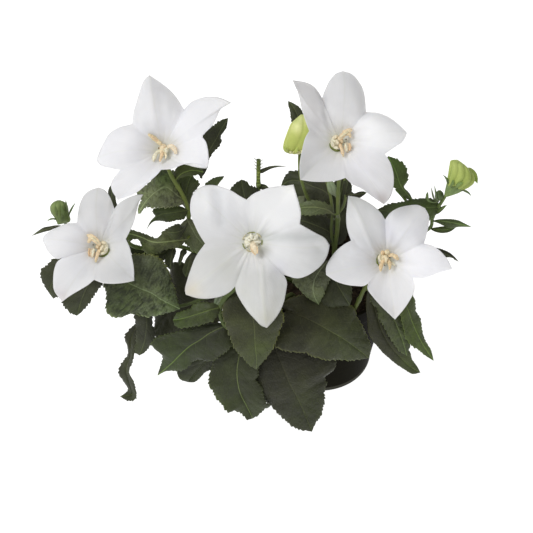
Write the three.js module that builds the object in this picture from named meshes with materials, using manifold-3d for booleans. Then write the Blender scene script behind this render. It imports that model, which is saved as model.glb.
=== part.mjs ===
// Potted balloon flower (Platycodon): five open white bell-stars, buds and serrated
// leaves on leaning stems, growing from compost in a round tapered nursery pot.
// Millimetres, +Z up. The origin is the centre of the underside of the pot.
import * as THREE from 'three';
import { mergeVertices } from 'three/addons/utils/BufferGeometryUtils.js';
import Module from 'manifold-3d';

const wasm = await Module();
wasm.setup();

// ---- driving dimensions ----
const POT_BASE_R = 30.5;      // radius of the foot
const POT_RIM_R = 43.5;       // outer radius of the rim band
const POT_H = 78;             // height of the pot
const POT_WALL = 1.2;         // wall of the pot
const POT_BAND = 13;          // height of the rim band
const POT_BAND_STEP = 1.6;    // how far the band stands out of the wall
const HOLE_R = 3.2;           // drainage holes
const HOLE_PITCH_R = 20.5;
const HOLE_COUNT = 6;
const SOIL_TOP = 66.5;        // compost level at the wall
const SOIL_CROWN = 1.8;       // how much it rises to the middle
const GAP = 0.3;              // clearance between pieces that touch
const LEAF_T = 0.7;           // thickness of a leaf blade
const PETAL_T = 0.7;          // thickness of a corolla
const STEM_SIDES = 6;
const LEAF_ROWS = 7;

// ---- colours ----
const POT_COLOR = 0x22201b, SOIL_COLOR = 0x2b2119, LEAF_COLOR = 0x34402a, STEM_COLOR = 0x66803a;
const PETAL_COLOR = 0xf3f3f5, ANTHER_COLOR = 0xe6d3ae, BUD_COLOR = 0xb2c26a;

// ---- stems: radius and centre line, from the compost to the flower or tip ----
const STEMS = {
  stem_top_left: { r: 1.25, flower: 'top_left', pts: [[-8,4,58],[-9.5,4,70],[-34,-5.1,82.7],[-49.1,-8.4,87.9],[-64.1,-8.2,94.9],[-71.8,-4.1,102.8],[-74.3,0.6,110.7],[-74.9,3.8,117.7],[-76.6,4.6,124.6],[-78.9,5.4,130.8],[-81.4,5.7,136.6],[-83.9,6.5,142.8],[-85.9,8.3,150],[-87.1,10,154.3]] },
  stem_left: { r: 1.25, flower: 'left', pts: [[-13,-7,58],[-16,-8,71],[-32.9,-17,84],[-50.7,-15.9,87.7],[-64.6,-11.7,93],[-72.9,-8.9,97.7],[-78.4,-8.5,100.1],[-83.3,-9.4,102],[-90.4,-10.5,102.8],[-95.9,-12.1,103],[-100.7,-13.4,104.4],[-104.6,-14.7,107.3],[-108,-15.5,111.1],[-114.9,-18,111.7],[-120.8,-20.7,111.3]] },
  stem_center: { r: 1.35, flower: 'center', pts: [[-14,-15,58],[-17,-19,72],[-26.2,-35.7,82.2],[-33.9,-44.2,81.8],[-42.1,-50.5,80.7],[-48.7,-53.1,80.4],[-53.3,-52.8,83.4],[-56.2,-51.2,89],[-56.5,-49.2,95.7],[-53.3,-47.9,102.3],[-48.4,-46.7,108.2],[-43.5,-43,118.5],[-40.2,-40.2,128],[-39.2,-38.8,133.4]] },
  stem_right: { r: 1.2, flower: 'right', pts: [[15,-26,58],[16.5,-29.5,71],[15.5,-36,75.1],[17.5,-35.9,80],[20,-35.9,88.2],[22.4,-35.9,96.4],[27.9,-35.7,107.5],[32.9,-35.9,115.6]] },
  stem_top_right: { r: 1.25, flower: 'top_right', pts: [[4,1,58],[4,1,72],[6.2,-1.6,80.6],[6.8,-0.3,90.7],[7.9,0.4,102.9],[8,1.1,117.3],[7.7,2,130.4],[7.9,2.2,141.6],[8.1,3.6,153.8],[8.1,4,163.7]] },
  stem_yellow_bud: { r: 1.0, pts: [[-3,8,58],[-3.5,9,72],[-2.2,5.3,81.5],[-2.4,8.7,94.3],[-6,12.3,109.9],[-10.5,11.1,125.2],[-12.9,14,134.7],[-13.4,16.6,140.6],[-13.3,19.1,145]] },
  stem_right_bud: { r: 1.1, pts: [[11,2,58],[12.5,1.5,72],[19.1,-3,82],[31.2,-1.8,89.9],[43.1,-2.7,97.3],[53.2,-3.9,105.8],[59.1,-5.6,113.1],[59.5,-5.8,120.4],[61.1,-6.5,127.3],[63.3,-6.5,132.7],[65.2,-5.7,136.9]] },
  stem_back: { r: 1.35, pts: [[-7,9,58],[-8,10,72],[-22.7,4.9,85.2],[-30.6,10.2,98.4],[-35.8,15.5,111.5],[-36,18.8,120.8],[-36,22,128.5],[-35.8,25,135.4]] },
  stem_left_low: { r: 1.0, pts: [[-16,2,58],[-20,2,72],[-39.6,-16.6,80.2],[-54.6,-23.7,79.7],[-68.5,-28,77.8],[-79.6,-31.1,76.3],[-87.4,-30.3,77],[-92.7,-28.3,78.9]] },
};

// side shoots that are one piece with a stem
const SHOOTS = [
  { stem: 'stem_left', r: 0.8, pts: [[-118.1,-19.7,111.5],[-125.2,-18.3,113.5],[-133.3,-15,117.3],[-139.8,-12.2,120.6],[-142.1,-10.9,123.2]] },
  { stem: 'stem_top_right', r: 0.8, pts: [[8,0.8,116.7],[10.7,1.8,121.3],[12,3.7,127.2],[11.6,6.3,133],[11.2,8.1,137.4]] },
  { stem: 'stem_right_bud', r: 0.9, pts: [[53.2,-3.9,105.8],[50.4,-3.9,115.3],[47.1,-3.3,124.1],[45.3,-2.3,128.5],[43,-0.4,132.3]] },
  { stem: 'stem_left_low', r: 0.8, pts: [[-86.3,-30.4,76.7],[-91,-28.4,72],[-97,-27.1,66.3]] },
  { stem: 'stem_top_right', r: 0.95, pts: [[6.7,-0.6,88.6],[5.3,-0.1,97],[4.7,1.4,106.6],[5.1,3.2,115.1],[4.2,6.4,122.2],[2.4,9.9,129.5],[-2.1,16.9,138.8],[-6.5,23.7,145.2],[-10,29,150.8]] },
];

// ---- leaves: midrib from base to tip, and the two edges a and b between them ----
const LEAVES = {
  leaf_front_center: {
    mid: [[-47.4,-43.4,103.1],[-43.1,-49,102],[-39.8,-54.1,97.9],[-38.2,-58.3,90.5],[-37.7,-62.6,79.7],[-36.9,-65.3,70.3],[-37.2,-66.3,63.3]],
    a: [[-52.3,-47.1,101.5],[-55.5,-52,97.3],[-53.9,-57.1,90],[-51.3,-60.6,83.3],[-48.1,-63.7,76.8],[-44.3,-65.2,71.8],[-40.5,-66.2,67.1]],
    b: [[-37.7,-43.8,103.4],[-29.6,-45.7,100.7],[-24.1,-48.5,95.8],[-22,-52.3,90.2],[-23.6,-55.2,85.3],[-25.2,-58,81],[-27.9,-60.9,76],[-31.2,-63.4,71.4],[-34.5,-65.2,66.8]] },
  leaf_front_left: {
    mid: [[-47.2,-48,72.8],[-45.5,-52.4,68.7],[-46.7,-56.7,62.6],[-47.8,-60.4,55.8],[-47.3,-63.9,47.1],[-45.7,-65.5,40.1],[-42.9,-67.4,33.6],[-39.1,-69.5,24.1]],
    a: [[-52.7,-49.2,69.9],[-58.3,-53.4,63],[-61.7,-57.7,56],[-63.4,-60.7,51],[-63.5,-63.3,46.3],[-61.5,-65,43.2],[-59.7,-67.1,38.7],[-56.9,-68,35.7],[-53,-70.2,30.9],[-50.2,-69,30.8],[-45.8,-69.2,28.3],[-42.4,-70.6,24.7]],
    b: [[-40.6,-51.6,69.4],[-36.2,-55.5,63.8],[-35.9,-59.2,57.9],[-36.2,-62,52.6],[-37.6,-62.7,50.8],[-34,-64.7,45.4],[-32.9,-66.3,40.3],[-31.7,-67.5,37],[-28.9,-68.2,34.2],[-32.3,-68.4,31.3],[-35.1,-69,28]] },
  leaf_front_right: {
    mid: [[-30.6,-36.3,72.1],[-28.4,-45.2,67.9],[-26.2,-51.9,63],[-22.3,-58.2,55.8],[-18.4,-62.9,46.7],[-14.4,-65,37.8],[-10.4,-67.4,27.4],[-5.7,-70.6,13.4]],
    a: [[-37.3,-43.2,65.6],[-41.8,-49.9,58.8],[-42.3,-56.4,51.1],[-39.6,-62.5,42.6],[-34,-65.8,36.2],[-28.5,-66.8,31.8],[-25,-68.4,27.4],[-19.2,-70.6,21],[-14.1,-71.4,17.2]],
    b: [[-18.4,-38.7,71.4],[-5.1,-45,65.2],[5,-49,59.5],[7.3,-52.1,54.6],[7,-54.4,51.3],[1.3,-57.1,44.4],[2.7,-58.2,41.8],[0.8,-60.1,37.5],[1.4,-62.3,32.7],[0.8,-64.1,28.9],[-0.5,-66.7,23.2],[-3.5,-68.2,19]] },
  leaf_right_center: {
    mid: [[-24.5,-32.2,72.5],[-20.1,-37.1,78.9],[-15.2,-42.3,82.2],[-9.8,-45.9,83],[-3.3,-49,81.5],[3.4,-50.5,77.4],[10.7,-50.9,71.5],[18.2,-50.8,63.4],[25.8,-50.4,54.2]],
    a: [[-21.8,-32.5,81.2],[-15.2,-33.3,87],[-6.4,-34.3,88.9],[2.4,-35.8,88.2],[11.2,-36.4,85.5],[17.4,-37.7,81.6],[18.8,-40,77.9],[22,-42.7,71.8],[24.9,-45.2,66.2],[26.3,-47.4,61.1],[26.5,-49.1,57.1]],
    b: [[-26.8,-40.6,73.6],[-28.4,-49.1,72.4],[-26.8,-54.7,69.6],[-21.8,-57,68.1],[-14.7,-57.4,67.3],[-10.3,-56.9,66.7],[-6.9,-58,64.6],[-0.8,-57.8,62.2],[6.5,-56.5,59.8],[14.9,-54.5,57.1],[20.6,-52.5,55.4]] },
  leaf_center_right: {
    mid: [[1.7,-23.5,103.9],[-1.7,-29.7,105],[-5.1,-35,102.7],[-6.1,-38.7,97.9],[-4.9,-39.9,92.7],[-2.6,-40,87.1]],
    a: [[-5.5,-25,105.6],[-13.2,-28.6,103.8],[-17.5,-33,100.1],[-14.8,-36,97.3],[-11.5,-37.7,94.3],[-7.1,-39.3,90.4]],
    b: [[4.3,-29.5,103.2],[2.6,-34.8,100],[0.5,-38.2,95.7],[-1.6,-39.5,90.6]] },
  leaf_under_right_flower: {
    mid: [[-0.8,-16.4,99.6],[2.8,-26,100.2],[6.6,-32.8,97.9],[10.4,-37,92.7],[14.5,-38.9,85.4]],
    a: [[-3.6,-23,97],[-3.7,-30.9,93.4],[-2.9,-37.7,89.4],[0.1,-40.3,86.9],[7.3,-40.5,86]],
    b: [[9,-22.9,100.1],[14.4,-29.2,97.2],[15.2,-34.2,92.9],[15.2,-36.9,88.5]] },
  leaf_left_front: {
    mid: [[-53,-52.3,83.2],[-55.7,-53,83.2],[-62.3,-54.6,80.4],[-67.9,-55.4,75.5],[-73.5,-55.2,70.2],[-79.3,-55.6,63],[-84,-55,55.4],[-92.7,-53.7,42.9]],
    a: [[-55.8,-50.8,84.4],[-64,-50.2,82.9],[-72.3,-50.1,79.4],[-81.3,-49.2,75.1],[-88,-48.5,71.7],[-93.1,-48.2,68.8],[-95.5,-49.5,64],[-91.8,-49.3,60.3],[-89.1,-49.4,57.4],[-89.6,-50.8,53],[-91.1,-52.1,48.4]],
    b: [[-50.8,-54.3,81],[-49.8,-57.8,75.8],[-52,-59.5,72.7],[-55.3,-60.3,69.5],[-60.9,-61.1,64.4],[-65.4,-59.2,63],[-68.2,-58.3,61.9],[-72.1,-57.8,59.6],[-76.1,-58,54.7],[-80.8,-57.1,51],[-87.7,-54.2,47.5]] },
  leaf_left_front_under: {
    mid: [[-48.3,-47.5,70.6],[-55,-50.2,65.3],[-61.7,-52.8,58.8],[-68,-54,50.8],[-75.6,-55.2,38.8]],
    a: [[-55,-47.5,68],[-65.1,-49.6,62],[-74.1,-51.7,54.9],[-80.4,-52.8,49.3],[-81.6,-54.1,45.6],[-80,-55.4,41.9]],
    b: [[-47.3,-50.9,63.5],[-52.9,-54.5,55.7],[-61.9,-54.8,50],[-65.9,-55,47.2],[-68.7,-55.9,43.4],[-71.9,-56.3,40.3]] },
  leaf_left_small: {
    mid: [[-56.5,-49.7,95.9],[-59.9,-51,96.1],[-63.7,-51.7,95.3],[-68.6,-51.9,93.1],[-74.1,-51.5,90.1],[-78.6,-50,86.7],[-82.7,-47.4,83]],
    a: [[-58.3,-48.6,97.1],[-62.1,-48.1,97.7],[-67.5,-47,97.3],[-71.4,-47.3,95.3],[-73,-48.3,93.1],[-77.5,-47.7,90.7],[-80.9,-47.3,87.4]],
    b: [[-56.9,-51.3,94],[-60.5,-54.5,90.4],[-63.7,-54.6,89.1],[-67.6,-54.9,87.5],[-73.1,-54.7,85.5],[-78.1,-53.7,83.5],[-81.5,-50.9,82.9]] },
  leaf_left_large: {
    mid: [[-115.5,-25.6,104.6],[-112.5,-30.2,103.1],[-107.5,-35.5,100.9],[-100.9,-37.9,98.6],[-94.5,-38.6,95.3],[-88.8,-38.7,89.7],[-79.2,-37.7,81.1]],
    a: [[-110.5,-23.1,107.5],[-103.9,-22.3,109],[-97.3,-22.2,109.3],[-91.3,-23.1,108.3],[-87.8,-24.5,105.8],[-85.4,-27.4,101.7],[-83.3,-30,96.4],[-81.8,-32.4,91.7],[-80.5,-35.3,85.9]],
    b: [[-119.8,-27.9,102.2],[-120.7,-33.2,97.5],[-119.3,-37,94.3],[-119.3,-40.2,91.4],[-119.8,-42.9,88.6],[-117.1,-46.2,85.4],[-111.1,-46.4,84],[-106.3,-44.8,84.6],[-100.9,-44,83.3],[-95.5,-43.7,81.7],[-90.1,-42.1,81.1],[-84.7,-39.9,81.1]] },
  leaf_left_lower: {
    mid: [[-92.9,-28.1,80.4],[-96.7,-32,78.1],[-98,-36,71.7],[-98.8,-38.7,63.8],[-100.3,-40.3,55.4],[-103.3,-40.9,45.2]],
    a: [[-98.5,-28.3,80.6],[-104.1,-30.9,76.1],[-105.1,-33.7,70.8],[-104.5,-36.4,64.6],[-104.8,-39.3,55.9],[-105.7,-41,48.3]],
    b: [[-91.9,-30.7,75.8],[-95.1,-33.2,70.2],[-95.3,-35.3,65.8],[-93.9,-36.9,61.7],[-94.4,-39.5,55.3],[-97,-40.3,52.4],[-100,-40.9,48.3]] },
  leaf_left_hanging: {
    mid: [[-97,-26.6,66.1],[-103.9,-29.9,59.6],[-108,-35.2,52],[-108.4,-40.1,44.7],[-111.3,-43.7,35.8],[-109.3,-47,27.3],[-108.3,-48,19.5],[-115.8,-46.6,15.4]],
    a: [[-101.6,-27.5,62],[-109.8,-30.7,54.6],[-111.9,-32.9,51.1],[-110.5,-35.5,47.1],[-110.1,-38.1,42.7],[-112.6,-39.3,39.3],[-115.8,-41.8,33.5],[-113.5,-44.2,27],[-110.9,-45.4,20.3],[-113.1,-46.2,17.6]],
    b: [[-97,-31.5,61.4],[-102.7,-35.9,56.2],[-104.4,-39.1,52.3],[-106.2,-42.5,47.5],[-107.1,-44.9,43.4],[-109,-47.2,37.7],[-107.2,-49,32.4],[-105.4,-51.1,25.9],[-106.1,-51.9,19.7],[-110.9,-50.5,16.2]] },
  leaf_left_shade: {
    mid: [[-56.2,-33.1,78.5],[-61.9,-27.9,75.2],[-68.7,-24,73.3],[-77.9,-22.6,69.2],[-87.2,-23.5,60.1],[-96.7,-26.8,47.5]],
    a: [[-60.8,-21.5,78.9],[-68.8,-10.5,81.9],[-76.8,-5.5,83.1],[-83.1,-3.7,82.5],[-87.8,-8.6,74],[-92.5,-15,64.1],[-94.9,-20.3,56.5],[-95.3,-23.7,51.8]],
    b: [[-56.9,-32.7,68],[-61,-33.8,60.7],[-66.7,-34.8,55.4],[-74.7,-34,51.5],[-85.1,-32.3,47.7],[-93.2,-29.8,46.6]] },
  leaf_left_upper: {
    mid: [[-75.3,-11,108.7],[-80.6,-13.5,110.5],[-87.1,-15.4,111.4],[-93.7,-15.4,111.4],[-99.9,-11.6,110.9],[-105.1,-8.3,109.9],[-110.3,-5.6,108.3]],
    a: [[-78.5,-8.2,112.5],[-83.5,-7,114.5],[-87.8,-9,113.4],[-91.4,-11.7,110.9],[-95.6,-10.3,110.8],[-101.2,-7.6,110.9],[-105.7,-5.5,110.9],[-108.3,-4.6,110.5]],
    b: [[-79.1,-14.6,107],[-85.6,-16.6,106.8],[-91.1,-18.5,105.8],[-95.5,-19.1,105.3],[-99.4,-16.9,106.1],[-100.5,-13.5,107.8],[-102.3,-11,108.8],[-104.8,-10.3,108.1],[-106.8,-10.7,106.8],[-109.4,-9.4,106.7]] },
  leaf_left_middle: {
    mid: [[-75.5,0.6,113.1],[-73.8,-2.8,111.7],[-71,-6.4,108.3],[-68.3,-8.7,105.1],[-63.9,-10.4,99.7]],
    a: [[-72.7,0.2,113.1],[-69.9,-3.7,109.5],[-66.6,-6.6,106.2],[-62.2,-9.6,101.3]],
    b: [[-78.3,-0.8,111.5],[-79.4,-3.2,109],[-77.7,-7.4,104.6],[-73.9,-10.7,101.2],[-68.3,-12.4,98.6]] },
  leaf_under_left_flower: {
    mid: [[-74.5,4.6,113.7],[-75.4,6.6,119.6],[-75.9,8.5,125.5],[-74.7,10.7,130.3],[-72.5,14.5,133.8]],
    a: [[-78.1,8.2,117.1],[-81,11.9,123.7],[-82,14.3,129],[-79.2,15.8,132.9]],
    b: [[-73.3,7.2,117],[-72.1,10,123.2],[-69.3,11.2,127.4],[-68.5,12.2,130.1],[-70.7,13.1,131.7],[-71.6,13.9,132.9]] },
  leaf_arching_left: {
    mid: [[-75.8,4.1,122.1],[-81.7,5.4,128.1],[-86.9,7,131.6],[-91.6,6.1,129.4],[-96.3,6.5,123.6],[-100.5,6.4,116.7],[-102.9,6.7,110.8]],
    a: [[-78.9,8,126],[-79.9,11.9,130.6],[-81.3,15.6,134.7],[-85.7,16.5,136.1],[-89.8,16.8,136.2],[-95.7,13,130.3],[-103.1,10.6,123.1],[-99.6,11,121.6],[-101.5,9.2,117.8],[-103,7.8,113.7]],
    b: [[-79.1,2.9,121.4],[-84.6,1.4,121.6],[-90.1,1.2,121.1],[-94.7,3.6,118.9],[-97.6,5.3,117.5],[-99.8,5.7,115.4],[-101.1,5.8,112.5]] },
  leaf_behind_left_flower: {
    mid: [[-67.6,15.2,130.4],[-66.4,17.9,137],[-63.6,21.7,143.3],[-59.2,27.3,148.5],[-56,34,150.6],[-52.6,41,151.7]],
    a: [[-71.4,17.9,135.5],[-71.4,22.1,141.4],[-68.6,26.4,146.4],[-64.2,31.8,150.7],[-60.7,34.9,151.6],[-57.1,38.3,152.2]],
    b: [[-65.1,17.1,133.2],[-63.4,20.6,138.3],[-60.9,23.4,142.1],[-56.2,27,145.9],[-56.5,30.4,147.9],[-53.8,34.7,149.6]] },
  leaf_far_left: {
    mid: [[-132.7,-20.4,105.4],[-140.4,-24.4,101.7],[-147.3,-26.8,95.4],[-151.1,-28.9,87.9],[-149.7,-30.2,81.3]],
    a: [[-139.4,-19.5,104.5],[-148.4,-19.6,102.6],[-152.7,-21.5,99],[-155.8,-22.8,96.7],[-156.4,-24.7,93.2],[-154.7,-27,89.1],[-152.1,-28.7,85]],
    b: [[-134,-24.1,99.7],[-139.8,-28.4,91.4],[-145.8,-30.3,84.5]] },
  leaf_below_left_flower: {
    mid: [[-120.6,-21.1,106.2],[-125.5,-27.1,100.5],[-129.5,-31.3,93.8],[-133.2,-33.9,86],[-136.6,-37.1,74.8]],
    a: [[-127.2,-23,103.4],[-136.2,-29,95.3],[-143.2,-33.1,86.8],[-144,-35.2,82.5],[-142.4,-36.3,79.5],[-139.8,-37.1,76.8]],
    b: [[-118.6,-24.4,100.1],[-120.3,-28.2,94.5],[-122.6,-30.3,91.1],[-126.1,-32,87.2],[-129,-34.1,82.9],[-132.6,-35.9,78.3]] },
  leaf_right_low: {
    mid: [[24.1,-35,94.6],[27.1,-37.5,86.7],[29.4,-41.8,80],[32.7,-46.3,71.7],[37.4,-49.4,63.4],[43.6,-51,55],[49.5,-51.5,47.7],[55.2,-51.2,42.5]],
    a: [[23.2,-36.8,87.6],[24,-41.7,78.1],[25,-45.8,71.1],[27.3,-48.3,66.2],[29.9,-49.4,63.4],[34.5,-51.3,58],[39.7,-52.5,52.9],[45.5,-53.1,47.7],[50.5,-53.2,43.7]],
    b: [[31.1,-35.6,86.2],[34.6,-39.9,77.8],[39.2,-43.4,70],[44.5,-46.1,62.1],[48.6,-47.7,56.2],[50,-48.9,51.7],[53,-50,46.9]] },
  leaf_right_middle: {
    mid: [[27,-35.7,103.4],[32,-41,97.1],[35.9,-46,89.7],[40,-49.8,80.7],[43.8,-52.3,70.2],[46.4,-54.1,60.3]],
    a: [[26,-38.2,98.2],[25.5,-41.8,92.3],[28.4,-43.7,88.8],[29.9,-46.4,84.3],[31.8,-48.1,80.8],[33.9,-50,77.2],[37.4,-51.8,71.4],[41.8,-53.7,64.7]],
    b: [[34.8,-34.7,100],[42.7,-37.6,93.3],[47.3,-42.7,84.4],[48.7,-47.7,75],[47.9,-51.7,66.1]] },
  leaf_right_outer: {
    mid: [[34.3,-37.2,107.5],[40.2,-43.8,102.7],[44.8,-48.2,94.6],[48.5,-51.6,84.5],[53.6,-54.9,73.2],[61.2,-56.7,59.2]],
    a: [[36.4,-43.7,103.3],[40.4,-50.2,94.4],[42.8,-53.8,85.4],[44.5,-56.1,78.8],[48,-57.4,73.2],[51.5,-57.3,69.8],[56.2,-57.2,64.3]],
    b: [[42.6,-38,105.2],[48.4,-42.3,97],[50.4,-45.9,88.7],[52.9,-47.5,84.4],[53.7,-50.1,78.6],[55.9,-52.7,72.4],[59,-54.3,66.6],[60.2,-55.4,63.2]] },
  leaf_top_right_upper: {
    mid: [[48.3,-4,131.7],[44.3,-2,136.2],[41,0.7,140.1],[38.9,6.1,143.8],[34.8,14.7,147.7]],
    a: [[43.9,-3.3,133.3],[38.1,-0.2,137.8],[34.1,5.1,141.8],[32.5,10.3,145.1]],
    b: [[46.4,-1,134.5],[43,1.5,137.5],[45.3,3.5,140],[45.5,7.2,142.8],[43.9,10.1,145.3],[41,12.3,146.6],[38,13.6,147.2]] },
  leaf_top_right_serrated: {
    mid: [[63.3,-6.2,129.6],[57.3,-8.3,131],[49.6,-9.8,131.7],[42.1,-9.5,130.6],[35.2,-8.3,128.3],[28.6,-5.4,126.2]],
    a: [[61.4,-3.7,131.4],[56.5,-2.4,132.6],[49.4,-2.9,132.4],[44.5,-3.5,131.4],[38.6,-3.9,130.3],[33.2,-4.4,128.7]],
    b: [[60.8,-9.5,126.8],[57.5,-11.7,125.1],[52,-12.6,124.9],[44.4,-12.2,124.6],[38,-11.2,124.3],[32.9,-9.7,124.4]] },
  leaf_behind_center_flower: {
    mid: [[-36.2,9.1,98.8],[-40.1,4.9,112.6],[-42.8,5.6,121.4],[-44.4,9,127.3],[-45.3,14.6,129.9]],
    a: [[-46.2,3.6,107.7],[-51.7,5.1,117.1],[-53.8,8.2,123.4],[-51.3,10.2,127],[-48.3,12.9,128.8]],
    b: [[-34,8.7,108],[-34,9.6,117.4],[-35.6,11.8,125.1],[-40.6,12,127.9],[-42.8,13.9,129.4]] },
  leaf_between_right_upper: {
    mid: [[3.9,7.8,123.9],[-0.6,15,121.4],[-6.1,19.2,120.4],[-12.7,22.6,120.9],[-18.3,23.6,120.4],[-23.3,22.5,117.4]],
    a: [[1.7,19.6,123.1],[-3.8,26.4,124.3],[-12.7,28.2,123.9],[-18.9,27.7,123.1],[-21.1,26,121.2],[-22.4,24.3,119.3]],
    b: [[2.7,9.1,117],[-3.8,12.9,112.5],[-10.5,15,111.2],[-15.5,19.1,114.2],[-19.4,22.2,117.2]] },
  leaf_between_right: {
    mid: [[6.1,0.7,116.1],[1.3,0.4,120.7],[-4.3,-0.2,122.9],[-9.7,0.5,122.2],[-16.8,2.3,118.4]],
    a: [[4.1,2.8,121],[-1.5,3.5,124.2],[-7.5,3.7,124.4],[-12.5,3.6,122.6]],
    b: [[2.4,-0.6,118.2],[-4.3,-3,119.9],[-9.7,-2.8,119.3],[-14.1,-0.4,118.4]] },
  leaf_between_right_lower: {
    mid: [[6.9,1.5,98.5],[1.8,2.6,102.2],[-4.4,2.9,105.9],[-11.1,4.2,107.8],[-17.2,6,106.8]],
    a: [[4.7,8.3,104.4],[-1.5,9.1,107.6],[-9.4,8.5,109],[-15.6,8,108.7]],
    b: [[4.1,-1.8,96.3],[-2.7,-2.1,98.3],[-10.5,-0.8,101.8],[-15,2.1,104.4]] },
  leaf_back_left: {
    mid: [[-30.6,10.7,98.8],[-37.4,14.5,98.9],[-45.4,20.2,94.7],[-53.5,27.4,89.1],[-61.9,35.9,82.1]],
    a: [[-36.3,21.3,101.7],[-45.4,29.6,99.8],[-54.7,34.6,94.8],[-60.6,36.3,88.2]],
    b: [[-36.3,9.6,94.2],[-44.2,11.6,88.9],[-53.5,17.6,84.3],[-59.4,27.2,82.7]] },
  leaf_back_middle: {
    mid: [[0.2,8.1,78.6],[-2,14.5,81.8],[-3.6,24.1,82.6],[-4.5,35.9,81.3],[-5.4,50.3,78.4]],
    a: [[-8.8,15.7,78.9],[-12.1,25.7,80.1],[-12,36.6,80.6],[-9,44.8,79.7]],
    b: [[4.9,13.4,79.6],[5.6,22.8,81.4],[3.6,33.7,81.9],[-0.9,43.2,80.5]] },
  leaf_back_right: {
    mid: [[17,1.4,80.7],[24,7.4,86.5],[32.5,14.4,87.5],[41,22.4,84],[51,32,77]],
    a: [[17,8.6,86],[24.5,17.7,90],[35,26,89],[45,31,84]],
    b: [[24,3.4,83.5],[33.5,7.7,83.5],[42,14.6,81.5],[48.5,23.1,79]] },
  leaf_back_low: {
    mid: [[-20.5,1.3,77.5],[-28,5.5,84.5],[-37.5,9.5,85.5],[-47.5,15.5,80.5],[-58,22,72]],
    a: [[-22,9,84],[-33.5,17.5,88],[-44,22,85],[-52.5,23.5,79]],
    b: [[-27.5,0.5,82.5],[-36,-1,83.5],[-46,2.5,81],[-54,11.5,76]] },
  leaf_back_outer: {
    mid: [[25.5,-1.8,85.5],[35,-1,87.2],[43,2,86],[50.5,6.5,80],[58,12.5,71]],
    a: [[33.5,5,88],[42,10,88.5],[50.8,12.5,84.5],[55.8,13,78]],
    b: [[33,-8,85.2],[41.5,-8.5,84],[50,-4.5,79.5],[55.5,3.5,73.5]] },
};

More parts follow.
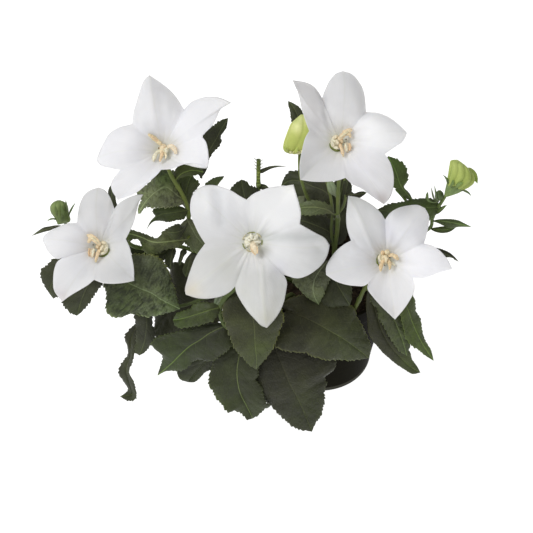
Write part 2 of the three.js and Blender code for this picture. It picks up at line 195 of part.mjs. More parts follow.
// small leaves and bracts that are one piece with their stem
const SMALL_LEAVES = {
  bract_left_tip: { stem: 'stem_left',
    mid: [[-139.9,-12.1,120.5],[-147.1,-11.3,119.3],[-151,-11.6,117.7],[-155.8,-10.5,114.6],[-161.2,-8.9,109.3]], a: [[-146.5,-10.9,119.9],[-149.9,-10.8,119],[-153.6,-10.1,117.3],[-157,-9.8,114.2]], b: [[-147.1,-12,118.6],[-149.9,-12.4,117.3],[-152.8,-11.8,115.7],[-157,-10.5,112.7]] },
  tiny_serrated: { stem: 'stem_top_left',
    mid: [[-74.8,0.6,110.7],[-76.3,-7,114.5],[-78,-11.5,116.4],[-81.4,-14.1,117.5],[-85.5,-13.9,117.6]], a: [[-77.6,-7.2,115.3],[-79.7,-8.9,119],[-82.3,-10.8,119.8],[-84.5,-12.1,119.3]], b: [[-77.5,-13.3,114.3],[-79.6,-15.9,114],[-82.5,-16.8,114.9],[-84.7,-15.6,116]] },
  thin_left: { stem: 'stem_left',
    mid: [[-108,-14.4,110.7],[-112.1,-7,113.8],[-114.9,-1.1,117.9],[-116.7,5.7,122.9],[-116.9,13.5,127.5]], a: [[-113.8,-4.3,115.7],[-116.6,2,120.3],[-118.9,7.6,124.1],[-118.5,11.5,126.4]], b: [[-111,-4.4,115.7],[-113.3,2,120.3],[-114.5,5.6,122.9],[-115.1,9.5,125.2]] },
  leaf_left_inner: { stem: 'stem_left',
    mid: [[-83.3,-9.9,101.6],[-88.3,-12.4,99.8],[-93.7,-13.9,99.8],[-99.2,-14,101.1],[-104.1,-13.7,102.8],[-107.9,-12.6,104.5]], a: [[-87.7,-10.7,101.3],[-93.2,-11.3,101.9],[-98.7,-11.4,103.3],[-103.6,-11.2,104.8],[-106.4,-11,105.5]], b: [[-87.1,-15.4,97.3],[-92.6,-16.7,97.1],[-98.1,-16.9,98.1],[-103,-16.4,99.6],[-106.6,-14.6,102.2]] },
  hanging_left_a: { stem: 'stem_left',
    mid: [[-82.8,-9.2,101.7],[-83.8,-13.3,100.4],[-84.7,-15.9,96.6],[-85,-17.1,90.7]], a: [[-86,-12.1,101.1],[-87.7,-14.7,98.2],[-87.5,-16.6,94.2]], b: [[-81.5,-12.1,100.7],[-82.2,-14.3,99],[-83.2,-15.8,96.9],[-83.1,-16.8,93.5]] },
  hanging_left_b: { stem: 'stem_left',
    mid: [[-77,-8.5,99.8],[-77.8,-11.6,98.6],[-79,-13.4,95.6],[-79.8,-14.2,90.7]], a: [[-79.2,-10.9,99.1],[-79.8,-12.4,97],[-80.6,-13.6,93.8]], b: [[-75.6,-11.2,98.7],[-77.3,-12.5,96.9],[-78.3,-13.5,94.5]] },
  hanging_left_c: { stem: 'stem_left',
    mid: [[-72.4,-9,97.4],[-73.7,-12.6,95.6],[-75.2,-14.8,91.4],[-76.7,-17.3,85.1]], a: [[-74.2,-10.8,96.6],[-76.3,-12.9,94.7],[-77.4,-14.5,91.9],[-78.2,-15.9,88.5]], b: [[-69.5,-11.6,96.2],[-70.7,-14.7,92.2],[-73.6,-17.3,86.8]] },
  leaf_behind_stems: { stem: 'stem_top_right',
    mid: [[7,0.9,91.1],[8.9,6.8,93.1],[9.5,12.9,98.1],[10,18.3,103.9],[10.5,23.8,110.4],[12.5,30.2,117.1]], a: [[4.6,4.5,92.3],[3.2,10.2,96],[2.7,16.8,102.2],[2.7,22.5,108.4],[6,27.8,114.3]], b: [[11.7,3.7,91],[14.8,9.9,95.5],[15.1,16.7,102.3],[15.6,22.3,108.7],[16.4,26.5,113.2]] },
  leaf_tip_right_stem: { stem: 'stem_top_right',
    mid: [[11.9,3.9,127.7],[12,4,132.2],[12.7,5.7,135.2],[12,8.2,136.9]], a: [[10.2,3.8,131.3],[10,5.1,134.2],[10.7,7,136.1]], b: [[14.4,3.4,130.5],[15.3,4.3,133.1],[14.6,6,135.5]] },
  tip_leaf_back: { stem: 'stem_back',
    mid: [[-36.4,22.2,127.6],[-34,22.2,128.7],[-30.6,22.9,130.7],[-26.7,22.9,132.1],[-19.6,22,132.6]], a: [[-34.5,23.1,129.6],[-31.7,23.3,130.9],[-29.5,23.4,131.7],[-24.5,22.9,132.5]], b: [[-34,21.5,128],[-31.2,21.9,129.5],[-28.4,22.3,130.9],[-24.5,22.4,132]] },
  base_bract_back: { stem: 'stem_back',
    mid: [[-36,18.5,119.8],[-34,17.4,121.5],[-32.3,16.8,122.3],[-30.1,16.3,121.9]], a: [[-35.1,18.8,122.3],[-33.4,18.2,122.9],[-31.7,17.4,122.9]], b: [[-34.5,16.6,120.2],[-32.3,15.6,121.2],[-30.9,15.8,121.4]] },
  leaf_upper_right_small: { stem: 'stem_top_right',
    mid: [[12,3.7,127.2],[13.7,2.2,130.6],[16.4,1.5,131.3],[19.6,1.7,131.5],[23.5,3.6,130.5]], a: [[14.2,3.6,132.6],[16.4,2,131.7],[19.1,2.6,132.3],[21.9,3.6,131.5]], b: [[14.2,1.4,129.8],[16.9,0.5,130.3],[19.4,0.1,130],[21.6,1.6,130.3]] },
  folded_right: { stem: 'stem_right_bud',
    mid: [[58.7,-5.4,111.9],[62.7,-9.8,115.3],[66.9,-11.2,116.7],[73.1,-8.6,116.4]], a: [[61.7,-7.9,115.2],[65.8,-9.5,117.7],[70.3,-8.7,117.6]], b: [[60.2,-8.2,112.7],[64.8,-11.9,114.7],[69.1,-11.6,115.5]] },
  bract_right_low: { stem: 'stem_right_bud',
    mid: [[60.1,-6.5,124.2],[61.8,-9.4,128.7],[63.7,-9.8,131.7],[66.4,-9.1,133.7]], a: [[60.3,-7.8,127.8],[62.7,-9.1,131.6],[64.7,-9,133.2]], b: [[61.8,-9.6,127.4],[64,-10.3,130.8],[65.5,-9.6,132.7]] },
  bract_right_high: { stem: 'stem_right_bud',
    mid: [[45.4,-1.6,127.7],[43.8,-0.4,129.5],[41.5,1.6,131.4],[39,3.8,132.1]], a: [[44.4,-1.3,128.4],[42.3,0.4,130.3],[40.3,2.4,131.5]], b: [[45.1,-0.6,129.1],[43.2,0.9,130.8],[41,2.9,132.1]] },
  leaf_behind_bud: { stem: 'stem_top_right',
    mid: [[-9.8,28.5,149.7],[-12.5,31.8,154.1],[-15.3,37.1,159.7],[-18,40.6,162.3],[-19.6,42.6,162.8]], a: [[-14.7,29.9,152.1],[-17.7,33.2,155.8],[-18.6,37.6,159.9],[-19.5,40,161.8]], b: [[-8.7,32.6,154.8],[-11.4,36.8,159.2],[-13.4,39,161.4],[-16.9,41,162.7]] },
  leaf_right_tip: { stem: 'stem_right_bud',
    mid: [[59.2,-5.8,118],[63.8,-9.8,122.1],[68.5,-12.1,123.4],[74.1,-11.4,121.3],[80.9,-9.4,117.1]], a: [[63.4,-8.1,121.7],[68.6,-10,123.8],[73.1,-9.7,122.5],[77.1,-9.6,119.9]], b: [[62,-8,118.9],[65,-10.8,119.6],[68.7,-12.9,119.8],[73.2,-11.7,119.3],[77.2,-10.5,118.2]] },
  leaf_olive_left: { stem: 'stem_top_left',
    mid: [[-81.4,5.8,137.3],[-78,6.4,142],[-73,7.1,144],[-69.3,7.7,143.3],[-65.7,9,141]], a: [[-81.9,9,141.1],[-78.6,11.4,144.4],[-74.2,12,146.1],[-70.4,11.8,145.7],[-67.7,10.9,144.4],[-67,9.8,142.5]], b: [[-78.3,6,139.4],[-74.7,6,140.9],[-70.9,5.8,141.3],[-68,7.2,141.3]] },
  leaf_behind_right_flower: { stem: 'stem_right_bud',
    mid: [[49.5,-3.5,102.4],[52.4,-9.8,104.3],[56.3,-15.7,105.7],[61.6,-18.8,106.9],[67.6,-20.2,106.2],[74.5,-20.7,101]], a: [[54.5,-11.5,104.5],[60.2,-15,107],[64.9,-17.2,107.5],[69.3,-18.9,106.3],[72.4,-19.8,103.5]], b: [[53.8,-13.9,103.4],[58.5,-18.9,103.9],[63.3,-21.2,103.9],[67.1,-20.8,104.7],[70.5,-20.1,103.8],[72.8,-20.4,102.3]] },
  leaf_back_small_left: { stem: 'stem_back',
    mid: [[-34,12.7,104.8],[-46.3,9.6,104.7],[-56.3,10.2,112],[-60.6,13.9,120.9],[-54.9,21.1,126.3]], a: [[-46.3,13.7,107],[-56.3,15.6,114.5],[-64.6,15.6,119.3],[-65.8,17.3,123.2],[-62.9,19.2,125],[-59.3,20.6,126]], b: [[-43.5,7.2,100.8],[-54.1,6.5,104.6],[-59.6,10.2,113.6],[-59,17.3,123],[-56.8,19.4,124.9]] },
  leaf_pointed_left: { stem: 'stem_top_left',
    mid: [[-74.8,3,117.7],[-79.2,1,118.5],[-84.7,0.4,118],[-89.8,1.2,116],[-93.8,1.7,112.3],[-96.2,1.5,109.4],[-98,0.9,104.8]], a: [[-78.7,4.2,119.3],[-84.8,4.6,119.3],[-90.4,4.9,118.1],[-94.3,4.7,116.3],[-94.4,4,114.7],[-92.2,4.1,113.4],[-94.8,3,110.3]], b: [[-76.7,-1.3,115.4],[-82,-2,114.4],[-85.4,-1.7,113],[-90.5,0.5,111.6],[-93.9,1.6,110.1],[-96.4,1.4,107.5]] },
};

// ---- flowers: middle of the mouth, bottom of the throat, facing direction, the five
// notches between the lobes, and each lobe as [edge up to the tip, tip, edge down] ----
const FLOWERS = {
  top_left: { rim: [-86.6,0.8,164.9], throat: [-87.4,11,155.3], n: [-0.1, -0.389, 0.916], turn: 0.3,
    notch: [[-103.6,16.5,169.6],[-75.7,22,175],[-65.8,6.7,169.6],[-87.4,-9.5,160.4],[-109.4,-7.8,158.7]],
    lobes: [
      [[[-102.8,24,172.9],[-101.3,29.3,175.4],[-99.8,34.7,177.8],[-97.8,40,180.3]],[-94.8,42.5,181.7],[[-89,38.2,180.4],[-83.5,33.3,179],[-79.6,28.6,177.4]]],
      [[[-72.6,25.3,176.8],[-68.3,27.1,178],[-62.9,27.8,178.9],[-56.4,26.7,179.1]],[-50.5,23.5,178.4],[[-55.3,21.2,176.9],[-56.9,19.1,175.9],[-58.5,15.5,174.1],[-60.6,11.9,172.4],[-63.7,8.9,170.8]]],
      [[[-63.7,3.5,168.5],[-62.5,-0.8,166.8],[-62.1,-6.2,164.6]],[-62.4,-10.4,162.7],[[-66.7,-7.9,163.3],[-72,-7,163.1],[-76.3,-7.7,162.4],[-81.6,-9.4,161.1]]],
      [[[-89.5,-12,159.1],[-93.2,-14.8,157.5],[-100.5,-20.6,154.2]],[-110,-23.5,151.9],[[-113.3,-18.6,153.7],[-114,-14.8,155.2],[-112,-10.7,157.2]]],
      [[[-114.8,-6.3,158.8],[-119.1,-4.9,158.9],[-121.4,-3.1,159.4]],[-122.2,-0.9,160.2],[[-120.5,3.8,162.4],[-118.5,7.9,164.4],[-115.4,12.5,166.7],[-110.1,15.4,168.5]]],
    ] },
  top_right: { rim: [7.4,-6.1,177.5], throat: [8,4.1,168], n: [0.18, -0.4, 0.899], turn: 0.9,
    notch: [[-9.2,-2.8,182.3],[-2.1,15.5,189.1],[21.2,11.6,182.6],[30.9,-8.9,171.5],[9.7,-24.3,168.9]],
    lobes: [
      [[[-11.2,2.6,185.1],[-12.8,7.6,187.7],[-13.8,12.2,189.9],[-15.4,17.7,192.7]],[-17.7,22.7,195.4],[[-11.1,22.6,194],[-7.4,21.6,192.8],[-4.2,18.9,191]]],
      [[[-0.5,20,190.7],[2.2,25.7,192.7],[5.5,29.7,193.8]],[9.3,31.6,193.9],[[14.1,30.7,192.6],[18.3,26.6,189.9],[20.4,22.1,187.5],[21.1,16.9,185]]],
      [[[27.7,12,181.6],[34,10.4,179.5],[39.3,6.9,176.9]],[43,3.8,174.8],[[40.7,-0.8,173.2],[36.3,-4.5,172.4]]],
      [[[33.5,-12.7,169.3],[35,-17.2,167.1],[35.4,-21.8,164.9],[34.7,-27,162.7],[33,-31.3,161.2]],[29.8,-35.1,160.1],[[27.7,-34.1,161],[22.5,-31.3,163.3],[18.3,-28.8,165.2],[13.1,-26.9,167.1]]],
      [[[6.8,-25.8,168.9],[2.6,-27.1,169.1],[-3.7,-28.3,169.9],[-8.9,-28.8,170.7]],[-14.1,-28.7,171.7],[[-14.3,-21.1,175.2],[-12.9,-13.2,178.4],[-11.3,-6.8,181]]],
    ] },
  left: { rim: [-121.7,-29.4,121.6], throat: [-122.8,-21,112.9], n: [-0.08, -0.457, 0.886], turn: 0.1,
    notch: [[-134.1,-16.1,127.4],[-113.8,-10.3,132.2],[-107.2,-26,124.7],[-124,-45.4,113.2],[-141.7,-33.5,117.7]],
    lobes: [
      [[[-133.7,-10.9,130.1],[-132.8,-6.4,132.5],[-130.7,-2.4,134.7],[-127.5,-0.1,136.2]],[-122.9,1.2,137.3],[[-119.3,-0.6,136.7],[-116.4,-4.3,135.1]]],
      [[[-112,-8.1,133.5],[-108.2,-5.8,135],[-102.8,-4.1,136.4]],[-98.2,-3.9,136.9],[[-100,-6.8,135.3],[-101.5,-11.8,132.6],[-103,-17.7,129.4],[-105.1,-22.1,126.9]]],
      [[[-104.9,-30.6,122.5],[-103.7,-35.1,120.3],[-102.5,-40.7,117.6]],[-102.1,-47.1,114.3],[[-107.2,-47.8,113.5],[-114.2,-47.9,112.8],[-119.6,-47.1,112.7]]],
      [[[-127.1,-47.7,111.7],[-131.4,-49.9,110.2],[-136.7,-52.6,108.3]],[-140.9,-55.3,106.6],[[-145.4,-49.6,109.1],[-146.2,-44.1,111.8],[-145.8,-39.2,114.4],[-144.3,-35.3,116.5]]],
      [[[-144.4,-33.8,117.3],[-147.1,-32.2,117.9],[-150,-29,119.3]],[-152.6,-23.8,121.7],[[-151.9,-21.9,122.8],[-148.7,-19.5,124.3],[-144.4,-17.8,125.6],[-140.6,-16.5,126.6]]],
    ] },
  center: { rim: [-38.8,-48.2,145.2], throat: [-38.9,-39.2,135.8], n: [0.08, -0.8, 0.594], turn: 0.5,
    notch: [[-63.5,-49.9,146.2],[-41.9,-34.8,163.5],[-14,-40.9,151.6],[-22.3,-57.5,130.3],[-48,-62.6,126.9]],
    lobes: [
      [[[-66.1,-47.6,149.5],[-68.6,-44.7,153.9],[-70.7,-41.6,158.2],[-71.1,-38.5,162.5],[-70.3,-35.7,166.2]],[-68,-33.2,169.2],[[-63.8,-31.7,170.7],[-58.7,-31.3,170.6],[-54.5,-31.6,169.5],[-49.4,-32.6,167.5],[-45.2,-33.9,165.2]]],
      [[[-38.5,-32.9,165.7],[-33.8,-31.4,167.1],[-28.6,-30.1,168],[-22.4,-29.5,168.1]],[-17.4,-28.7,168.5],[[-16.1,-31.3,164.8],[-14.5,-34.3,160.5],[-13.5,-37.4,156.2]]],
      [[[-10.3,-42,149.6],[-5.6,-43.3,147.2],[-0.8,-44.6,144.8]],[1.8,-46.7,141.7],[[0.8,-49.9,137.5],[-2.3,-53.2,133.4],[-6,-55.4,131],[-10.2,-57.2,129.1],[-15.4,-58.3,128.4]]],
      [[[-20.7,-59.7,127.2],[-21.2,-62.9,122.9],[-22.3,-66.2,118.7],[-24.4,-69.5,114.5],[-27.5,-72.5,110.8]],[-31.2,-75.1,107.8],[[-34.4,-74.5,109.1],[-37.5,-72.8,111.9],[-41.7,-70.1,116],[-45.4,-66.8,121],[-47.5,-64.3,124.5]]],
      [[[-50.1,-64.2,125.1],[-53.2,-65.6,123.6],[-58.5,-66.9,122.6],[-63.7,-67.5,122.5],[-68.9,-67.4,123.3]],[-73.9,-66.7,124.8],[[-74.4,-65.2,127],[-73,-61.9,131.2],[-70.9,-58,136.2],[-68.2,-54.1,141.1]]],
    ] },
  right: { rim: [32.7,-45.4,128.5], throat: [33.5,-36.8,119.4], n: [0.06, -0.449, 0.892], turn: 0.7,
    notch: [[13.4,-36.4,134.4],[31.8,-25.1,138.8],[52.3,-36.2,131.9],[46,-53.5,123.6],[22.1,-57.2,123.3]],
    lobes: [
      [[[12.1,-33.2,136.1],[11.1,-29.3,138.1],[10.9,-24.3,140.6],[11.5,-18.7,143.4]],[12.1,-13.9,145.8],[[17,-14.5,145.2],[21.7,-16.3,143.9],[26.5,-19.1,142.2],[29.7,-21.9,140.6]]],
      [[[34.5,-21.7,140.3],[38.9,-19,141.4],[44.3,-17.5,141.8],[49.7,-17,141.7]],[53.4,-18.4,140.8],[[55.4,-22.3,138.6],[55,-27.3,136.1],[53.8,-31.9,133.9]]],
      [[[57.1,-37.2,131],[60.8,-39.5,129.6],[64.4,-43.3,127.5]],[66.9,-48.2,124.9],[[62.6,-49.3,124.6],[58.3,-50.8,124.1],[55.1,-52.1,123.7],[50.8,-53.3,123.4]]],
      [[[46.7,-56.9,121.8],[46.4,-60.3,120.1],[44.2,-64.3,118.3],[40.9,-68.9,116.2]],[36,-74.2,113.9],[[31.9,-70.7,115.9],[28.2,-67.4,117.8],[24.6,-63.7,119.9],[21.8,-59.9,122]]],
      [[[20,-58.5,122.8],[15.2,-58.7,123],[9.9,-58.2,123.6],[4.7,-56.7,124.7]],[-0.1,-54,126.4],[[-0,-50.1,128.4],[2.1,-46,130.3],[4.8,-42.4,131.9],[9.1,-38.8,133.5]]],
    ] },
};

// ---- buds: base, apex, radii along the axis, number of ridges ----
const BUDS = {
  bud_yellow: { base: [-16.4,18.1,146.7], apex: [-13.3,28.6,164.8], ridge: 0.06, sides: 10,
    radii: [[0, 0], [0.02, 2.6], [0.08, 4.9], [0.2, 6.1], [0.38, 6.4], [0.6, 5.9], [0.8, 4.6], [0.93, 2.7], [1, 0]],
    sepalAt: 0.03, sepalR: 2.6, sepalL: 5.5, sepalW: 2.2, sepalLift: -1.0, turn: 0.2 },
  bud_right: { base: [65.2,-6.2,138.5], apex: [77.8,1.4,151.7], ridge: 0.07, sides: 10,
    radii: [[0, 0], [0.02, 1.3], [0.2, 3.2], [0.4, 5.4], [0.62, 7.7], [0.8, 8.8], [0.92, 7.8], [1, 4.6], [0.97, 0]],
    sepalAt: 0.36, sepalR: 5.0, sepalL: 5.0, sepalW: 2.0, sepalLift: 1.0, turn: 0.9 },
  bud_left: { base: [-141.7,-12.1,124.1], apex: [-144.9,-7.1,135.6], ridge: 0.04, sides: 10,
    radii: [[0, 0], [0.03, 2.4], [0.18, 3.5], [0.36, 3.6], [0.5, 4.7], [0.68, 5.0], [0.85, 4.0], [0.96, 2.0], [1, 0]],
    sepalAt: 0.3, sepalR: 3.4, sepalL: 5.5, sepalW: 1.8, sepalLift: 2.0, turn: 0.4 },
  bud_small_right: { base: [61.5,-6.6,134.7], apex: [62.7,-3.7,140.2], ridge: 0.05, sides: 8,
    radii: [[0, 0], [0.05, 1.5], [0.4, 2.4], [0.7, 2.3], [0.92, 1.2], [1, 0]],
    sepalAt: 0.3, sepalR: 2.0, sepalL: 3.5, sepalW: 1.5, sepalLift: 2.5, turn: 0.4 },
};

// ---------------------------------------------------------------- helpers
const V = (p) => new THREE.Vector3(p[0], p[1], p[2]);
const lineThrough = (pts) => new THREE.CatmullRomCurve3(pts.map(V), false, 'centripetal');

function solidOf(geometry) {
  const g = geometry.clone();
  for (const name of ['normal', 'uv']) if (g.getAttribute(name)) g.deleteAttribute(name);
  const m = mergeVertices(g, 1e-4);
  let tri = Array.from(m.index.array);
  const keep = [];
  for (let i = 0; i < tri.length; i += 3) {
    const [a, b, c] = [tri[i], tri[i + 1], tri[i + 2]];
    if (a !== b && b !== c && a !== c) keep.push(a, b, c);
  }
  const pos = m.getAttribute('position').array;
  let vol = 0;
  for (let i = 0; i < keep.length; i += 3) {
    const p = keep.slice(i, i + 3).map((k) => [pos[3 * k], pos[3 * k + 1], pos[3 * k + 2]]);
    vol += p[0][0] * (p[1][1] * p[2][2] - p[1][2] * p[2][1])
      - p[0][1] * (p[1][0] * p[2][2] - p[1][2] * p[2][0])
      + p[0][2] * (p[1][0] * p[2][1] - p[1][1] * p[2][0]);
  }
  if (vol < 0) for (let i = 0; i < keep.length; i += 3) [keep[i], keep[i + 1]] = [keep[i + 1], keep[i]];
  const used = new Map(), verts = [], tris = [];
  for (const k of keep) {
    if (!used.has(k)) { used.set(k, used.size); verts.push(pos[3 * k], pos[3 * k + 1], pos[3 * k + 2]); }
    tris.push(used.get(k));
  }
  return new wasm.Manifold(new wasm.Mesh({ numProp: 3, vertProperties: new Float32Array(verts), triVerts: new Uint32Array(tris) }));
}

function geometryOf(solid) {
  const m = solid.getMesh();
  const n = m.numProp, count = m.vertProperties.length / n, pos = new Float32Array(count * 3);
  for (let i = 0; i < count; i++) for (let k = 0; k < 3; k++) pos[3 * i + k] = m.vertProperties[n * i + k];
  const g = new THREE.BufferGeometry();
  g.setAttribute('position', new THREE.BufferAttribute(pos, 3));
  g.setIndex(new THREE.BufferAttribute(new Uint32Array(m.triVerts), 1));
  g.computeVertexNormals();
  return g;
}

const overlapBox = (s, t, d = 1) => {
  const a = s.boundingBox(), b = t.boundingBox();
  return [0, 1, 2].every((k) => a.min[k] - d < b.max[k] && b.min[k] - d < a.max[k]);
};

function largest(solid) {
  const pieces = solid.decompose();
  if (pieces.length < 2) return solid;
  return pieces.reduce((m, p) => (p.volume() > m.volume() ? p : m));
}

// A thin sheet from a grid of points rows[i][j]; a row of one point is a pointed end.
function sheetGeometry(rows, thickness, closedLoop = false) {
  const n = rows.length, pos = [], idx = [];
  const at = (i, j) => rows[i][rows[i].length === 1 ? 0 : (closedLoop ? (j + rows[i].length) % rows[i].length : Math.min(Math.max(j, 0), rows[i].length - 1))];
  const width = Math.max(...rows.map((r) => r.length));
  const normal = (i, j) => {
    if (rows[i].length === 1) {
      const near = i === 0 ? 1 : n - 2, sum = new THREE.Vector3();
      for (let k = 0; k < rows[near].length; k++) sum.add(normal(near, k));
      return sum.normalize();
    }
    const u = at(i, j + 1).clone().sub(at(i, j - 1));
    const v = at(Math.min(i + 1, n - 1), j).clone().sub(at(Math.max(i - 1, 0), j));
    return u.cross(v).normalize();
  };
  const ids = [];
  for (const side of [1, -1]) {
    const set = [];
    for (let i = 0; i < n; i++) {
      const row = [];
      for (let j = 0; j < rows[i].length; j++) {
        const p = at(i, j).clone().addScaledVector(normal(i, j), side * thickness / 2);
        row.push(pos.length / 3);
        pos.push(p.x, p.y, p.z);
      }
      set.push(row);
    }
    ids.push(set);
  }
  const id = (side, i, j) => { const r = ids[side][i]; return r.length === 1 ? r[0] : (closedLoop ? r[j % r.length] : r[j]); };
  const cols = closedLoop ? width : width - 1;
  const tri = (a, b, c) => { if (a !== b && b !== c && a !== c) idx.push(a, b, c); };
  for (let i = 0; i + 1 < n; i++) for (let j = 0; j < cols; j++) {
    const a = id(0, i, j), b = id(0, i, j + 1), c = id(0, i + 1, j + 1), d = id(0, i + 1, j);
    tri(a, b, c); tri(a, c, d);
    const e = id(1, i, j), f = id(1, i, j + 1), g = id(1, i + 1, j + 1), h = id(1, i + 1, j);
    tri(e, g, f); tri(e, h, g);
  }
  const wall = (a, b, c, d) => { tri(a, b, c); tri(a, c, d); };
  if (!closedLoop) for (let i = 0; i + 1 < n; i++) {
    wall(id(0, i, 0), id(0, i + 1, 0), id(1, i + 1, 0), id(1, i, 0));
    const e = (r) => rows[r].length - 1;
    wall(id(0, i + 1, e(i + 1)), id(0, i, e(i)), id(1, i, e(i)), id(1, i + 1, e(i + 1)));
  }
  for (let j = 0; j < cols; j++) {
    if (rows[n - 1].length > 1) wall(id(0, n - 1, j), id(0, n - 1, j + 1), id(1, n - 1, j + 1), id(1, n - 1, j));
    if (rows[0].length > 1) wall(id(0, 0, j + 1), id(0, 0, j), id(1, 0, j), id(1, 0, j + 1));
  }
  const g = new THREE.BufferGeometry();
  g.setAttribute('position', new THREE.BufferAttribute(new Float32Array(pos), 3));
  g.setIndex(idx);
  return g;
}

// A leaf blade between its two edges; grow makes the larger shape that clears it.
function bladeGeometry(leaf, rowsN, grow = 0, narrow = false) {
  const [p0, p1] = [leaf.mid[0], leaf.mid[leaf.mid.length - 1]];
  const mid = lineThrough(leaf.mid), a = lineThrough([p0, ...leaf.a, p1]), b = lineThrough([p0, ...leaf.b, p1]);
  const rows = [];
  for (let i = 0; i <= rowsN; i++) {
    const s = i / rowsN, m = mid.getPointAt(s);
    if (i === 0 || i === rowsN) {
      const t = mid.getTangentAt(s).multiplyScalar(i ? grow : -grow);
      rows.push([m.add(t)]);
      continue;
    }
    const pa = a.getPointAt(s), pb = b.getPointAt(s);
    const out = (p) => p.clone().add(p.clone().sub(m).setLength(grow + 1e-6));
    rows.push(narrow ? [out(pa), m, out(pb)] : [out(pa), pa.clone().lerp(m, 0.5), m, pb.clone().lerp(m, 0.5), out(pb)]);
  }
  return sheetGeometry(rows, LEAF_T + 2 * grow);
}

// A round stem along its centre line.
function stemGeometry(pts, r, steps = Math.max(6, pts.length * 2 - 2)) {
  const ring = new THREE.Shape();
  for (let k = 0; k < STEM_SIDES; k++) {
    const t = (k / STEM_SIDES) * 2 * Math.PI;
    ring[k ? 'lineTo' : 'moveTo'](r * Math.cos(t), r * Math.sin(t));
  }
  ring.closePath();
  return new THREE.ExtrudeGeometry(ring, { steps, extrudePath: lineThrough(pts), bevelEnabled: false, curveSegments: 1 });
}

// A bell-star corolla: one sheet from the throat out to five pointed lobes.
const bellDepth = (x) => Math.exp(-Math.pow(x / 0.62, 2));
function corollaGeometry(f, grow = 0) {
  const rim = V(f.rim), drop = V(f.throat).sub(rim);
  const edge = [];
  for (let k = 0; k < 5; k++) {
    const [up, tip, down] = f.lobes[k];
    const rise = lineThrough([f.notch[k], ...up, tip]), fall = lineThrough([tip, ...down, f.notch[(k + 1) % 5]]);
    for (let j = 0; j < 3; j++) edge.push(rise.getPointAt(j / 3));
    for (let j = 0; j < 3; j++) edge.push(fall.getPointAt(j / 3));
  }
  const notchR = f.notch.reduce((s, p) => s + V(p).distanceTo(rim), 0) / 5;
  const rows = [[V(f.throat)]];
  for (const s of [0.18, 0.4, 0.7, 1]) {
    rows.push(edge.map((p) => {
      const d = p.clone().sub(rim).multiplyScalar(s), r = d.length();
      const q = rim.clone().add(d).addScaledVector(drop, bellDepth(r / notchR));
      return s === 1 ? q.addScaledVector(d.normalize(), grow) : q;
    }));
  }
  return sheetGeometry(rows, PETAL_T + 2 * grow, true);
}

const frameOf = (axis) => {
  const n = V(axis).normalize(), u = new THREE.Vector3(0, 0, 1).cross(n);
  if (u.length() < 0.1) u.set(1, 0, 0);
  u.normalize();
  return { n, u, v: n.clone().cross(u) };
};

// A body of revolution with soft ridges around the line from base to apex.
function podGeometry(base, apex, radii, ridges, ridge, sides = 10) {
  const b = V(base), d = V(apex).sub(b), len = d.length(), { n, u, v } = frameOf(d.toArray());
  const pos = [], idx = [], rings = [];
  for (const [t, r] of radii) {
    if (r === 0) { rings.push([pos.length / 3]); const p = b.clone().addScaledVector(n, t * len); pos.push(p.x, p.y, p.z); continue; }
    const row = [];
    for (let k = 0; k < sides; k++) {
      const w = (k / sides) * 2 * Math.PI, rr = r * (1 + ridge * Math.cos(ridges * w));
      const p = b.clone().addScaledVector(n, t * len).addScaledVector(u, rr * Math.cos(w)).addScaledVector(v, rr * Math.sin(w));
      row.push(pos.length / 3);
      pos.push(p.x, p.y, p.z);
    }
    rings.push(row);
  }
  for (let i = 0; i + 1 < rings.length; i++) for (let k = 0; k < sides; k++) {
    const g = (row, j) => (row.length === 1 ? row[0] : row[j % sides]);
    const [a, b2, c, d2] = [g(rings[i], k), g(rings[i], k + 1), g(rings[i + 1], k + 1), g(rings[i + 1], k)];
    if (a !== b2) idx.push(a, b2, c);
    if (c !== d2) idx.push(a, c, d2);
  }
  const geo = new THREE.BufferGeometry();
  geo.setAttribute('position', new THREE.BufferAttribute(new Float32Array(pos), 3));
  geo.setIndex(idx);
  return geo;
}

// Five pointed sepals around an axis.
function sepals(at, axis, r0, length, width, lift, turn = 0) {
  const { n, u, v } = frameOf(axis), out = [];
  for (let k = 0; k < 5; k++) {
    const w = turn + (k / 5) * 2 * Math.PI;
    const d = u.clone().multiplyScalar(Math.cos(w)).addScaledVector(v, Math.sin(w)), side = n.clone().cross(d);
    const p = (r, h, s) => V(at).addScaledVector(d, r).addScaledVector(n, h).addScaledVector(side, s).toArray();
    const leaf = {
      mid: [p(r0 - 1.5, 0, 0), p(r0 + length * 0.4, lift * 0.4, 0), p(r0 + length, lift, 0)],
      a: [p(r0, 0, -width / 2), p(r0 + length * 0.4, lift * 0.4, -width / 2.6)],
      b: [p(r0, 0, width / 2), p(r0 + length * 0.4, lift * 0.4, width / 2.6)],
    };
    out.push(solidOf(bladeGeometry(leaf, 2, 0, true)));
  }
  return out;
}

const join = (solids) => solids.reduce((s, t) => s.add(t));

// ---------------------------------------------------------------- pot and compost
const wallR = (z) => POT_BASE_R - 0.6 + (POT_RIM_R - POT_BAND_STEP - POT_BASE_R + 0.6) * (z / POT_H);
const bandZ = POT_H - POT_BAND;
const potProfile = [
  [0, 0], [POT_BASE_R - 1.2, 0], [POT_BASE_R, 1], [POT_BASE_R, 3.2], [wallR(4.2), 4.2],
  [wallR(bandZ), bandZ], [wallR(bandZ) + POT_BAND_STEP, bandZ + 0.8],
  [POT_RIM_R, POT_H - 1], [POT_RIM_R - 0.5, POT_H], [POT_RIM_R - 1.7, POT_H],
  [wallR(bandZ) + POT_BAND_STEP - POT_WALL, bandZ + 2.2], [wallR(bandZ) - POT_WALL, bandZ - 1.5],
  [wallR(2) - POT_WALL, 1.8], [0, 1.8],
].map(([r, z]) => new THREE.Vector2(r, z));
const turned = (profile, seg) => {
  const g = new THREE.LatheGeometry(profile, seg);
  g.rotateX(Math.PI / 2);
  return g;
};
let pot = solidOf(turned(potProfile, 32));
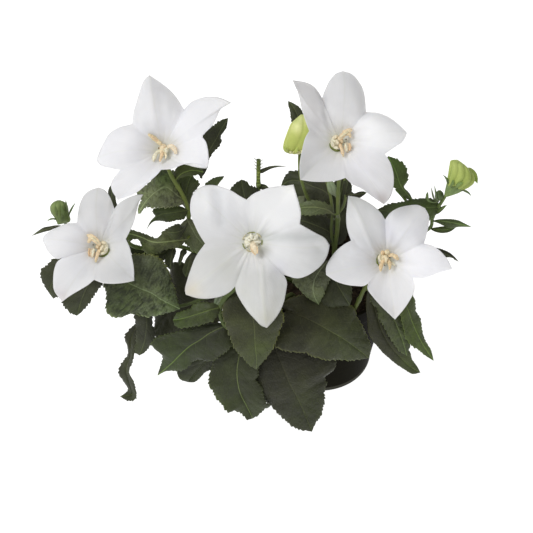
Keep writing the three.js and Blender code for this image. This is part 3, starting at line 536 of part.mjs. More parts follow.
for (let k = 0; k < HOLE_COUNT; k++) {
  const a = ((k + 0.5) / HOLE_COUNT) * 2 * Math.PI;
  const h = new THREE.CylinderGeometry(HOLE_R, HOLE_R, 6, 8);
  h.rotateX(Math.PI / 2);
  h.translate(HOLE_PITCH_R * Math.cos(a), HOLE_PITCH_R * Math.sin(a), 1);
  pot = pot.subtract(solidOf(h));
}
const inner = (z) => wallR(z) - POT_WALL - GAP - 0.1;
let soil = solidOf(turned([
  [0, 2.2], [wallR(0) - POT_WALL - 2, 2.2], [inner(5) - 0.3, 5], [inner(bandZ - 2) - 0.1, bandZ - 2], [inner(SOIL_TOP) - 0.2, SOIL_TOP],
  [26, SOIL_TOP + SOIL_CROWN * 0.6], [13, SOIL_TOP + SOIL_CROWN * 0.9], [0, SOIL_TOP + SOIL_CROWN],
].map(([r, z]) => new THREE.Vector2(r, z)), 24));

// ---------------------------------------------------------------- plant
const pieces = new Map();     // name -> solid
const clear = new Map();      // name -> the larger solid that other pieces stay out of

// corollas, stamens
for (const [side, f] of Object.entries(FLOWERS)) {
  pieces.set(`petals_${side}`, solidOf(corollaGeometry(f)));
  clear.set(`petals_${side}`, solidOf(corollaGeometry(f, GAP)));
}

// stems with their side shoots, small leaves, and the seed cup and sepals behind each flower
for (const [name, s] of Object.entries(STEMS)) {
  const parts = [solidOf(stemGeometry(s.pts, s.r))];
  const fat = [solidOf(stemGeometry(s.pts, s.r + GAP + 0.05))];
  for (const b of SHOOTS.filter((x) => x.stem === name)) {
    parts.push(solidOf(stemGeometry(b.pts, b.r)));
    fat.push(solidOf(stemGeometry(b.pts, b.r + GAP + 0.05)));
  }
  for (const l of Object.values(SMALL_LEAVES).filter((x) => x.stem === name)) {
    parts.push(solidOf(bladeGeometry(l, 5, 0, true)));
    fat.push(solidOf(bladeGeometry(l, 5, GAP, true)));
  }
  if (s.flower) {
    const f = FLOWERS[s.flower], n = V(f.n).normalize(), top = V(f.throat).addScaledVector(n, -PETAL_T / 2 - GAP - 0.35);
    const foot = top.clone().addScaledVector(n, -7);
    const cup = [[0, 0], [0.02, 1.4], [0.3, 2.9], [0.75, 3.7], [0.97, 3.3], [1, 0]];
    parts.push(solidOf(podGeometry(foot.toArray(), top.toArray(), cup, 5, 0.05)));
    fat.push(solidOf(podGeometry(foot.toArray(), top.toArray(), cup.map(([t, r]) => [t, r ? r + GAP : 0]), 5, 0.05)));
    const at = top.clone().addScaledVector(n, -1.2).toArray();
    for (const q of sepals(at, f.n, 3.2, 8, 3.2, -1.2, 0.3)) { parts.push(q); fat.push(q); }
  }
  pieces.set(name, largest(join(parts)));
  clear.set(name, join(fat));
}

// stamens and pistil in each throat
for (const [side, f] of Object.entries(FLOWERS)) {
  const { n, u, v } = frameOf(f.n);
  const foot = V(f.throat).addScaledVector(n, PETAL_T / 2 + GAP + 0.6);
  const at = (r, w, h) => foot.clone().addScaledVector(u, r * Math.cos(w)).addScaledVector(v, r * Math.sin(w)).addScaledVector(n, h).toArray();
  const parts = [solidOf(podGeometry(foot.toArray(), at(0, 0, 3), [[0, 0], [0.02, 2.4], [0.7, 2.3], [1, 0]], 5, 0.04, 8))];
  parts.push(solidOf(podGeometry(at(0, 0, 1), at(0, 0, 11.5), [[0, 0], [0.02, 0.8], [0.75, 0.75], [0.92, 1.5], [1, 0]], 5, 0.1, 6)));
  for (let k = 0; k < 5; k++) {
    const w = f.turn + (k / 5) * 2 * Math.PI;
    parts.push(solidOf(podGeometry(at(1.0, w, 1.4), at(7.2, w, 6.2), [[0, 0], [0.05, 0.55], [0.7, 1.05], [1, 0]], 2, 0.1, 4)));
  }
  pieces.set(`stamens_${side}`, join(parts));
  clear.set(`stamens_${side}`, join(parts));
}

// buds with their own sepals
for (const [name, b] of Object.entries(BUDS)) {
  const axis = V(b.apex).sub(V(b.base));
  const body = solidOf(podGeometry(b.base, b.apex, b.radii, 5, b.ridge, b.sides || 10));
  const at = V(b.base).addScaledVector(axis, b.sepalAt).toArray();
  pieces.set(name, largest(join([body, ...sepals(at, axis.toArray(), b.sepalR, b.sepalL, b.sepalW, b.sepalLift, b.turn || 0)])));
  clear.set(name, solidOf(podGeometry(b.base, b.apex, b.radii.map(([t, r]) => [t, r ? r + GAP : 0]), 5, b.ridge, b.sides || 10)));
}

// leaves, each with its base against a stem
for (const [name, l] of Object.entries(LEAVES)) {
  pieces.set(name, solidOf(bladeGeometry(l, LEAF_ROWS)));
  clear.set(name, solidOf(bladeGeometry(l, LEAF_ROWS, GAP)));
}

// where two pieces would pass through each other, the later one stops short of the earlier
const ORDER = [
  ...Object.keys(FLOWERS).map((s) => `petals_${s}`), ...Object.keys(STEMS),
  ...Object.keys(FLOWERS).map((s) => `stamens_${s}`), ...Object.keys(BUDS), ...Object.keys(LEAVES),
];
const potClear = solidOf(turned([[0, -1], [POT_BASE_R + 1, -1], [wallR(bandZ) + GAP + 0.1, bandZ - 1], [POT_RIM_R + GAP, bandZ], [POT_RIM_R + GAP, POT_H + GAP],
  [POT_RIM_R - 2, POT_H + GAP], [0, SOIL_TOP + SOIL_CROWN + GAP]].map(([r, z]) => new THREE.Vector2(r, z)), 40));
const done = [];
for (const name of ORDER) {
  let s = pieces.get(name);
  const isStem = name in STEMS;
  if (!isStem && overlapBox(s, potClear)) s = s.subtract(potClear);
  for (const other of done) {
    const c = clear.get(other);
    if (overlapBox(s, c) && s.intersect(c).volume() > 1e-6) s = s.subtract(c);
  }
  s = largest(s);
  pieces.set(name, s);
  done.push(name);
}
for (const name of Object.keys(STEMS)) {
  if (overlapBox(soil, clear.get(name))) soil = soil.subtract(clear.get(name));
  if (pieces.get(name).intersect(pot).volume() > 1e-6) pieces.set(name, largest(pieces.get(name).subtract(potClear)));
}
soil = largest(soil);

// ---------------------------------------------------------------- scene graph
const group = new THREE.Group();
const finish = (color, roughness) => new THREE.MeshStandardMaterial({ color, roughness, metalness: 0 });
const put = (name, solid, material, parent) => {
  const mesh = new THREE.Mesh(geometryOf(solid), material);
  mesh.name = name;
  parent.add(mesh);
};
const holder = new THREE.Group(), plant = new THREE.Group();
group.add(holder, plant);
put('pot', pot, finish(POT_COLOR, 0.55), holder);
put('soil', soil, finish(SOIL_COLOR, 1), holder);
for (const name of ORDER) {
  const material = name.startsWith('petals') ? finish(PETAL_COLOR, 0.6)
    : name.startsWith('stamens') ? finish(ANTHER_COLOR, 0.8)
      : name.startsWith('bud') ? finish(BUD_COLOR, 0.55)
        : name.startsWith('stem') ? finish(STEM_COLOR, 0.6)
          : finish(LEAF_COLOR, 0.5);
  put(name, pieces.get(name), material, plant);
}

export default group;
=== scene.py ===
# Potted balloon flower (Platycodon): five open white flowers, buds, serrated leaves,
# leaning stems, compost and a tapered nursery pot. Tables are in millimetres, in the
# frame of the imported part; meshes are built in metres.
import bpy, math
import numpy as np
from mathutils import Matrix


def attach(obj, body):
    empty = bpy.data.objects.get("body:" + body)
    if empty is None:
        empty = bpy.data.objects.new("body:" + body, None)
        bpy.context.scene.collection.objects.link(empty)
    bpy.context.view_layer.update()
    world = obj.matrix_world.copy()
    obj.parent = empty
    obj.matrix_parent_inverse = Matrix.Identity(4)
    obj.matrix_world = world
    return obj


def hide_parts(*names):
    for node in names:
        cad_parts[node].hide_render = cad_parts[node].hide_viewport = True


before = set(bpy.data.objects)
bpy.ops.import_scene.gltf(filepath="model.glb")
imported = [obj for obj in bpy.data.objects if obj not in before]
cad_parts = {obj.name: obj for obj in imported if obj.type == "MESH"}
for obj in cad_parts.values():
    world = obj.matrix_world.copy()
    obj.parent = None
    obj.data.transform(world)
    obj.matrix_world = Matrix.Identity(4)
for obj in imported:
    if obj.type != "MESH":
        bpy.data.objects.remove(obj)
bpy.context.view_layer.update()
scene = bpy.context.scene

# ------------------------------------------------------------------ tables (millimetres)
STEMS = {
    "stem_top_left": {"r": 1.25, "flower": "top_left", "pts": [[-8,4,58],[-9.5,4,70],[-34,-5.1,82.7],[-49.1,-8.4,87.9],[-64.1,-8.2,94.9],[-71.8,-4.1,102.8],[-74.3,0.6,110.7],[-74.9,3.8,117.7],[-76.6,4.6,124.6],[-78.9,5.4,130.8],[-81.4,5.7,136.6],[-83.9,6.5,142.8],[-85.9,8.3,150],[-87.1,10,154.3]]},
    "stem_left": {"r": 1.25, "flower": "left", "pts": [[-13,-7,58],[-16,-8,71],[-32.9,-17,84],[-50.7,-15.9,87.7],[-64.6,-11.7,93],[-72.9,-8.9,97.7],[-78.4,-8.5,100.1],[-83.3,-9.4,102],[-90.4,-10.5,102.8],[-95.9,-12.1,103],[-100.7,-13.4,104.4],[-104.6,-14.7,107.3],[-108,-15.5,111.1],[-114.9,-18,111.7],[-120.8,-20.7,111.3]]},
    "stem_center": {"r": 1.35, "flower": "center", "pts": [[-14,-15,58],[-17,-19,72],[-26.2,-35.7,82.2],[-33.9,-44.2,81.8],[-42.1,-50.5,80.7],[-48.7,-53.1,80.4],[-53.3,-52.8,83.4],[-56.2,-51.2,89],[-56.5,-49.2,95.7],[-53.3,-47.9,102.3],[-48.4,-46.7,108.2],[-43.5,-43,118.5],[-40.2,-40.2,128],[-39.2,-38.8,133.4]]},
    "stem_right": {"r": 1.2, "flower": "right", "pts": [[15,-26,58],[16.5,-29.5,71],[15.5,-36,75.1],[17.5,-35.9,80],[20,-35.9,88.2],[22.4,-35.9,96.4],[27.9,-35.7,107.5],[32.9,-35.9,115.6]]},
    "stem_top_right": {"r": 1.25, "flower": "top_right", "pts": [[4,1,58],[4,1,72],[6.2,-1.6,80.6],[6.8,-0.3,90.7],[7.9,0.4,102.9],[8,1.1,117.3],[7.7,2,130.4],[7.9,2.2,141.6],[8.1,3.6,153.8],[8.1,4,163.7]]},
    "stem_yellow_bud": {"r": 1.0, "pts": [[-3,8,58],[-3.5,9,72],[-2.2,5.3,81.5],[-2.4,8.7,94.3],[-6,12.3,109.9],[-10.5,11.1,125.2],[-12.9,14,134.7],[-13.4,16.6,140.6],[-13.3,19.1,145]]},
    "stem_right_bud": {"r": 1.1, "pts": [[11,2,58],[12.5,1.5,72],[19.1,-3,82],[31.2,-1.8,89.9],[43.1,-2.7,97.3],[53.2,-3.9,105.8],[59.1,-5.6,113.1],[59.5,-5.8,120.4],[61.1,-6.5,127.3],[63.3,-6.5,132.7],[65.2,-5.7,136.9]]},
    "stem_back": {"r": 1.35, "pts": [[-7,9,58],[-8,10,72],[-22.7,4.9,85.2],[-30.6,10.2,98.4],[-35.8,15.5,111.5],[-36,18.8,120.8],[-36,22,128.5],[-35.8,25,135.4]]},
    "stem_left_low": {"r": 1.0, "pts": [[-16,2,58],[-20,2,72],[-39.6,-16.6,80.2],[-54.6,-23.7,79.7],[-68.5,-28,77.8],[-79.6,-31.1,76.3],[-87.4,-30.3,77],[-92.7,-28.3,78.9]]},
}
SHOOTS = [
    {"stem": "stem_left", "r": 0.8, "pts": [[-118.1,-19.7,111.5],[-125.2,-18.3,113.5],[-133.3,-15,117.3],[-139.8,-12.2,120.6],[-142.1,-10.9,123.2]]},
    {"stem": "stem_top_right", "r": 0.8, "pts": [[8,0.8,116.7],[10.7,1.8,121.3],[12,3.7,127.2],[11.6,6.3,133],[11.2,8.1,137.4]]},
    {"stem": "stem_right_bud", "r": 0.9, "pts": [[53.2,-3.9,105.8],[50.4,-3.9,115.3],[47.1,-3.3,124.1],[45.3,-2.3,128.5],[43,-0.4,132.3]]},
    {"stem": "stem_left_low", "r": 0.8, "pts": [[-86.3,-30.4,76.7],[-91,-28.4,72],[-97,-27.1,66.3]]},
    {"stem": "stem_top_right", "r": 0.95, "pts": [[6.7,-0.6,88.6],[5.3,-0.1,97],[4.7,1.4,106.6],[5.1,3.2,115.1],[4.2,6.4,122.2],[2.4,9.9,129.5],[-2.1,16.9,138.8],[-6.5,23.7,145.2],[-10,29,150.8]]},
]
LEAVES = {
    "leaf_front_center": {"mid": [[-47.4,-43.4,103.1],[-43.1,-49,102],[-39.8,-54.1,97.9],[-38.2,-58.3,90.5],[-37.7,-62.6,79.7],[-36.9,-65.3,70.3],[-37.2,-66.3,63.3]],
        "a": [[-52.3,-47.1,101.5],[-55.5,-52,97.3],[-53.9,-57.1,90],[-51.3,-60.6,83.3],[-48.1,-63.7,76.8],[-44.3,-65.2,71.8],[-40.5,-66.2,67.1]],
        "b": [[-37.7,-43.8,103.4],[-29.6,-45.7,100.7],[-24.1,-48.5,95.8],[-22,-52.3,90.2],[-23.6,-55.2,85.3],[-25.2,-58,81],[-27.9,-60.9,76],[-31.2,-63.4,71.4],[-34.5,-65.2,66.8]]},
    "leaf_front_left": {"mid": [[-47.2,-48,72.8],[-45.5,-52.4,68.7],[-46.7,-56.7,62.6],[-47.8,-60.4,55.8],[-47.3,-63.9,47.1],[-45.7,-65.5,40.1],[-42.9,-67.4,33.6],[-39.1,-69.5,24.1]],
        "a": [[-52.7,-49.2,69.9],[-58.3,-53.4,63],[-61.7,-57.7,56],[-63.4,-60.7,51],[-63.5,-63.3,46.3],[-61.5,-65,43.2],[-59.7,-67.1,38.7],[-56.9,-68,35.7],[-53,-70.2,30.9],[-50.2,-69,30.8],[-45.8,-69.2,28.3],[-42.4,-70.6,24.7]],
        "b": [[-40.6,-51.6,69.4],[-36.2,-55.5,63.8],[-35.9,-59.2,57.9],[-36.2,-62,52.6],[-37.6,-62.7,50.8],[-34,-64.7,45.4],[-32.9,-66.3,40.3],[-31.7,-67.5,37],[-28.9,-68.2,34.2],[-32.3,-68.4,31.3],[-35.1,-69,28]]},
    "leaf_front_right": {"mid": [[-30.6,-36.3,72.1],[-28.4,-45.2,67.9],[-26.2,-51.9,63],[-22.3,-58.2,55.8],[-18.4,-62.9,46.7],[-14.4,-65,37.8],[-10.4,-67.4,27.4],[-5.7,-70.6,13.4]],
        "a": [[-37.3,-43.2,65.6],[-41.8,-49.9,58.8],[-42.3,-56.4,51.1],[-39.6,-62.5,42.6],[-34,-65.8,36.2],[-28.5,-66.8,31.8],[-25,-68.4,27.4],[-19.2,-70.6,21],[-14.1,-71.4,17.2]],
        "b": [[-18.4,-38.7,71.4],[-5.1,-45,65.2],[5,-49,59.5],[7.3,-52.1,54.6],[7,-54.4,51.3],[1.3,-57.1,44.4],[2.7,-58.2,41.8],[0.8,-60.1,37.5],[1.4,-62.3,32.7],[0.8,-64.1,28.9],[-0.5,-66.7,23.2],[-3.5,-68.2,19]]},
    "leaf_right_center": {"mid": [[-24.5,-32.2,72.5],[-20.1,-37.1,78.9],[-15.2,-42.3,82.2],[-9.8,-45.9,83],[-3.3,-49,81.5],[3.4,-50.5,77.4],[10.7,-50.9,71.5],[18.2,-50.8,63.4],[25.8,-50.4,54.2]],
        "a": [[-21.8,-32.5,81.2],[-15.2,-33.3,87],[-6.4,-34.3,88.9],[2.4,-35.8,88.2],[11.2,-36.4,85.5],[17.4,-37.7,81.6],[18.8,-40,77.9],[22,-42.7,71.8],[24.9,-45.2,66.2],[26.3,-47.4,61.1],[26.5,-49.1,57.1]],
        "b": [[-26.8,-40.6,73.6],[-28.4,-49.1,72.4],[-26.8,-54.7,69.6],[-21.8,-57,68.1],[-14.7,-57.4,67.3],[-10.3,-56.9,66.7],[-6.9,-58,64.6],[-0.8,-57.8,62.2],[6.5,-56.5,59.8],[14.9,-54.5,57.1],[20.6,-52.5,55.4]]},
    "leaf_center_right": {"mid": [[1.7,-23.5,103.9],[-1.7,-29.7,105],[-5.1,-35,102.7],[-6.1,-38.7,97.9],[-4.9,-39.9,92.7],[-2.6,-40,87.1]],
        "a": [[-5.5,-25,105.6],[-13.2,-28.6,103.8],[-17.5,-33,100.1],[-14.8,-36,97.3],[-11.5,-37.7,94.3],[-7.1,-39.3,90.4]],
        "b": [[4.3,-29.5,103.2],[2.6,-34.8,100],[0.5,-38.2,95.7],[-1.6,-39.5,90.6]]},
    "leaf_under_right_flower": {"mid": [[-0.8,-16.4,99.6],[2.8,-26,100.2],[6.6,-32.8,97.9],[10.4,-37,92.7],[14.5,-38.9,85.4]],
        "a": [[-3.6,-23,97],[-3.7,-30.9,93.4],[-2.9,-37.7,89.4],[0.1,-40.3,86.9],[7.3,-40.5,86]],
        "b": [[9,-22.9,100.1],[14.4,-29.2,97.2],[15.2,-34.2,92.9],[15.2,-36.9,88.5]]},
    "leaf_left_front": {"mid": [[-53,-52.3,83.2],[-55.7,-53,83.2],[-62.3,-54.6,80.4],[-67.9,-55.4,75.5],[-73.5,-55.2,70.2],[-79.3,-55.6,63],[-84,-55,55.4],[-92.7,-53.7,42.9]],
        "a": [[-55.8,-50.8,84.4],[-64,-50.2,82.9],[-72.3,-50.1,79.4],[-81.3,-49.2,75.1],[-88,-48.5,71.7],[-93.1,-48.2,68.8],[-95.5,-49.5,64],[-91.8,-49.3,60.3],[-89.1,-49.4,57.4],[-89.6,-50.8,53],[-91.1,-52.1,48.4]],
        "b": [[-50.8,-54.3,81],[-49.8,-57.8,75.8],[-52,-59.5,72.7],[-55.3,-60.3,69.5],[-60.9,-61.1,64.4],[-65.4,-59.2,63],[-68.2,-58.3,61.9],[-72.1,-57.8,59.6],[-76.1,-58,54.7],[-80.8,-57.1,51],[-87.7,-54.2,47.5]]},
    "leaf_left_front_under": {"mid": [[-48.3,-47.5,70.6],[-55,-50.2,65.3],[-61.7,-52.8,58.8],[-68,-54,50.8],[-75.6,-55.2,38.8]],
        "a": [[-55,-47.5,68],[-65.1,-49.6,62],[-74.1,-51.7,54.9],[-80.4,-52.8,49.3],[-81.6,-54.1,45.6],[-80,-55.4,41.9]],
        "b": [[-47.3,-50.9,63.5],[-52.9,-54.5,55.7],[-61.9,-54.8,50],[-65.9,-55,47.2],[-68.7,-55.9,43.4],[-71.9,-56.3,40.3]]},
    "leaf_left_small": {"mid": [[-56.5,-49.7,95.9],[-59.9,-51,96.1],[-63.7,-51.7,95.3],[-68.6,-51.9,93.1],[-74.1,-51.5,90.1],[-78.6,-50,86.7],[-82.7,-47.4,83]],
        "a": [[-58.3,-48.6,97.1],[-62.1,-48.1,97.7],[-67.5,-47,97.3],[-71.4,-47.3,95.3],[-73,-48.3,93.1],[-77.5,-47.7,90.7],[-80.9,-47.3,87.4]],
        "b": [[-56.9,-51.3,94],[-60.5,-54.5,90.4],[-63.7,-54.6,89.1],[-67.6,-54.9,87.5],[-73.1,-54.7,85.5],[-78.1,-53.7,83.5],[-81.5,-50.9,82.9]]},
    "leaf_left_large": {"mid": [[-115.5,-25.6,104.6],[-112.5,-30.2,103.1],[-107.5,-35.5,100.9],[-100.9,-37.9,98.6],[-94.5,-38.6,95.3],[-88.8,-38.7,89.7],[-79.2,-37.7,81.1]],
        "a": [[-110.5,-23.1,107.5],[-103.9,-22.3,109],[-97.3,-22.2,109.3],[-91.3,-23.1,108.3],[-87.8,-24.5,105.8],[-85.4,-27.4,101.7],[-83.3,-30,96.4],[-81.8,-32.4,91.7],[-80.5,-35.3,85.9]],
        "b": [[-119.8,-27.9,102.2],[-120.7,-33.2,97.5],[-119.3,-37,94.3],[-119.3,-40.2,91.4],[-119.8,-42.9,88.6],[-117.1,-46.2,85.4],[-111.1,-46.4,84],[-106.3,-44.8,84.6],[-100.9,-44,83.3],[-95.5,-43.7,81.7],[-90.1,-42.1,81.1],[-84.7,-39.9,81.1]]},
    "leaf_left_lower": {"mid": [[-92.9,-28.1,80.4],[-96.7,-32,78.1],[-98,-36,71.7],[-98.8,-38.7,63.8],[-100.3,-40.3,55.4],[-103.3,-40.9,45.2]],
        "a": [[-98.5,-28.3,80.6],[-104.1,-30.9,76.1],[-105.1,-33.7,70.8],[-104.5,-36.4,64.6],[-104.8,-39.3,55.9],[-105.7,-41,48.3]],
        "b": [[-91.9,-30.7,75.8],[-95.1,-33.2,70.2],[-95.3,-35.3,65.8],[-93.9,-36.9,61.7],[-94.4,-39.5,55.3],[-97,-40.3,52.4],[-100,-40.9,48.3]]},
    "leaf_left_hanging": {"mid": [[-97,-26.6,66.1],[-103.9,-29.9,59.6],[-108,-35.2,52],[-108.4,-40.1,44.7],[-111.3,-43.7,35.8],[-109.3,-47,27.3],[-108.3,-48,19.5],[-115.8,-46.6,15.4]],
        "a": [[-101.6,-27.5,62],[-109.8,-30.7,54.6],[-111.9,-32.9,51.1],[-110.5,-35.5,47.1],[-110.1,-38.1,42.7],[-112.6,-39.3,39.3],[-115.8,-41.8,33.5],[-113.5,-44.2,27],[-110.9,-45.4,20.3],[-113.1,-46.2,17.6]],
        "b": [[-97,-31.5,61.4],[-102.7,-35.9,56.2],[-104.4,-39.1,52.3],[-106.2,-42.5,47.5],[-107.1,-44.9,43.4],[-109,-47.2,37.7],[-107.2,-49,32.4],[-105.4,-51.1,25.9],[-106.1,-51.9,19.7],[-110.9,-50.5,16.2]]},
    "leaf_left_shade": {"mid": [[-56.2,-33.1,78.5],[-61.9,-27.9,75.2],[-68.7,-24,73.3],[-77.9,-22.6,69.2],[-87.2,-23.5,60.1],[-96.7,-26.8,47.5]],
        "a": [[-60.8,-21.5,78.9],[-68.8,-10.5,81.9],[-76.8,-5.5,83.1],[-83.1,-3.7,82.5],[-87.8,-8.6,74],[-92.5,-15,64.1],[-94.9,-20.3,56.5],[-95.3,-23.7,51.8]],
        "b": [[-56.9,-32.7,68],[-61,-33.8,60.7],[-66.7,-34.8,55.4],[-74.7,-34,51.5],[-85.1,-32.3,47.7],[-93.2,-29.8,46.6]]},
    "leaf_left_upper": {"mid": [[-75.3,-11,108.7],[-80.6,-13.5,110.5],[-87.1,-15.4,111.4],[-93.7,-15.4,111.4],[-99.9,-11.6,110.9],[-105.1,-8.3,109.9],[-110.3,-5.6,108.3]],
        "a": [[-78.5,-8.2,112.5],[-83.5,-7,114.5],[-87.8,-9,113.4],[-91.4,-11.7,110.9],[-95.6,-10.3,110.8],[-101.2,-7.6,110.9],[-105.7,-5.5,110.9],[-108.3,-4.6,110.5]],
        "b": [[-79.1,-14.6,107],[-85.6,-16.6,106.8],[-91.1,-18.5,105.8],[-95.5,-19.1,105.3],[-99.4,-16.9,106.1],[-100.5,-13.5,107.8],[-102.3,-11,108.8],[-104.8,-10.3,108.1],[-106.8,-10.7,106.8],[-109.4,-9.4,106.7]]},
    "leaf_left_middle": {"mid": [[-75.5,0.6,113.1],[-73.8,-2.8,111.7],[-71,-6.4,108.3],[-68.3,-8.7,105.1],[-63.9,-10.4,99.7]],
        "a": [[-72.7,0.2,113.1],[-69.9,-3.7,109.5],[-66.6,-6.6,106.2],[-62.2,-9.6,101.3]],
        "b": [[-78.3,-0.8,111.5],[-79.4,-3.2,109],[-77.7,-7.4,104.6],[-73.9,-10.7,101.2],[-68.3,-12.4,98.6]]},
    "leaf_under_left_flower": {"mid": [[-74.5,4.6,113.7],[-75.4,6.6,119.6],[-75.9,8.5,125.5],[-74.7,10.7,130.3],[-72.5,14.5,133.8]],
        "a": [[-78.1,8.2,117.1],[-81,11.9,123.7],[-82,14.3,129],[-79.2,15.8,132.9]],
        "b": [[-73.3,7.2,117],[-72.1,10,123.2],[-69.3,11.2,127.4],[-68.5,12.2,130.1],[-70.7,13.1,131.7],[-71.6,13.9,132.9]]},
    "leaf_arching_left": {"mid": [[-75.8,4.1,122.1],[-81.7,5.4,128.1],[-86.9,7,131.6],[-91.6,6.1,129.4],[-96.3,6.5,123.6],[-100.5,6.4,116.7],[-102.9,6.7,110.8]],
        "a": [[-78.9,8,126],[-79.9,11.9,130.6],[-81.3,15.6,134.7],[-85.7,16.5,136.1],[-89.8,16.8,136.2],[-95.7,13,130.3],[-103.1,10.6,123.1],[-99.6,11,121.6],[-101.5,9.2,117.8],[-103,7.8,113.7]],
        "b": [[-79.1,2.9,121.4],[-84.6,1.4,121.6],[-90.1,1.2,121.1],[-94.7,3.6,118.9],[-97.6,5.3,117.5],[-99.8,5.7,115.4],[-101.1,5.8,112.5]]},
    "leaf_behind_left_flower": {"mid": [[-67.6,15.2,130.4],[-66.4,17.9,137],[-63.6,21.7,143.3],[-59.2,27.3,148.5],[-56,34,150.6],[-52.6,41,151.7]],
        "a": [[-71.4,17.9,135.5],[-71.4,22.1,141.4],[-68.6,26.4,146.4],[-64.2,31.8,150.7],[-60.7,34.9,151.6],[-57.1,38.3,152.2]],
        "b": [[-65.1,17.1,133.2],[-63.4,20.6,138.3],[-60.9,23.4,142.1],[-56.2,27,145.9],[-56.5,30.4,147.9],[-53.8,34.7,149.6]]},
    "leaf_far_left": {"mid": [[-132.7,-20.4,105.4],[-140.4,-24.4,101.7],[-147.3,-26.8,95.4],[-151.1,-28.9,87.9],[-149.7,-30.2,81.3]],
        "a": [[-139.4,-19.5,104.5],[-148.4,-19.6,102.6],[-152.7,-21.5,99],[-155.8,-22.8,96.7],[-156.4,-24.7,93.2],[-154.7,-27,89.1],[-152.1,-28.7,85]],
        "b": [[-134,-24.1,99.7],[-139.8,-28.4,91.4],[-145.8,-30.3,84.5]]},
    "leaf_below_left_flower": {"mid": [[-120.6,-21.1,106.2],[-125.5,-27.1,100.5],[-129.5,-31.3,93.8],[-133.2,-33.9,86],[-136.6,-37.1,74.8]],
        "a": [[-127.2,-23,103.4],[-136.2,-29,95.3],[-143.2,-33.1,86.8],[-144,-35.2,82.5],[-142.4,-36.3,79.5],[-139.8,-37.1,76.8]],
        "b": [[-118.6,-24.4,100.1],[-120.3,-28.2,94.5],[-122.6,-30.3,91.1],[-126.1,-32,87.2],[-129,-34.1,82.9],[-132.6,-35.9,78.3]]},
    "leaf_right_low": {"mid": [[24.1,-35,94.6],[27.1,-37.5,86.7],[29.4,-41.8,80],[32.7,-46.3,71.7],[37.4,-49.4,63.4],[43.6,-51,55],[49.5,-51.5,47.7],[55.2,-51.2,42.5]],
        "a": [[23.2,-36.8,87.6],[24,-41.7,78.1],[25,-45.8,71.1],[27.3,-48.3,66.2],[29.9,-49.4,63.4],[34.5,-51.3,58],[39.7,-52.5,52.9],[45.5,-53.1,47.7],[50.5,-53.2,43.7]],
        "b": [[31.1,-35.6,86.2],[34.6,-39.9,77.8],[39.2,-43.4,70],[44.5,-46.1,62.1],[48.6,-47.7,56.2],[50,-48.9,51.7],[53,-50,46.9]]},
    "leaf_right_middle": {"mid": [[27,-35.7,103.4],[32,-41,97.1],[35.9,-46,89.7],[40,-49.8,80.7],[43.8,-52.3,70.2],[46.4,-54.1,60.3]],
        "a": [[26,-38.2,98.2],[25.5,-41.8,92.3],[28.4,-43.7,88.8],[29.9,-46.4,84.3],[31.8,-48.1,80.8],[33.9,-50,77.2],[37.4,-51.8,71.4],[41.8,-53.7,64.7]],
        "b": [[34.8,-34.7,100],[42.7,-37.6,93.3],[47.3,-42.7,84.4],[48.7,-47.7,75],[47.9,-51.7,66.1]]},
    "leaf_right_outer": {"mid": [[34.3,-37.2,107.5],[40.2,-43.8,102.7],[44.8,-48.2,94.6],[48.5,-51.6,84.5],[53.6,-54.9,73.2],[61.2,-56.7,59.2]],
        "a": [[36.4,-43.7,103.3],[40.4,-50.2,94.4],[42.8,-53.8,85.4],[44.5,-56.1,78.8],[48,-57.4,73.2],[51.5,-57.3,69.8],[56.2,-57.2,64.3]],
        "b": [[42.6,-38,105.2],[48.4,-42.3,97],[50.4,-45.9,88.7],[52.9,-47.5,84.4],[53.7,-50.1,78.6],[55.9,-52.7,72.4],[59,-54.3,66.6],[60.2,-55.4,63.2]]},
    "leaf_top_right_upper": {"mid": [[48.3,-4,131.7],[44.3,-2,136.2],[41,0.7,140.1],[38.9,6.1,143.8],[34.8,14.7,147.7]],
        "a": [[43.9,-3.3,133.3],[38.1,-0.2,137.8],[34.1,5.1,141.8],[32.5,10.3,145.1]],
        "b": [[46.4,-1,134.5],[43,1.5,137.5],[45.3,3.5,140],[45.5,7.2,142.8],[43.9,10.1,145.3],[41,12.3,146.6],[38,13.6,147.2]]},
    "leaf_top_right_serrated": {"mid": [[63.3,-6.2,129.6],[57.3,-8.3,131],[49.6,-9.8,131.7],[42.1,-9.5,130.6],[35.2,-8.3,128.3],[28.6,-5.4,126.2]],
        "a": [[61.4,-3.7,131.4],[56.5,-2.4,132.6],[49.4,-2.9,132.4],[44.5,-3.5,131.4],[38.6,-3.9,130.3],[33.2,-4.4,128.7]],
        "b": [[60.8,-9.5,126.8],[57.5,-11.7,125.1],[52,-12.6,124.9],[44.4,-12.2,124.6],[38,-11.2,124.3],[32.9,-9.7,124.4]]},
    "leaf_behind_center_flower": {"mid": [[-36.2,9.1,98.8],[-40.1,4.9,112.6],[-42.8,5.6,121.4],[-44.4,9,127.3],[-45.3,14.6,129.9]],
        "a": [[-46.2,3.6,107.7],[-51.7,5.1,117.1],[-53.8,8.2,123.4],[-51.3,10.2,127],[-48.3,12.9,128.8]],
        "b": [[-34,8.7,108],[-34,9.6,117.4],[-35.6,11.8,125.1],[-40.6,12,127.9],[-42.8,13.9,129.4]]},
    "leaf_between_right_upper": {"mid": [[3.9,7.8,123.9],[-0.6,15,121.4],[-6.1,19.2,120.4],[-12.7,22.6,120.9],[-18.3,23.6,120.4],[-23.3,22.5,117.4]],
        "a": [[1.7,19.6,123.1],[-3.8,26.4,124.3],[-12.7,28.2,123.9],[-18.9,27.7,123.1],[-21.1,26,121.2],[-22.4,24.3,119.3]],
        "b": [[2.7,9.1,117],[-3.8,12.9,112.5],[-10.5,15,111.2],[-15.5,19.1,114.2],[-19.4,22.2,117.2]]},
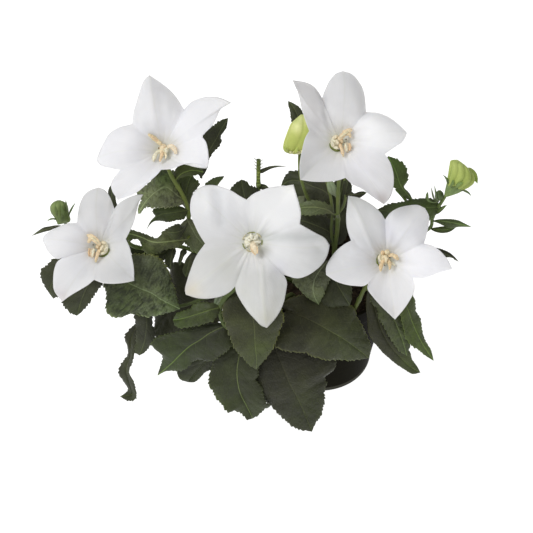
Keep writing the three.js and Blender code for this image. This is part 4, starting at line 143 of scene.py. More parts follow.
    "leaf_between_right": {"mid": [[6.1,0.7,116.1],[1.3,0.4,120.7],[-4.3,-0.2,122.9],[-9.7,0.5,122.2],[-16.8,2.3,118.4]],
        "a": [[4.1,2.8,121],[-1.5,3.5,124.2],[-7.5,3.7,124.4],[-12.5,3.6,122.6]],
        "b": [[2.4,-0.6,118.2],[-4.3,-3,119.9],[-9.7,-2.8,119.3],[-14.1,-0.4,118.4]]},
    "leaf_between_right_lower": {"mid": [[6.9,1.5,98.5],[1.8,2.6,102.2],[-4.4,2.9,105.9],[-11.1,4.2,107.8],[-17.2,6,106.8]],
        "a": [[4.7,8.3,104.4],[-1.5,9.1,107.6],[-9.4,8.5,109],[-15.6,8,108.7]],
        "b": [[4.1,-1.8,96.3],[-2.7,-2.1,98.3],[-10.5,-0.8,101.8],[-15,2.1,104.4]]},
    "leaf_back_left": {"mid": [[-30.6,10.7,98.8],[-37.4,14.5,98.9],[-45.4,20.2,94.7],[-53.5,27.4,89.1],[-61.9,35.9,82.1]],
        "a": [[-36.3,21.3,101.7],[-45.4,29.6,99.8],[-54.7,34.6,94.8],[-60.6,36.3,88.2]],
        "b": [[-36.3,9.6,94.2],[-44.2,11.6,88.9],[-53.5,17.6,84.3],[-59.4,27.2,82.7]]},
    "leaf_back_middle": {"mid": [[0.2,8.1,78.6],[-2,14.5,81.8],[-3.6,24.1,82.6],[-4.5,35.9,81.3],[-5.4,50.3,78.4]],
        "a": [[-8.8,15.7,78.9],[-12.1,25.7,80.1],[-12,36.6,80.6],[-9,44.8,79.7]],
        "b": [[4.9,13.4,79.6],[5.6,22.8,81.4],[3.6,33.7,81.9],[-0.9,43.2,80.5]]},
    "leaf_back_right": {"mid": [[17,1.4,80.7],[24,7.4,86.5],[32.5,14.4,87.5],[41,22.4,84],[51,32,77]],
        "a": [[17,8.6,86],[24.5,17.7,90],[35,26,89],[45,31,84]],
        "b": [[24,3.4,83.5],[33.5,7.7,83.5],[42,14.6,81.5],[48.5,23.1,79]]},
    "leaf_back_low": {"mid": [[-20.5,1.3,77.5],[-28,5.5,84.5],[-37.5,9.5,85.5],[-47.5,15.5,80.5],[-58,22,72]],
        "a": [[-22,9,84],[-33.5,17.5,88],[-44,22,85],[-52.5,23.5,79]],
        "b": [[-27.5,0.5,82.5],[-36,-1,83.5],[-46,2.5,81],[-54,11.5,76]]},
    "leaf_back_outer": {"mid": [[25.5,-1.8,85.5],[35,-1,87.2],[43,2,86],[50.5,6.5,80],[58,12.5,71]],
        "a": [[33.5,5,88],[42,10,88.5],[50.8,12.5,84.5],[55.8,13,78]],
        "b": [[33,-8,85.2],[41.5,-8.5,84],[50,-4.5,79.5],[55.5,3.5,73.5]]},
}
SMALL = {
    "bract_left_tip": {"stem": "stem_left",
        "mid": [[-139.9,-12.1,120.5],[-147.1,-11.3,119.3],[-151,-11.6,117.7],[-155.8,-10.5,114.6],[-161.2,-8.9,109.3]], "a": [[-146.5,-10.9,119.9],[-149.9,-10.8,119],[-153.6,-10.1,117.3],[-157,-9.8,114.2]], "b": [[-147.1,-12,118.6],[-149.9,-12.4,117.3],[-152.8,-11.8,115.7],[-157,-10.5,112.7]]},
    "tiny_serrated": {"stem": "stem_top_left",
        "mid": [[-74.8,0.6,110.7],[-76.3,-7,114.5],[-78,-11.5,116.4],[-81.4,-14.1,117.5],[-85.5,-13.9,117.6]], "a": [[-77.6,-7.2,115.3],[-79.7,-8.9,119],[-82.3,-10.8,119.8],[-84.5,-12.1,119.3]], "b": [[-77.5,-13.3,114.3],[-79.6,-15.9,114],[-82.5,-16.8,114.9],[-84.7,-15.6,116]]},
    "thin_left": {"stem": "stem_left",
        "mid": [[-108,-14.4,110.7],[-112.1,-7,113.8],[-114.9,-1.1,117.9],[-116.7,5.7,122.9],[-116.9,13.5,127.5]], "a": [[-113.8,-4.3,115.7],[-116.6,2,120.3],[-118.9,7.6,124.1],[-118.5,11.5,126.4]], "b": [[-111,-4.4,115.7],[-113.3,2,120.3],[-114.5,5.6,122.9],[-115.1,9.5,125.2]]},
    "leaf_left_inner": {"stem": "stem_left",
        "mid": [[-83.3,-9.9,101.6],[-88.3,-12.4,99.8],[-93.7,-13.9,99.8],[-99.2,-14,101.1],[-104.1,-13.7,102.8],[-107.9,-12.6,104.5]], "a": [[-87.7,-10.7,101.3],[-93.2,-11.3,101.9],[-98.7,-11.4,103.3],[-103.6,-11.2,104.8],[-106.4,-11,105.5]], "b": [[-87.1,-15.4,97.3],[-92.6,-16.7,97.1],[-98.1,-16.9,98.1],[-103,-16.4,99.6],[-106.6,-14.6,102.2]]},
    "hanging_left_a": {"stem": "stem_left",
        "mid": [[-82.8,-9.2,101.7],[-83.8,-13.3,100.4],[-84.7,-15.9,96.6],[-85,-17.1,90.7]], "a": [[-86,-12.1,101.1],[-87.7,-14.7,98.2],[-87.5,-16.6,94.2]], "b": [[-81.5,-12.1,100.7],[-82.2,-14.3,99],[-83.2,-15.8,96.9],[-83.1,-16.8,93.5]]},
    "hanging_left_b": {"stem": "stem_left",
        "mid": [[-77,-8.5,99.8],[-77.8,-11.6,98.6],[-79,-13.4,95.6],[-79.8,-14.2,90.7]], "a": [[-79.2,-10.9,99.1],[-79.8,-12.4,97],[-80.6,-13.6,93.8]], "b": [[-75.6,-11.2,98.7],[-77.3,-12.5,96.9],[-78.3,-13.5,94.5]]},
    "hanging_left_c": {"stem": "stem_left",
        "mid": [[-72.4,-9,97.4],[-73.7,-12.6,95.6],[-75.2,-14.8,91.4],[-76.7,-17.3,85.1]], "a": [[-74.2,-10.8,96.6],[-76.3,-12.9,94.7],[-77.4,-14.5,91.9],[-78.2,-15.9,88.5]], "b": [[-69.5,-11.6,96.2],[-70.7,-14.7,92.2],[-73.6,-17.3,86.8]]},
    "leaf_behind_stems": {"stem": "stem_top_right",
        "mid": [[7,0.9,91.1],[8.9,6.8,93.1],[9.5,12.9,98.1],[10,18.3,103.9],[10.5,23.8,110.4],[12.5,30.2,117.1]], "a": [[4.6,4.5,92.3],[3.2,10.2,96],[2.7,16.8,102.2],[2.7,22.5,108.4],[6,27.8,114.3]], "b": [[11.7,3.7,91],[14.8,9.9,95.5],[15.1,16.7,102.3],[15.6,22.3,108.7],[16.4,26.5,113.2]]},
    "leaf_tip_right_stem": {"stem": "stem_top_right",
        "mid": [[11.9,3.9,127.7],[12,4,132.2],[12.7,5.7,135.2],[12,8.2,136.9]], "a": [[10.2,3.8,131.3],[10,5.1,134.2],[10.7,7,136.1]], "b": [[14.4,3.4,130.5],[15.3,4.3,133.1],[14.6,6,135.5]]},
    "tip_leaf_back": {"stem": "stem_back",
        "mid": [[-36.4,22.2,127.6],[-34,22.2,128.7],[-30.6,22.9,130.7],[-26.7,22.9,132.1],[-19.6,22,132.6]], "a": [[-34.5,23.1,129.6],[-31.7,23.3,130.9],[-29.5,23.4,131.7],[-24.5,22.9,132.5]], "b": [[-34,21.5,128],[-31.2,21.9,129.5],[-28.4,22.3,130.9],[-24.5,22.4,132]]},
    "base_bract_back": {"stem": "stem_back",
        "mid": [[-36,18.5,119.8],[-34,17.4,121.5],[-32.3,16.8,122.3],[-30.1,16.3,121.9]], "a": [[-35.1,18.8,122.3],[-33.4,18.2,122.9],[-31.7,17.4,122.9]], "b": [[-34.5,16.6,120.2],[-32.3,15.6,121.2],[-30.9,15.8,121.4]]},
    "leaf_upper_right_small": {"stem": "stem_top_right",
        "mid": [[12,3.7,127.2],[13.7,2.2,130.6],[16.4,1.5,131.3],[19.6,1.7,131.5],[23.5,3.6,130.5]], "a": [[14.2,3.6,132.6],[16.4,2,131.7],[19.1,2.6,132.3],[21.9,3.6,131.5]], "b": [[14.2,1.4,129.8],[16.9,0.5,130.3],[19.4,0.1,130],[21.6,1.6,130.3]]},
    "folded_right": {"stem": "stem_right_bud",
        "mid": [[58.7,-5.4,111.9],[62.7,-9.8,115.3],[66.9,-11.2,116.7],[73.1,-8.6,116.4]], "a": [[61.7,-7.9,115.2],[65.8,-9.5,117.7],[70.3,-8.7,117.6]], "b": [[60.2,-8.2,112.7],[64.8,-11.9,114.7],[69.1,-11.6,115.5]]},
    "bract_right_low": {"stem": "stem_right_bud",
        "mid": [[60.1,-6.5,124.2],[61.8,-9.4,128.7],[63.7,-9.8,131.7],[66.4,-9.1,133.7]], "a": [[60.3,-7.8,127.8],[62.7,-9.1,131.6],[64.7,-9,133.2]], "b": [[61.8,-9.6,127.4],[64,-10.3,130.8],[65.5,-9.6,132.7]]},
    "bract_right_high": {"stem": "stem_right_bud",
        "mid": [[45.4,-1.6,127.7],[43.8,-0.4,129.5],[41.5,1.6,131.4],[39,3.8,132.1]], "a": [[44.4,-1.3,128.4],[42.3,0.4,130.3],[40.3,2.4,131.5]], "b": [[45.1,-0.6,129.1],[43.2,0.9,130.8],[41,2.9,132.1]]},
    "leaf_behind_bud": {"stem": "stem_top_right",
        "mid": [[-9.8,28.5,149.7],[-12.5,31.8,154.1],[-15.3,37.1,159.7],[-18,40.6,162.3],[-19.6,42.6,162.8]], "a": [[-14.7,29.9,152.1],[-17.7,33.2,155.8],[-18.6,37.6,159.9],[-19.5,40,161.8]], "b": [[-8.7,32.6,154.8],[-11.4,36.8,159.2],[-13.4,39,161.4],[-16.9,41,162.7]]},
    "leaf_right_tip": {"stem": "stem_right_bud",
        "mid": [[59.2,-5.8,118],[63.8,-9.8,122.1],[68.5,-12.1,123.4],[74.1,-11.4,121.3],[80.9,-9.4,117.1]], "a": [[63.4,-8.1,121.7],[68.6,-10,123.8],[73.1,-9.7,122.5],[77.1,-9.6,119.9]], "b": [[62,-8,118.9],[65,-10.8,119.6],[68.7,-12.9,119.8],[73.2,-11.7,119.3],[77.2,-10.5,118.2]]},
    "leaf_olive_left": {"stem": "stem_top_left",
        "mid": [[-81.4,5.8,137.3],[-78,6.4,142],[-73,7.1,144],[-69.3,7.7,143.3],[-65.7,9,141]], "a": [[-81.9,9,141.1],[-78.6,11.4,144.4],[-74.2,12,146.1],[-70.4,11.8,145.7],[-67.7,10.9,144.4],[-67,9.8,142.5]], "b": [[-78.3,6,139.4],[-74.7,6,140.9],[-70.9,5.8,141.3],[-68,7.2,141.3]]},
    "leaf_behind_right_flower": {"stem": "stem_right_bud",
        "mid": [[49.5,-3.5,102.4],[52.4,-9.8,104.3],[56.3,-15.7,105.7],[61.6,-18.8,106.9],[67.6,-20.2,106.2],[74.5,-20.7,101]], "a": [[54.5,-11.5,104.5],[60.2,-15,107],[64.9,-17.2,107.5],[69.3,-18.9,106.3],[72.4,-19.8,103.5]], "b": [[53.8,-13.9,103.4],[58.5,-18.9,103.9],[63.3,-21.2,103.9],[67.1,-20.8,104.7],[70.5,-20.1,103.8],[72.8,-20.4,102.3]]},
    "leaf_back_small_left": {"stem": "stem_back",
        "mid": [[-34,12.7,104.8],[-46.3,9.6,104.7],[-56.3,10.2,112],[-60.6,13.9,120.9],[-54.9,21.1,126.3]], "a": [[-46.3,13.7,107],[-56.3,15.6,114.5],[-64.6,15.6,119.3],[-65.8,17.3,123.2],[-62.9,19.2,125],[-59.3,20.6,126]], "b": [[-43.5,7.2,100.8],[-54.1,6.5,104.6],[-59.6,10.2,113.6],[-59,17.3,123],[-56.8,19.4,124.9]]},
    "leaf_pointed_left": {"stem": "stem_top_left",
        "mid": [[-74.8,3,117.7],[-79.2,1,118.5],[-84.7,0.4,118],[-89.8,1.2,116],[-93.8,1.7,112.3],[-96.2,1.5,109.4],[-98,0.9,104.8]], "a": [[-78.7,4.2,119.3],[-84.8,4.6,119.3],[-90.4,4.9,118.1],[-94.3,4.7,116.3],[-94.4,4,114.7],[-92.2,4.1,113.4],[-94.8,3,110.3]], "b": [[-76.7,-1.3,115.4],[-82,-2,114.4],[-85.4,-1.7,113],[-90.5,0.5,111.6],[-93.9,1.6,110.1],[-96.4,1.4,107.5]]},
}
FLOWERS = {
    "top_left": {"rim": [-86.6,0.83,164.85], "throat": [-87.4,10.97,155.29], "n": [-0.1, -0.389, 0.916], "turn": 0.3,
        "notch": [[-103.65,16.45,169.63],[-75.73,22.03,175.05],[-65.84,6.66,169.6],[-87.44,-9.48,160.38],[-109.4,-7.75,158.72]],
        "lobes": [
            [[[-102.78,23.98,172.92],[-101.29,29.31,175.35],[-99.81,34.67,177.79],[-97.77,39.99,180.27]],[-94.84,42.5,181.66],[[-89.03,38.16,180.45],[-83.5,33.3,178.99],[-79.62,28.61,177.42]]],
            [[[-72.55,25.3,176.78],[-68.27,27.12,178.02],[-62.89,27.76,178.88],[-56.42,26.68,179.13]],[-50.48,23.47,178.42],[[-55.29,21.16,176.91],[-56.88,19.12,175.87],[-58.45,15.47,174.15],[-60.56,11.87,172.39],[-63.73,8.9,170.78]]],
            [[[-63.66,3.54,168.51],[-62.54,-0.82,166.78],[-62.11,-6.18,164.55]],[-62.43,-10.39,162.73],[[-66.71,-7.93,163.3],[-72.04,-6.98,163.12],[-76.29,-7.71,162.35],[-81.58,-9.41,161.05]]],
            [[[-89.52,-11.96,159.1],[-93.18,-14.85,157.47],[-100.49,-20.6,154.23]],[-109.98,-23.55,151.94],[[-113.33,-18.56,153.7],[-113.99,-14.81,155.22],[-111.98,-10.73,157.17]]],
            [[[-114.8,-6.26,158.76],[-119.14,-4.86,158.88],[-121.35,-3.08,159.4]],[-122.23,-0.88,160.24],[[-120.51,3.81,162.42],[-118.5,7.94,164.39],[-115.41,12.55,166.68],[-110.1,15.36,168.46]]],
        ]},
    "top_right": {"rim": [7.39,-6.11,177.52], "throat": [7.96,4.1,167.98], "n": [0.18, -0.4, 0.899], "turn": 0.9,
        "notch": [[-9.18,-2.81,182.31],[-2.13,15.51,189.06],[21.24,11.62,182.65],[30.91,-8.95,171.55],[9.74,-24.35,168.92]],
        "lobes": [
            [[[-11.24,2.62,185.14],[-12.79,7.61,187.68],[-13.81,12.18,189.92],[-15.36,17.74,192.71]],[-17.72,22.67,195.38],[[-11.09,22.62,194.02],[-7.38,21.59,192.82],[-4.22,18.9,190.99]]],
            [[[-0.48,19.99,190.73],[2.25,25.71,192.73],[5.51,29.67,193.84]],[9.28,31.58,193.94],[[14.09,30.71,192.59],[18.31,26.55,189.89],[20.37,22.07,187.48],[21.07,16.88,185.02]]],
            [[[27.66,12.05,181.55],[34.04,10.35,179.52],[39.31,6.92,176.93]],[42.98,3.77,174.8],[[40.71,-0.75,173.23],[36.34,-4.52,172.43]]],
            [[[33.47,-12.73,169.35],[34.96,-17.18,167.07],[35.37,-21.76,164.95],[34.71,-26.99,162.75],[33.02,-31.32,161.16]],[29.77,-35.09,160.13],[[27.68,-34.1,160.98],[22.49,-31.26,163.29],[18.33,-28.77,165.23],[13.11,-26.95,167.09]]],
            [[[6.84,-25.78,168.87],[2.63,-27.14,169.1],[-3.66,-28.29,169.86],[-8.88,-28.77,170.69]],[-14.08,-28.74,171.74],[[-14.29,-21.1,175.19],[-12.93,-13.19,178.44],[-11.31,-6.76,180.98]]],
        ]},
    "left": {"rim": [-121.72,-29.38,121.65], "throat": [-122.84,-21.01,112.86], "n": [-0.08, -0.457, 0.886], "turn": 0.1,
        "notch": [[-134.08,-16.13,127.36],[-113.81,-10.27,132.22],[-107.17,-25.97,124.71],[-123.96,-45.38,113.19],[-141.66,-33.46,117.74]],
        "lobes": [
            [[[-133.71,-10.85,130.12],[-132.76,-6.36,132.52],[-130.69,-2.42,134.74],[-127.48,-0.08,136.24]],[-122.86,1.17,137.3],[[-119.26,-0.57,136.72],[-116.42,-4.29,135.06]]],
            [[[-111.96,-8.1,133.5],[-108.2,-5.8,135.03],[-102.79,-4.1,136.39]],[-98.16,-3.87,136.93],[[-100.01,-6.79,135.25],[-101.53,-11.75,132.56],[-103.03,-17.7,129.36],[-105.1,-22.09,126.9]]],
            [[[-104.9,-30.59,122.54],[-103.71,-35.14,120.3],[-102.51,-40.66,117.56]],[-102.1,-47.11,114.27],[[-107.19,-47.81,113.45],[-114.18,-47.91,112.77],[-119.59,-47.11,112.69]]],
            [[[-127.13,-47.67,111.72],[-131.37,-49.9,110.19],[-136.68,-52.56,108.34]],[-140.9,-55.28,106.55],[[-145.42,-49.61,109.07],[-146.16,-44.13,111.83],[-145.8,-39.2,114.4],[-144.31,-35.31,116.55]]],
            [[[-144.37,-33.81,117.31],[-147.14,-32.15,117.92],[-149.98,-29.0,119.29]],[-152.63,-23.84,121.71],[[-151.88,-21.87,122.79],[-148.69,-19.55,124.28],[-144.39,-17.79,125.58],[-140.62,-16.5,126.58]]],
        ]},
    "center": {"rim": [-38.77,-48.16,145.15], "throat": [-38.87,-39.19,135.79], "n": [0.08, -0.8, 0.594], "turn": 0.5,
        "notch": [[-63.51,-49.87,146.18],[-41.86,-34.82,163.53],[-13.96,-40.92,151.56],[-22.28,-57.54,130.3],[-47.97,-62.62,126.91]],
        "lobes": [
            [[[-66.08,-47.65,149.51],[-68.64,-44.65,153.89],[-70.67,-41.63,158.23],[-71.15,-38.53,162.47],[-70.34,-35.67,166.21]],[-67.99,-33.2,169.23],[[-63.84,-31.71,170.67],[-58.67,-31.26,170.59],[-54.54,-31.64,169.51],[-49.37,-32.59,167.54],[-45.23,-33.92,165.2]]],
            [[[-38.48,-32.9,165.66],[-33.8,-31.38,167.07],[-28.6,-30.14,168.04],[-22.36,-29.47,168.11]],[-17.42,-28.72,168.46],[[-16.1,-31.3,164.8],[-14.52,-34.34,160.49],[-13.46,-37.42,156.2]]],
            [[[-10.29,-41.97,149.65],[-5.56,-43.28,147.25],[-0.83,-44.6,144.84]],[1.82,-46.66,141.7],[[0.81,-49.89,137.48],[-2.32,-53.25,133.39],[-5.99,-55.36,131.04],[-10.19,-57.19,129.14],[-15.44,-58.28,128.38]]],
            [[[-20.69,-59.68,127.2],[-21.21,-62.9,122.93],[-22.25,-66.16,118.69],[-24.35,-69.47,114.5],[-27.51,-72.53,110.81]],[-31.2,-75.14,107.79],[[-34.36,-74.51,109.07],[-37.51,-72.75,111.86],[-41.71,-70.1,116.0],[-45.37,-66.78,120.96],[-47.46,-64.34,124.52]]],
            [[[-50.07,-64.17,125.11],[-53.22,-65.62,123.59],[-58.46,-66.86,122.62],[-63.69,-67.46,122.5],[-68.91,-67.43,123.25]],[-73.86,-66.75,124.84],[[-74.36,-65.19,127.01],[-73.01,-61.94,131.2],[-70.88,-58.02,136.2],[-68.23,-54.07,141.15]]],
        ]},
    "right": {"rim": [32.67,-45.45,128.53], "throat": [33.51,-36.85,119.37], "n": [0.06, -0.449, 0.892], "turn": 0.7,
        "notch": [[13.41,-36.38,134.39],[31.76,-25.11,138.83],[52.35,-36.18,131.87],[46.03,-53.5,123.58],[22.09,-57.21,123.33]],
        "lobes": [
            [[[12.13,-33.21,136.07],[11.12,-29.27,138.12],[10.92,-24.28,140.65],[11.53,-18.75,143.39]],[12.13,-13.94,145.77],[[16.95,-14.48,145.17],[21.75,-16.28,143.95],[26.52,-19.08,142.22],[29.68,-21.95,140.56]]],
            [[[34.51,-21.73,140.34],[38.86,-19.03,141.41],[44.26,-17.53,141.8],[49.65,-17.04,141.68]],[53.38,-18.38,140.76],[[55.42,-22.31,138.64],[55.0,-27.34,136.14],[53.81,-31.88,133.94]]],
            [[[57.13,-37.21,131.03],[60.8,-39.54,129.62],[64.42,-43.34,127.46]],[66.93,-48.18,124.85],[[62.63,-49.35,124.55],[58.33,-50.76,124.13],[55.1,-52.13,123.66],[50.81,-53.3,123.36]]],
            [[[46.74,-56.9,121.82],[46.38,-60.35,120.11],[44.16,-64.35,118.25],[40.88,-68.87,116.2]],[36.01,-74.16,113.86],[[31.87,-70.7,115.88],[28.24,-67.45,117.76],[24.62,-63.7,119.89],[21.78,-59.91,121.99]]],
            [[[19.96,-58.52,122.81],[15.2,-58.72,123.03],[9.92,-58.21,123.64],[4.66,-56.72,124.75]],[-0.07,-53.98,126.44],[[-0.03,-50.05,128.42],[2.13,-46.02,130.3],[4.83,-42.45,131.92],[9.12,-38.8,133.46]]],
        ]},
}

# ------------------------------------------------------------------ view frame
# The camera looks down at 47 degrees. A point is placed by its place in the picture and
# its depth w towards the camera in millimetres.
ELEV = math.radians(47.0)
SE, CE = math.sin(ELEV), math.cos(ELEV)
FOC, DIST, U0, V0, W0 = 1802.0, 1000.0, -31.46, 51.24, 80.0
VIEW = np.array([0.0, -CE, SE])          # from the plant to the camera
RIGHT = np.array([1.0, 0.0, 0.0])
UPV = np.array([0.0, SE, CE])

def mm(px, py, w):
    k = (DIST + W0 - w) / FOC
    u = U0 + (px - 266.5) * k
    v = V0 - (py - 266.5) * k
    return np.array([u, v * SE - w * CE, v * CE + w * SE])

def topx(P):
    P = np.asarray(P, float)
    u = P[..., 0]
    v = P[..., 1] * SE + P[..., 2] * CE
    w = -P[..., 1] * CE + P[..., 2] * SE
    k = FOC / (DIST + W0 - w)
    return np.stack([266.5 + (u - U0) * k, 266.5 - (v - V0) * k, w], -1)

# ------------------------------------------------------------------ numeric helpers
def unit(v):
    return v / np.maximum(np.linalg.norm(v, axis=-1, keepdims=True), 1e-9)

def sstep(a, b, x):
    t = np.clip((np.asarray(x, float) - a) / (b - a), 0, 1)
    return t * t * (3 - 2 * t)

def vnoise(P, f, seed=0):
    """Smooth value noise from -1 to 1 at the points P (last axis 3), frequency f."""
    X = np.asarray(P, float) * f + seed * 7.31
    I = np.floor(X).astype(np.int64)
    F = X - I
    F = F * F * F * (F * (F * 6 - 15) + 10)
    def h(i, j, k):
        n = (i * 73856093) ^ (j * 19349663) ^ (k * 83492791) ^ (seed * 265443)
        n = n & 0x7fffffff
        n = ((n ^ (n >> 13)) * 1274126177) & 0x7fffffff
        n = ((n ^ (n >> 16)) * 668265263) & 0x7fffffff
        return (n & 0xffff) / 32767.5 - 1
    out = 0
    for di in (0, 1):
        for dj in (0, 1):
            for dk in (0, 1):
                w = (F[..., 0] if di else 1 - F[..., 0]) * (F[..., 1] if dj else 1 - F[..., 1]) * (F[..., 2] if dk else 1 - F[..., 2])
                out = out + w * h(I[..., 0] + di, I[..., 1] + dj, I[..., 2] + dk)
    return out

def fbm(P, f, seed=0, octaves=3):
    a, s, tot = 1.0, 0.0, 0.0
    for o in range(octaves):
        s = s + a * vnoise(P, f * 2 ** o, seed + 11 * o)
        tot += a
        a *= 0.5
    return s / tot

def curve(points, per=24):
    """Dense centripetal Catmull-Rom polyline through the points."""
    P = np.asarray(points, float)
    if len(P) == 2:
        t = np.linspace(0, 1, per + 1)[:, None]
        return P[0] * (1 - t) + P[1] * t
    X = np.vstack([2 * P[0] - P[1], P, 2 * P[-1] - P[-2]])
    out = []
    t = np.linspace(0, 1, per, endpoint=False)[:, None]
    for i in range(len(P) - 1):
        p0, p1, p2, p3 = X[i:i + 4]
        d0, d1, d2 = [max(np.sum((a - b) ** 2) ** 0.25, 0) for a, b in ((p0, p1), (p1, p2), (p2, p3))]
        if d1 < 1e-4: d1 = 1.0
        if d0 < 1e-4: d0 = d1
        if d2 < 1e-4: d2 = d1
        t1 = ((p1 - p0) / d0 - (p2 - p0) / (d0 + d1) + (p2 - p1) / d1) * d1
        t2 = ((p2 - p1) / d1 - (p3 - p1) / (d1 + d2) + (p3 - p2) / d2) * d1
        out.append(p1 + t1 * t + (-3 * p1 + 3 * p2 - 2 * t1 - t2) * t ** 2 + (2 * p1 - 2 * p2 + t1 + t2) * t ** 3)
    out.append(P[-1:])
    return np.vstack(out)

def arclen(D):
    return np.concatenate([[0], np.cumsum(np.linalg.norm(np.diff(D, axis=0), axis=1))])

def at(D, q):
    s = arclen(D)
    s = s / s[-1]
    return np.stack([np.interp(q, s, D[:, k]) for k in range(D.shape[1])], -1)

def grid_normals(P, wrap=False):
    if wrap:
        Pu = np.roll(P, -1, 1) - np.roll(P, 1, 1)
    else:
        Pu = np.gradient(P, axis=1)
    Pv = np.gradient(P, axis=0)
    return unit(np.cross(Pu, Pv))

class Mesh:
    """Collects vertices (mm), faces and per-vertex colours and values."""
    def __init__(self):
        self.v, self.f, self.c, self.a, self.m = [], [], [], {}, []
        self.n = 0
    def add(self, V, faces, col=None, mat=0, **attrs):
        V = np.asarray(V, float).reshape(-1, 3)
        k = len(V)
        self.v.append(V)
        self.f += [tuple(int(i) + self.n for i in f) for f in faces]
        self.m += [mat] * len(faces)
        if col is None: col = (1, 1, 1)
        col = np.asarray(col, float)
        if col.ndim == 1: col = np.tile(col, (k, 1))
        self.c.append(col.reshape(-1, 3))
        for name in set(self.a) | set(attrs):
            if name not in self.a: self.a[name] = [np.zeros(self.n)] if self.n else []
            val = attrs.get(name, 0.0)
            val = np.asarray(val, float)
            if val.ndim == 0: val = np.full(k, float(val))
            self.a[name].append(val.reshape(-1))
        self.n += k
    def build(self, name, mats, nodes=(), smooth=True):
        me = bpy.data.meshes.new(name)
        V = np.vstack(self.v) * 0.001
        me.from_pydata(V.tolist(), [], self.f)
        me.validate()
        me.update()
        col = me.color_attributes.new("tint", "FLOAT_COLOR", "POINT")
        C = np.vstack(self.c)
        col.data.foreach_set("color", np.hstack([C, np.ones((len(C), 1))]).astype(np.float32).ravel())
        for key, parts in self.a.items():
            at_ = me.attributes.new(key, "FLOAT", "POINT")
            at_.data.foreach_set("value", np.concatenate(parts).astype(np.float32))
        for m in mats: me.materials.append(m)
        if len(mats) > 1: me.polygons.foreach_set("material_index", self.m)
        me.polygons.foreach_set("use_smooth", [smooth] * len(me.polygons))
        ob = bpy.data.objects.new(name, me)
        scene.collection.objects.link(ob)
        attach(ob, "root")
        if nodes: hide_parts(*nodes)
        return ob

def ring_faces(rows, n, closed=True, base=0):
    f = []
    for i in range(rows - 1):
        for j in range(n if closed else n - 1):
            a = base + i * n + j
            b = base + i * n + (j + 1) % n
            f.append((a, b, b + n, a + n))
    return f

def add_lathe(mesh, axis0, axis1, prof, sides=24, ridge=0.0, ridges=5, col=None, turn=0.0, mat=0, squash=1.0, **attrs):
    """Turned solid: prof is a list of (t along the axis 0..1, radius mm)."""
    a0, a1 = np.asarray(axis0, float), np.asarray(axis1, float)
    d = unit(a1 - a0)
    x = unit(np.cross(d, [0.31, 0.77, 0.55]))
    y = np.cross(d, x)
    ph = np.linspace(0, 2 * math.pi, sides, endpoint=False)
    V, C = [], []
    for t, r in prof:
        rr = r * (1 + ridge * np.cos(ridges * (ph + turn)))
        V.append(a0 + (a1 - a0) * t + rr[:, None] * (np.cos(ph)[:, None] * x + squash * np.sin(ph)[:, None] * y))
    V = np.array(V).reshape(-1, 3)
    faces = ring_faces(len(prof), sides)
    faces.append(tuple(range(sides))[::-1])
    faces.append(tuple((len(prof) - 1) * sides + i for i in range(sides)))
    mesh.add(V, faces, col, mat, **attrs)

def frames_along(C):
    T = unit(np.gradient(C, axis=0))
    X = np.zeros_like(T)
    ref = np.array([0.13, 0.9, 0.4])
    x = unit(ref - (ref @ T[0]) * T[0])
    for i in range(len(T)):
        x = unit(x - (x @ T[i]) * T[i])
        X[i] = x
    return T, X, np.cross(T, X)

def add_tube(mesh, points, r0, r1=None, step=0.8, sides=12, ridges=5, ridge=0.05, col=(1, 1, 1), col1=None, nodes=(), cap=True, mat=0, seed=1, dense=None, prof=None):
    D = curve(points) if dense is None else dense
    L = arclen(D)[-1]
    n = max(6, int(L / step))
    q = np.linspace(0, 1, n + 1)
    C = at(D, q)
    T, X, Y = frames_along(C)
    if r1 is None: r1 = r0
    R = r0 + (r1 - r0) * q
    if prof is not None: R = R * np.interp(q, [p[0] for p in prof], [p[1] for p in prof])
    for s_, amp, wid in nodes:
        R = R * (1 + amp * np.exp(-((q - s_) * L / wid) ** 2))
    R = R * (1 + 0.05 * vnoise(C, 0.35, seed))
    ph = np.linspace(0, 2 * math.pi, sides, endpoint=False)
    rr = R[:, None] * (1 + ridge * np.cos(ridges * ph)[None, :])
    V = C[:, None, :] + rr[..., None] * (np.cos(ph)[None, :, None] * X[:, None, :] + np.sin(ph)[None, :, None] * Y[:, None, :])
    c0 = np.asarray(col, float)
    c1 = c0 if col1 is None else np.asarray(col1, float)
    CC = c0[None, None, :] * (1 - q[:, None, None]) + c1[None, None, :] * q[:, None, None]
    CC = np.broadcast_to(CC, V.shape).reshape(-1, 3)
    faces = ring_faces(n + 1, sides)
    if cap:
        faces.append(tuple(range(sides))[::-1])
        faces.append(tuple(n * sides + i for i in range(sides)))
    mesh.add(V.reshape(-1, 3), faces, CC, mat, along=np.repeat(q * L, sides))

# ------------------------------------------------------------------ materials
def new_mat(name):
    m = bpy.data.materials.new(name)
    m.use_nodes = True
    nt = m.node_tree
    for n in list(nt.nodes): nt.nodes.remove(n)
    out = nt.nodes.new("ShaderNodeOutputMaterial")
    bsdf = nt.nodes.new("ShaderNodeBsdfPrincipled")
    nt.links.new(bsdf.outputs[0], out.inputs[0])
    return m, nt, bsdf

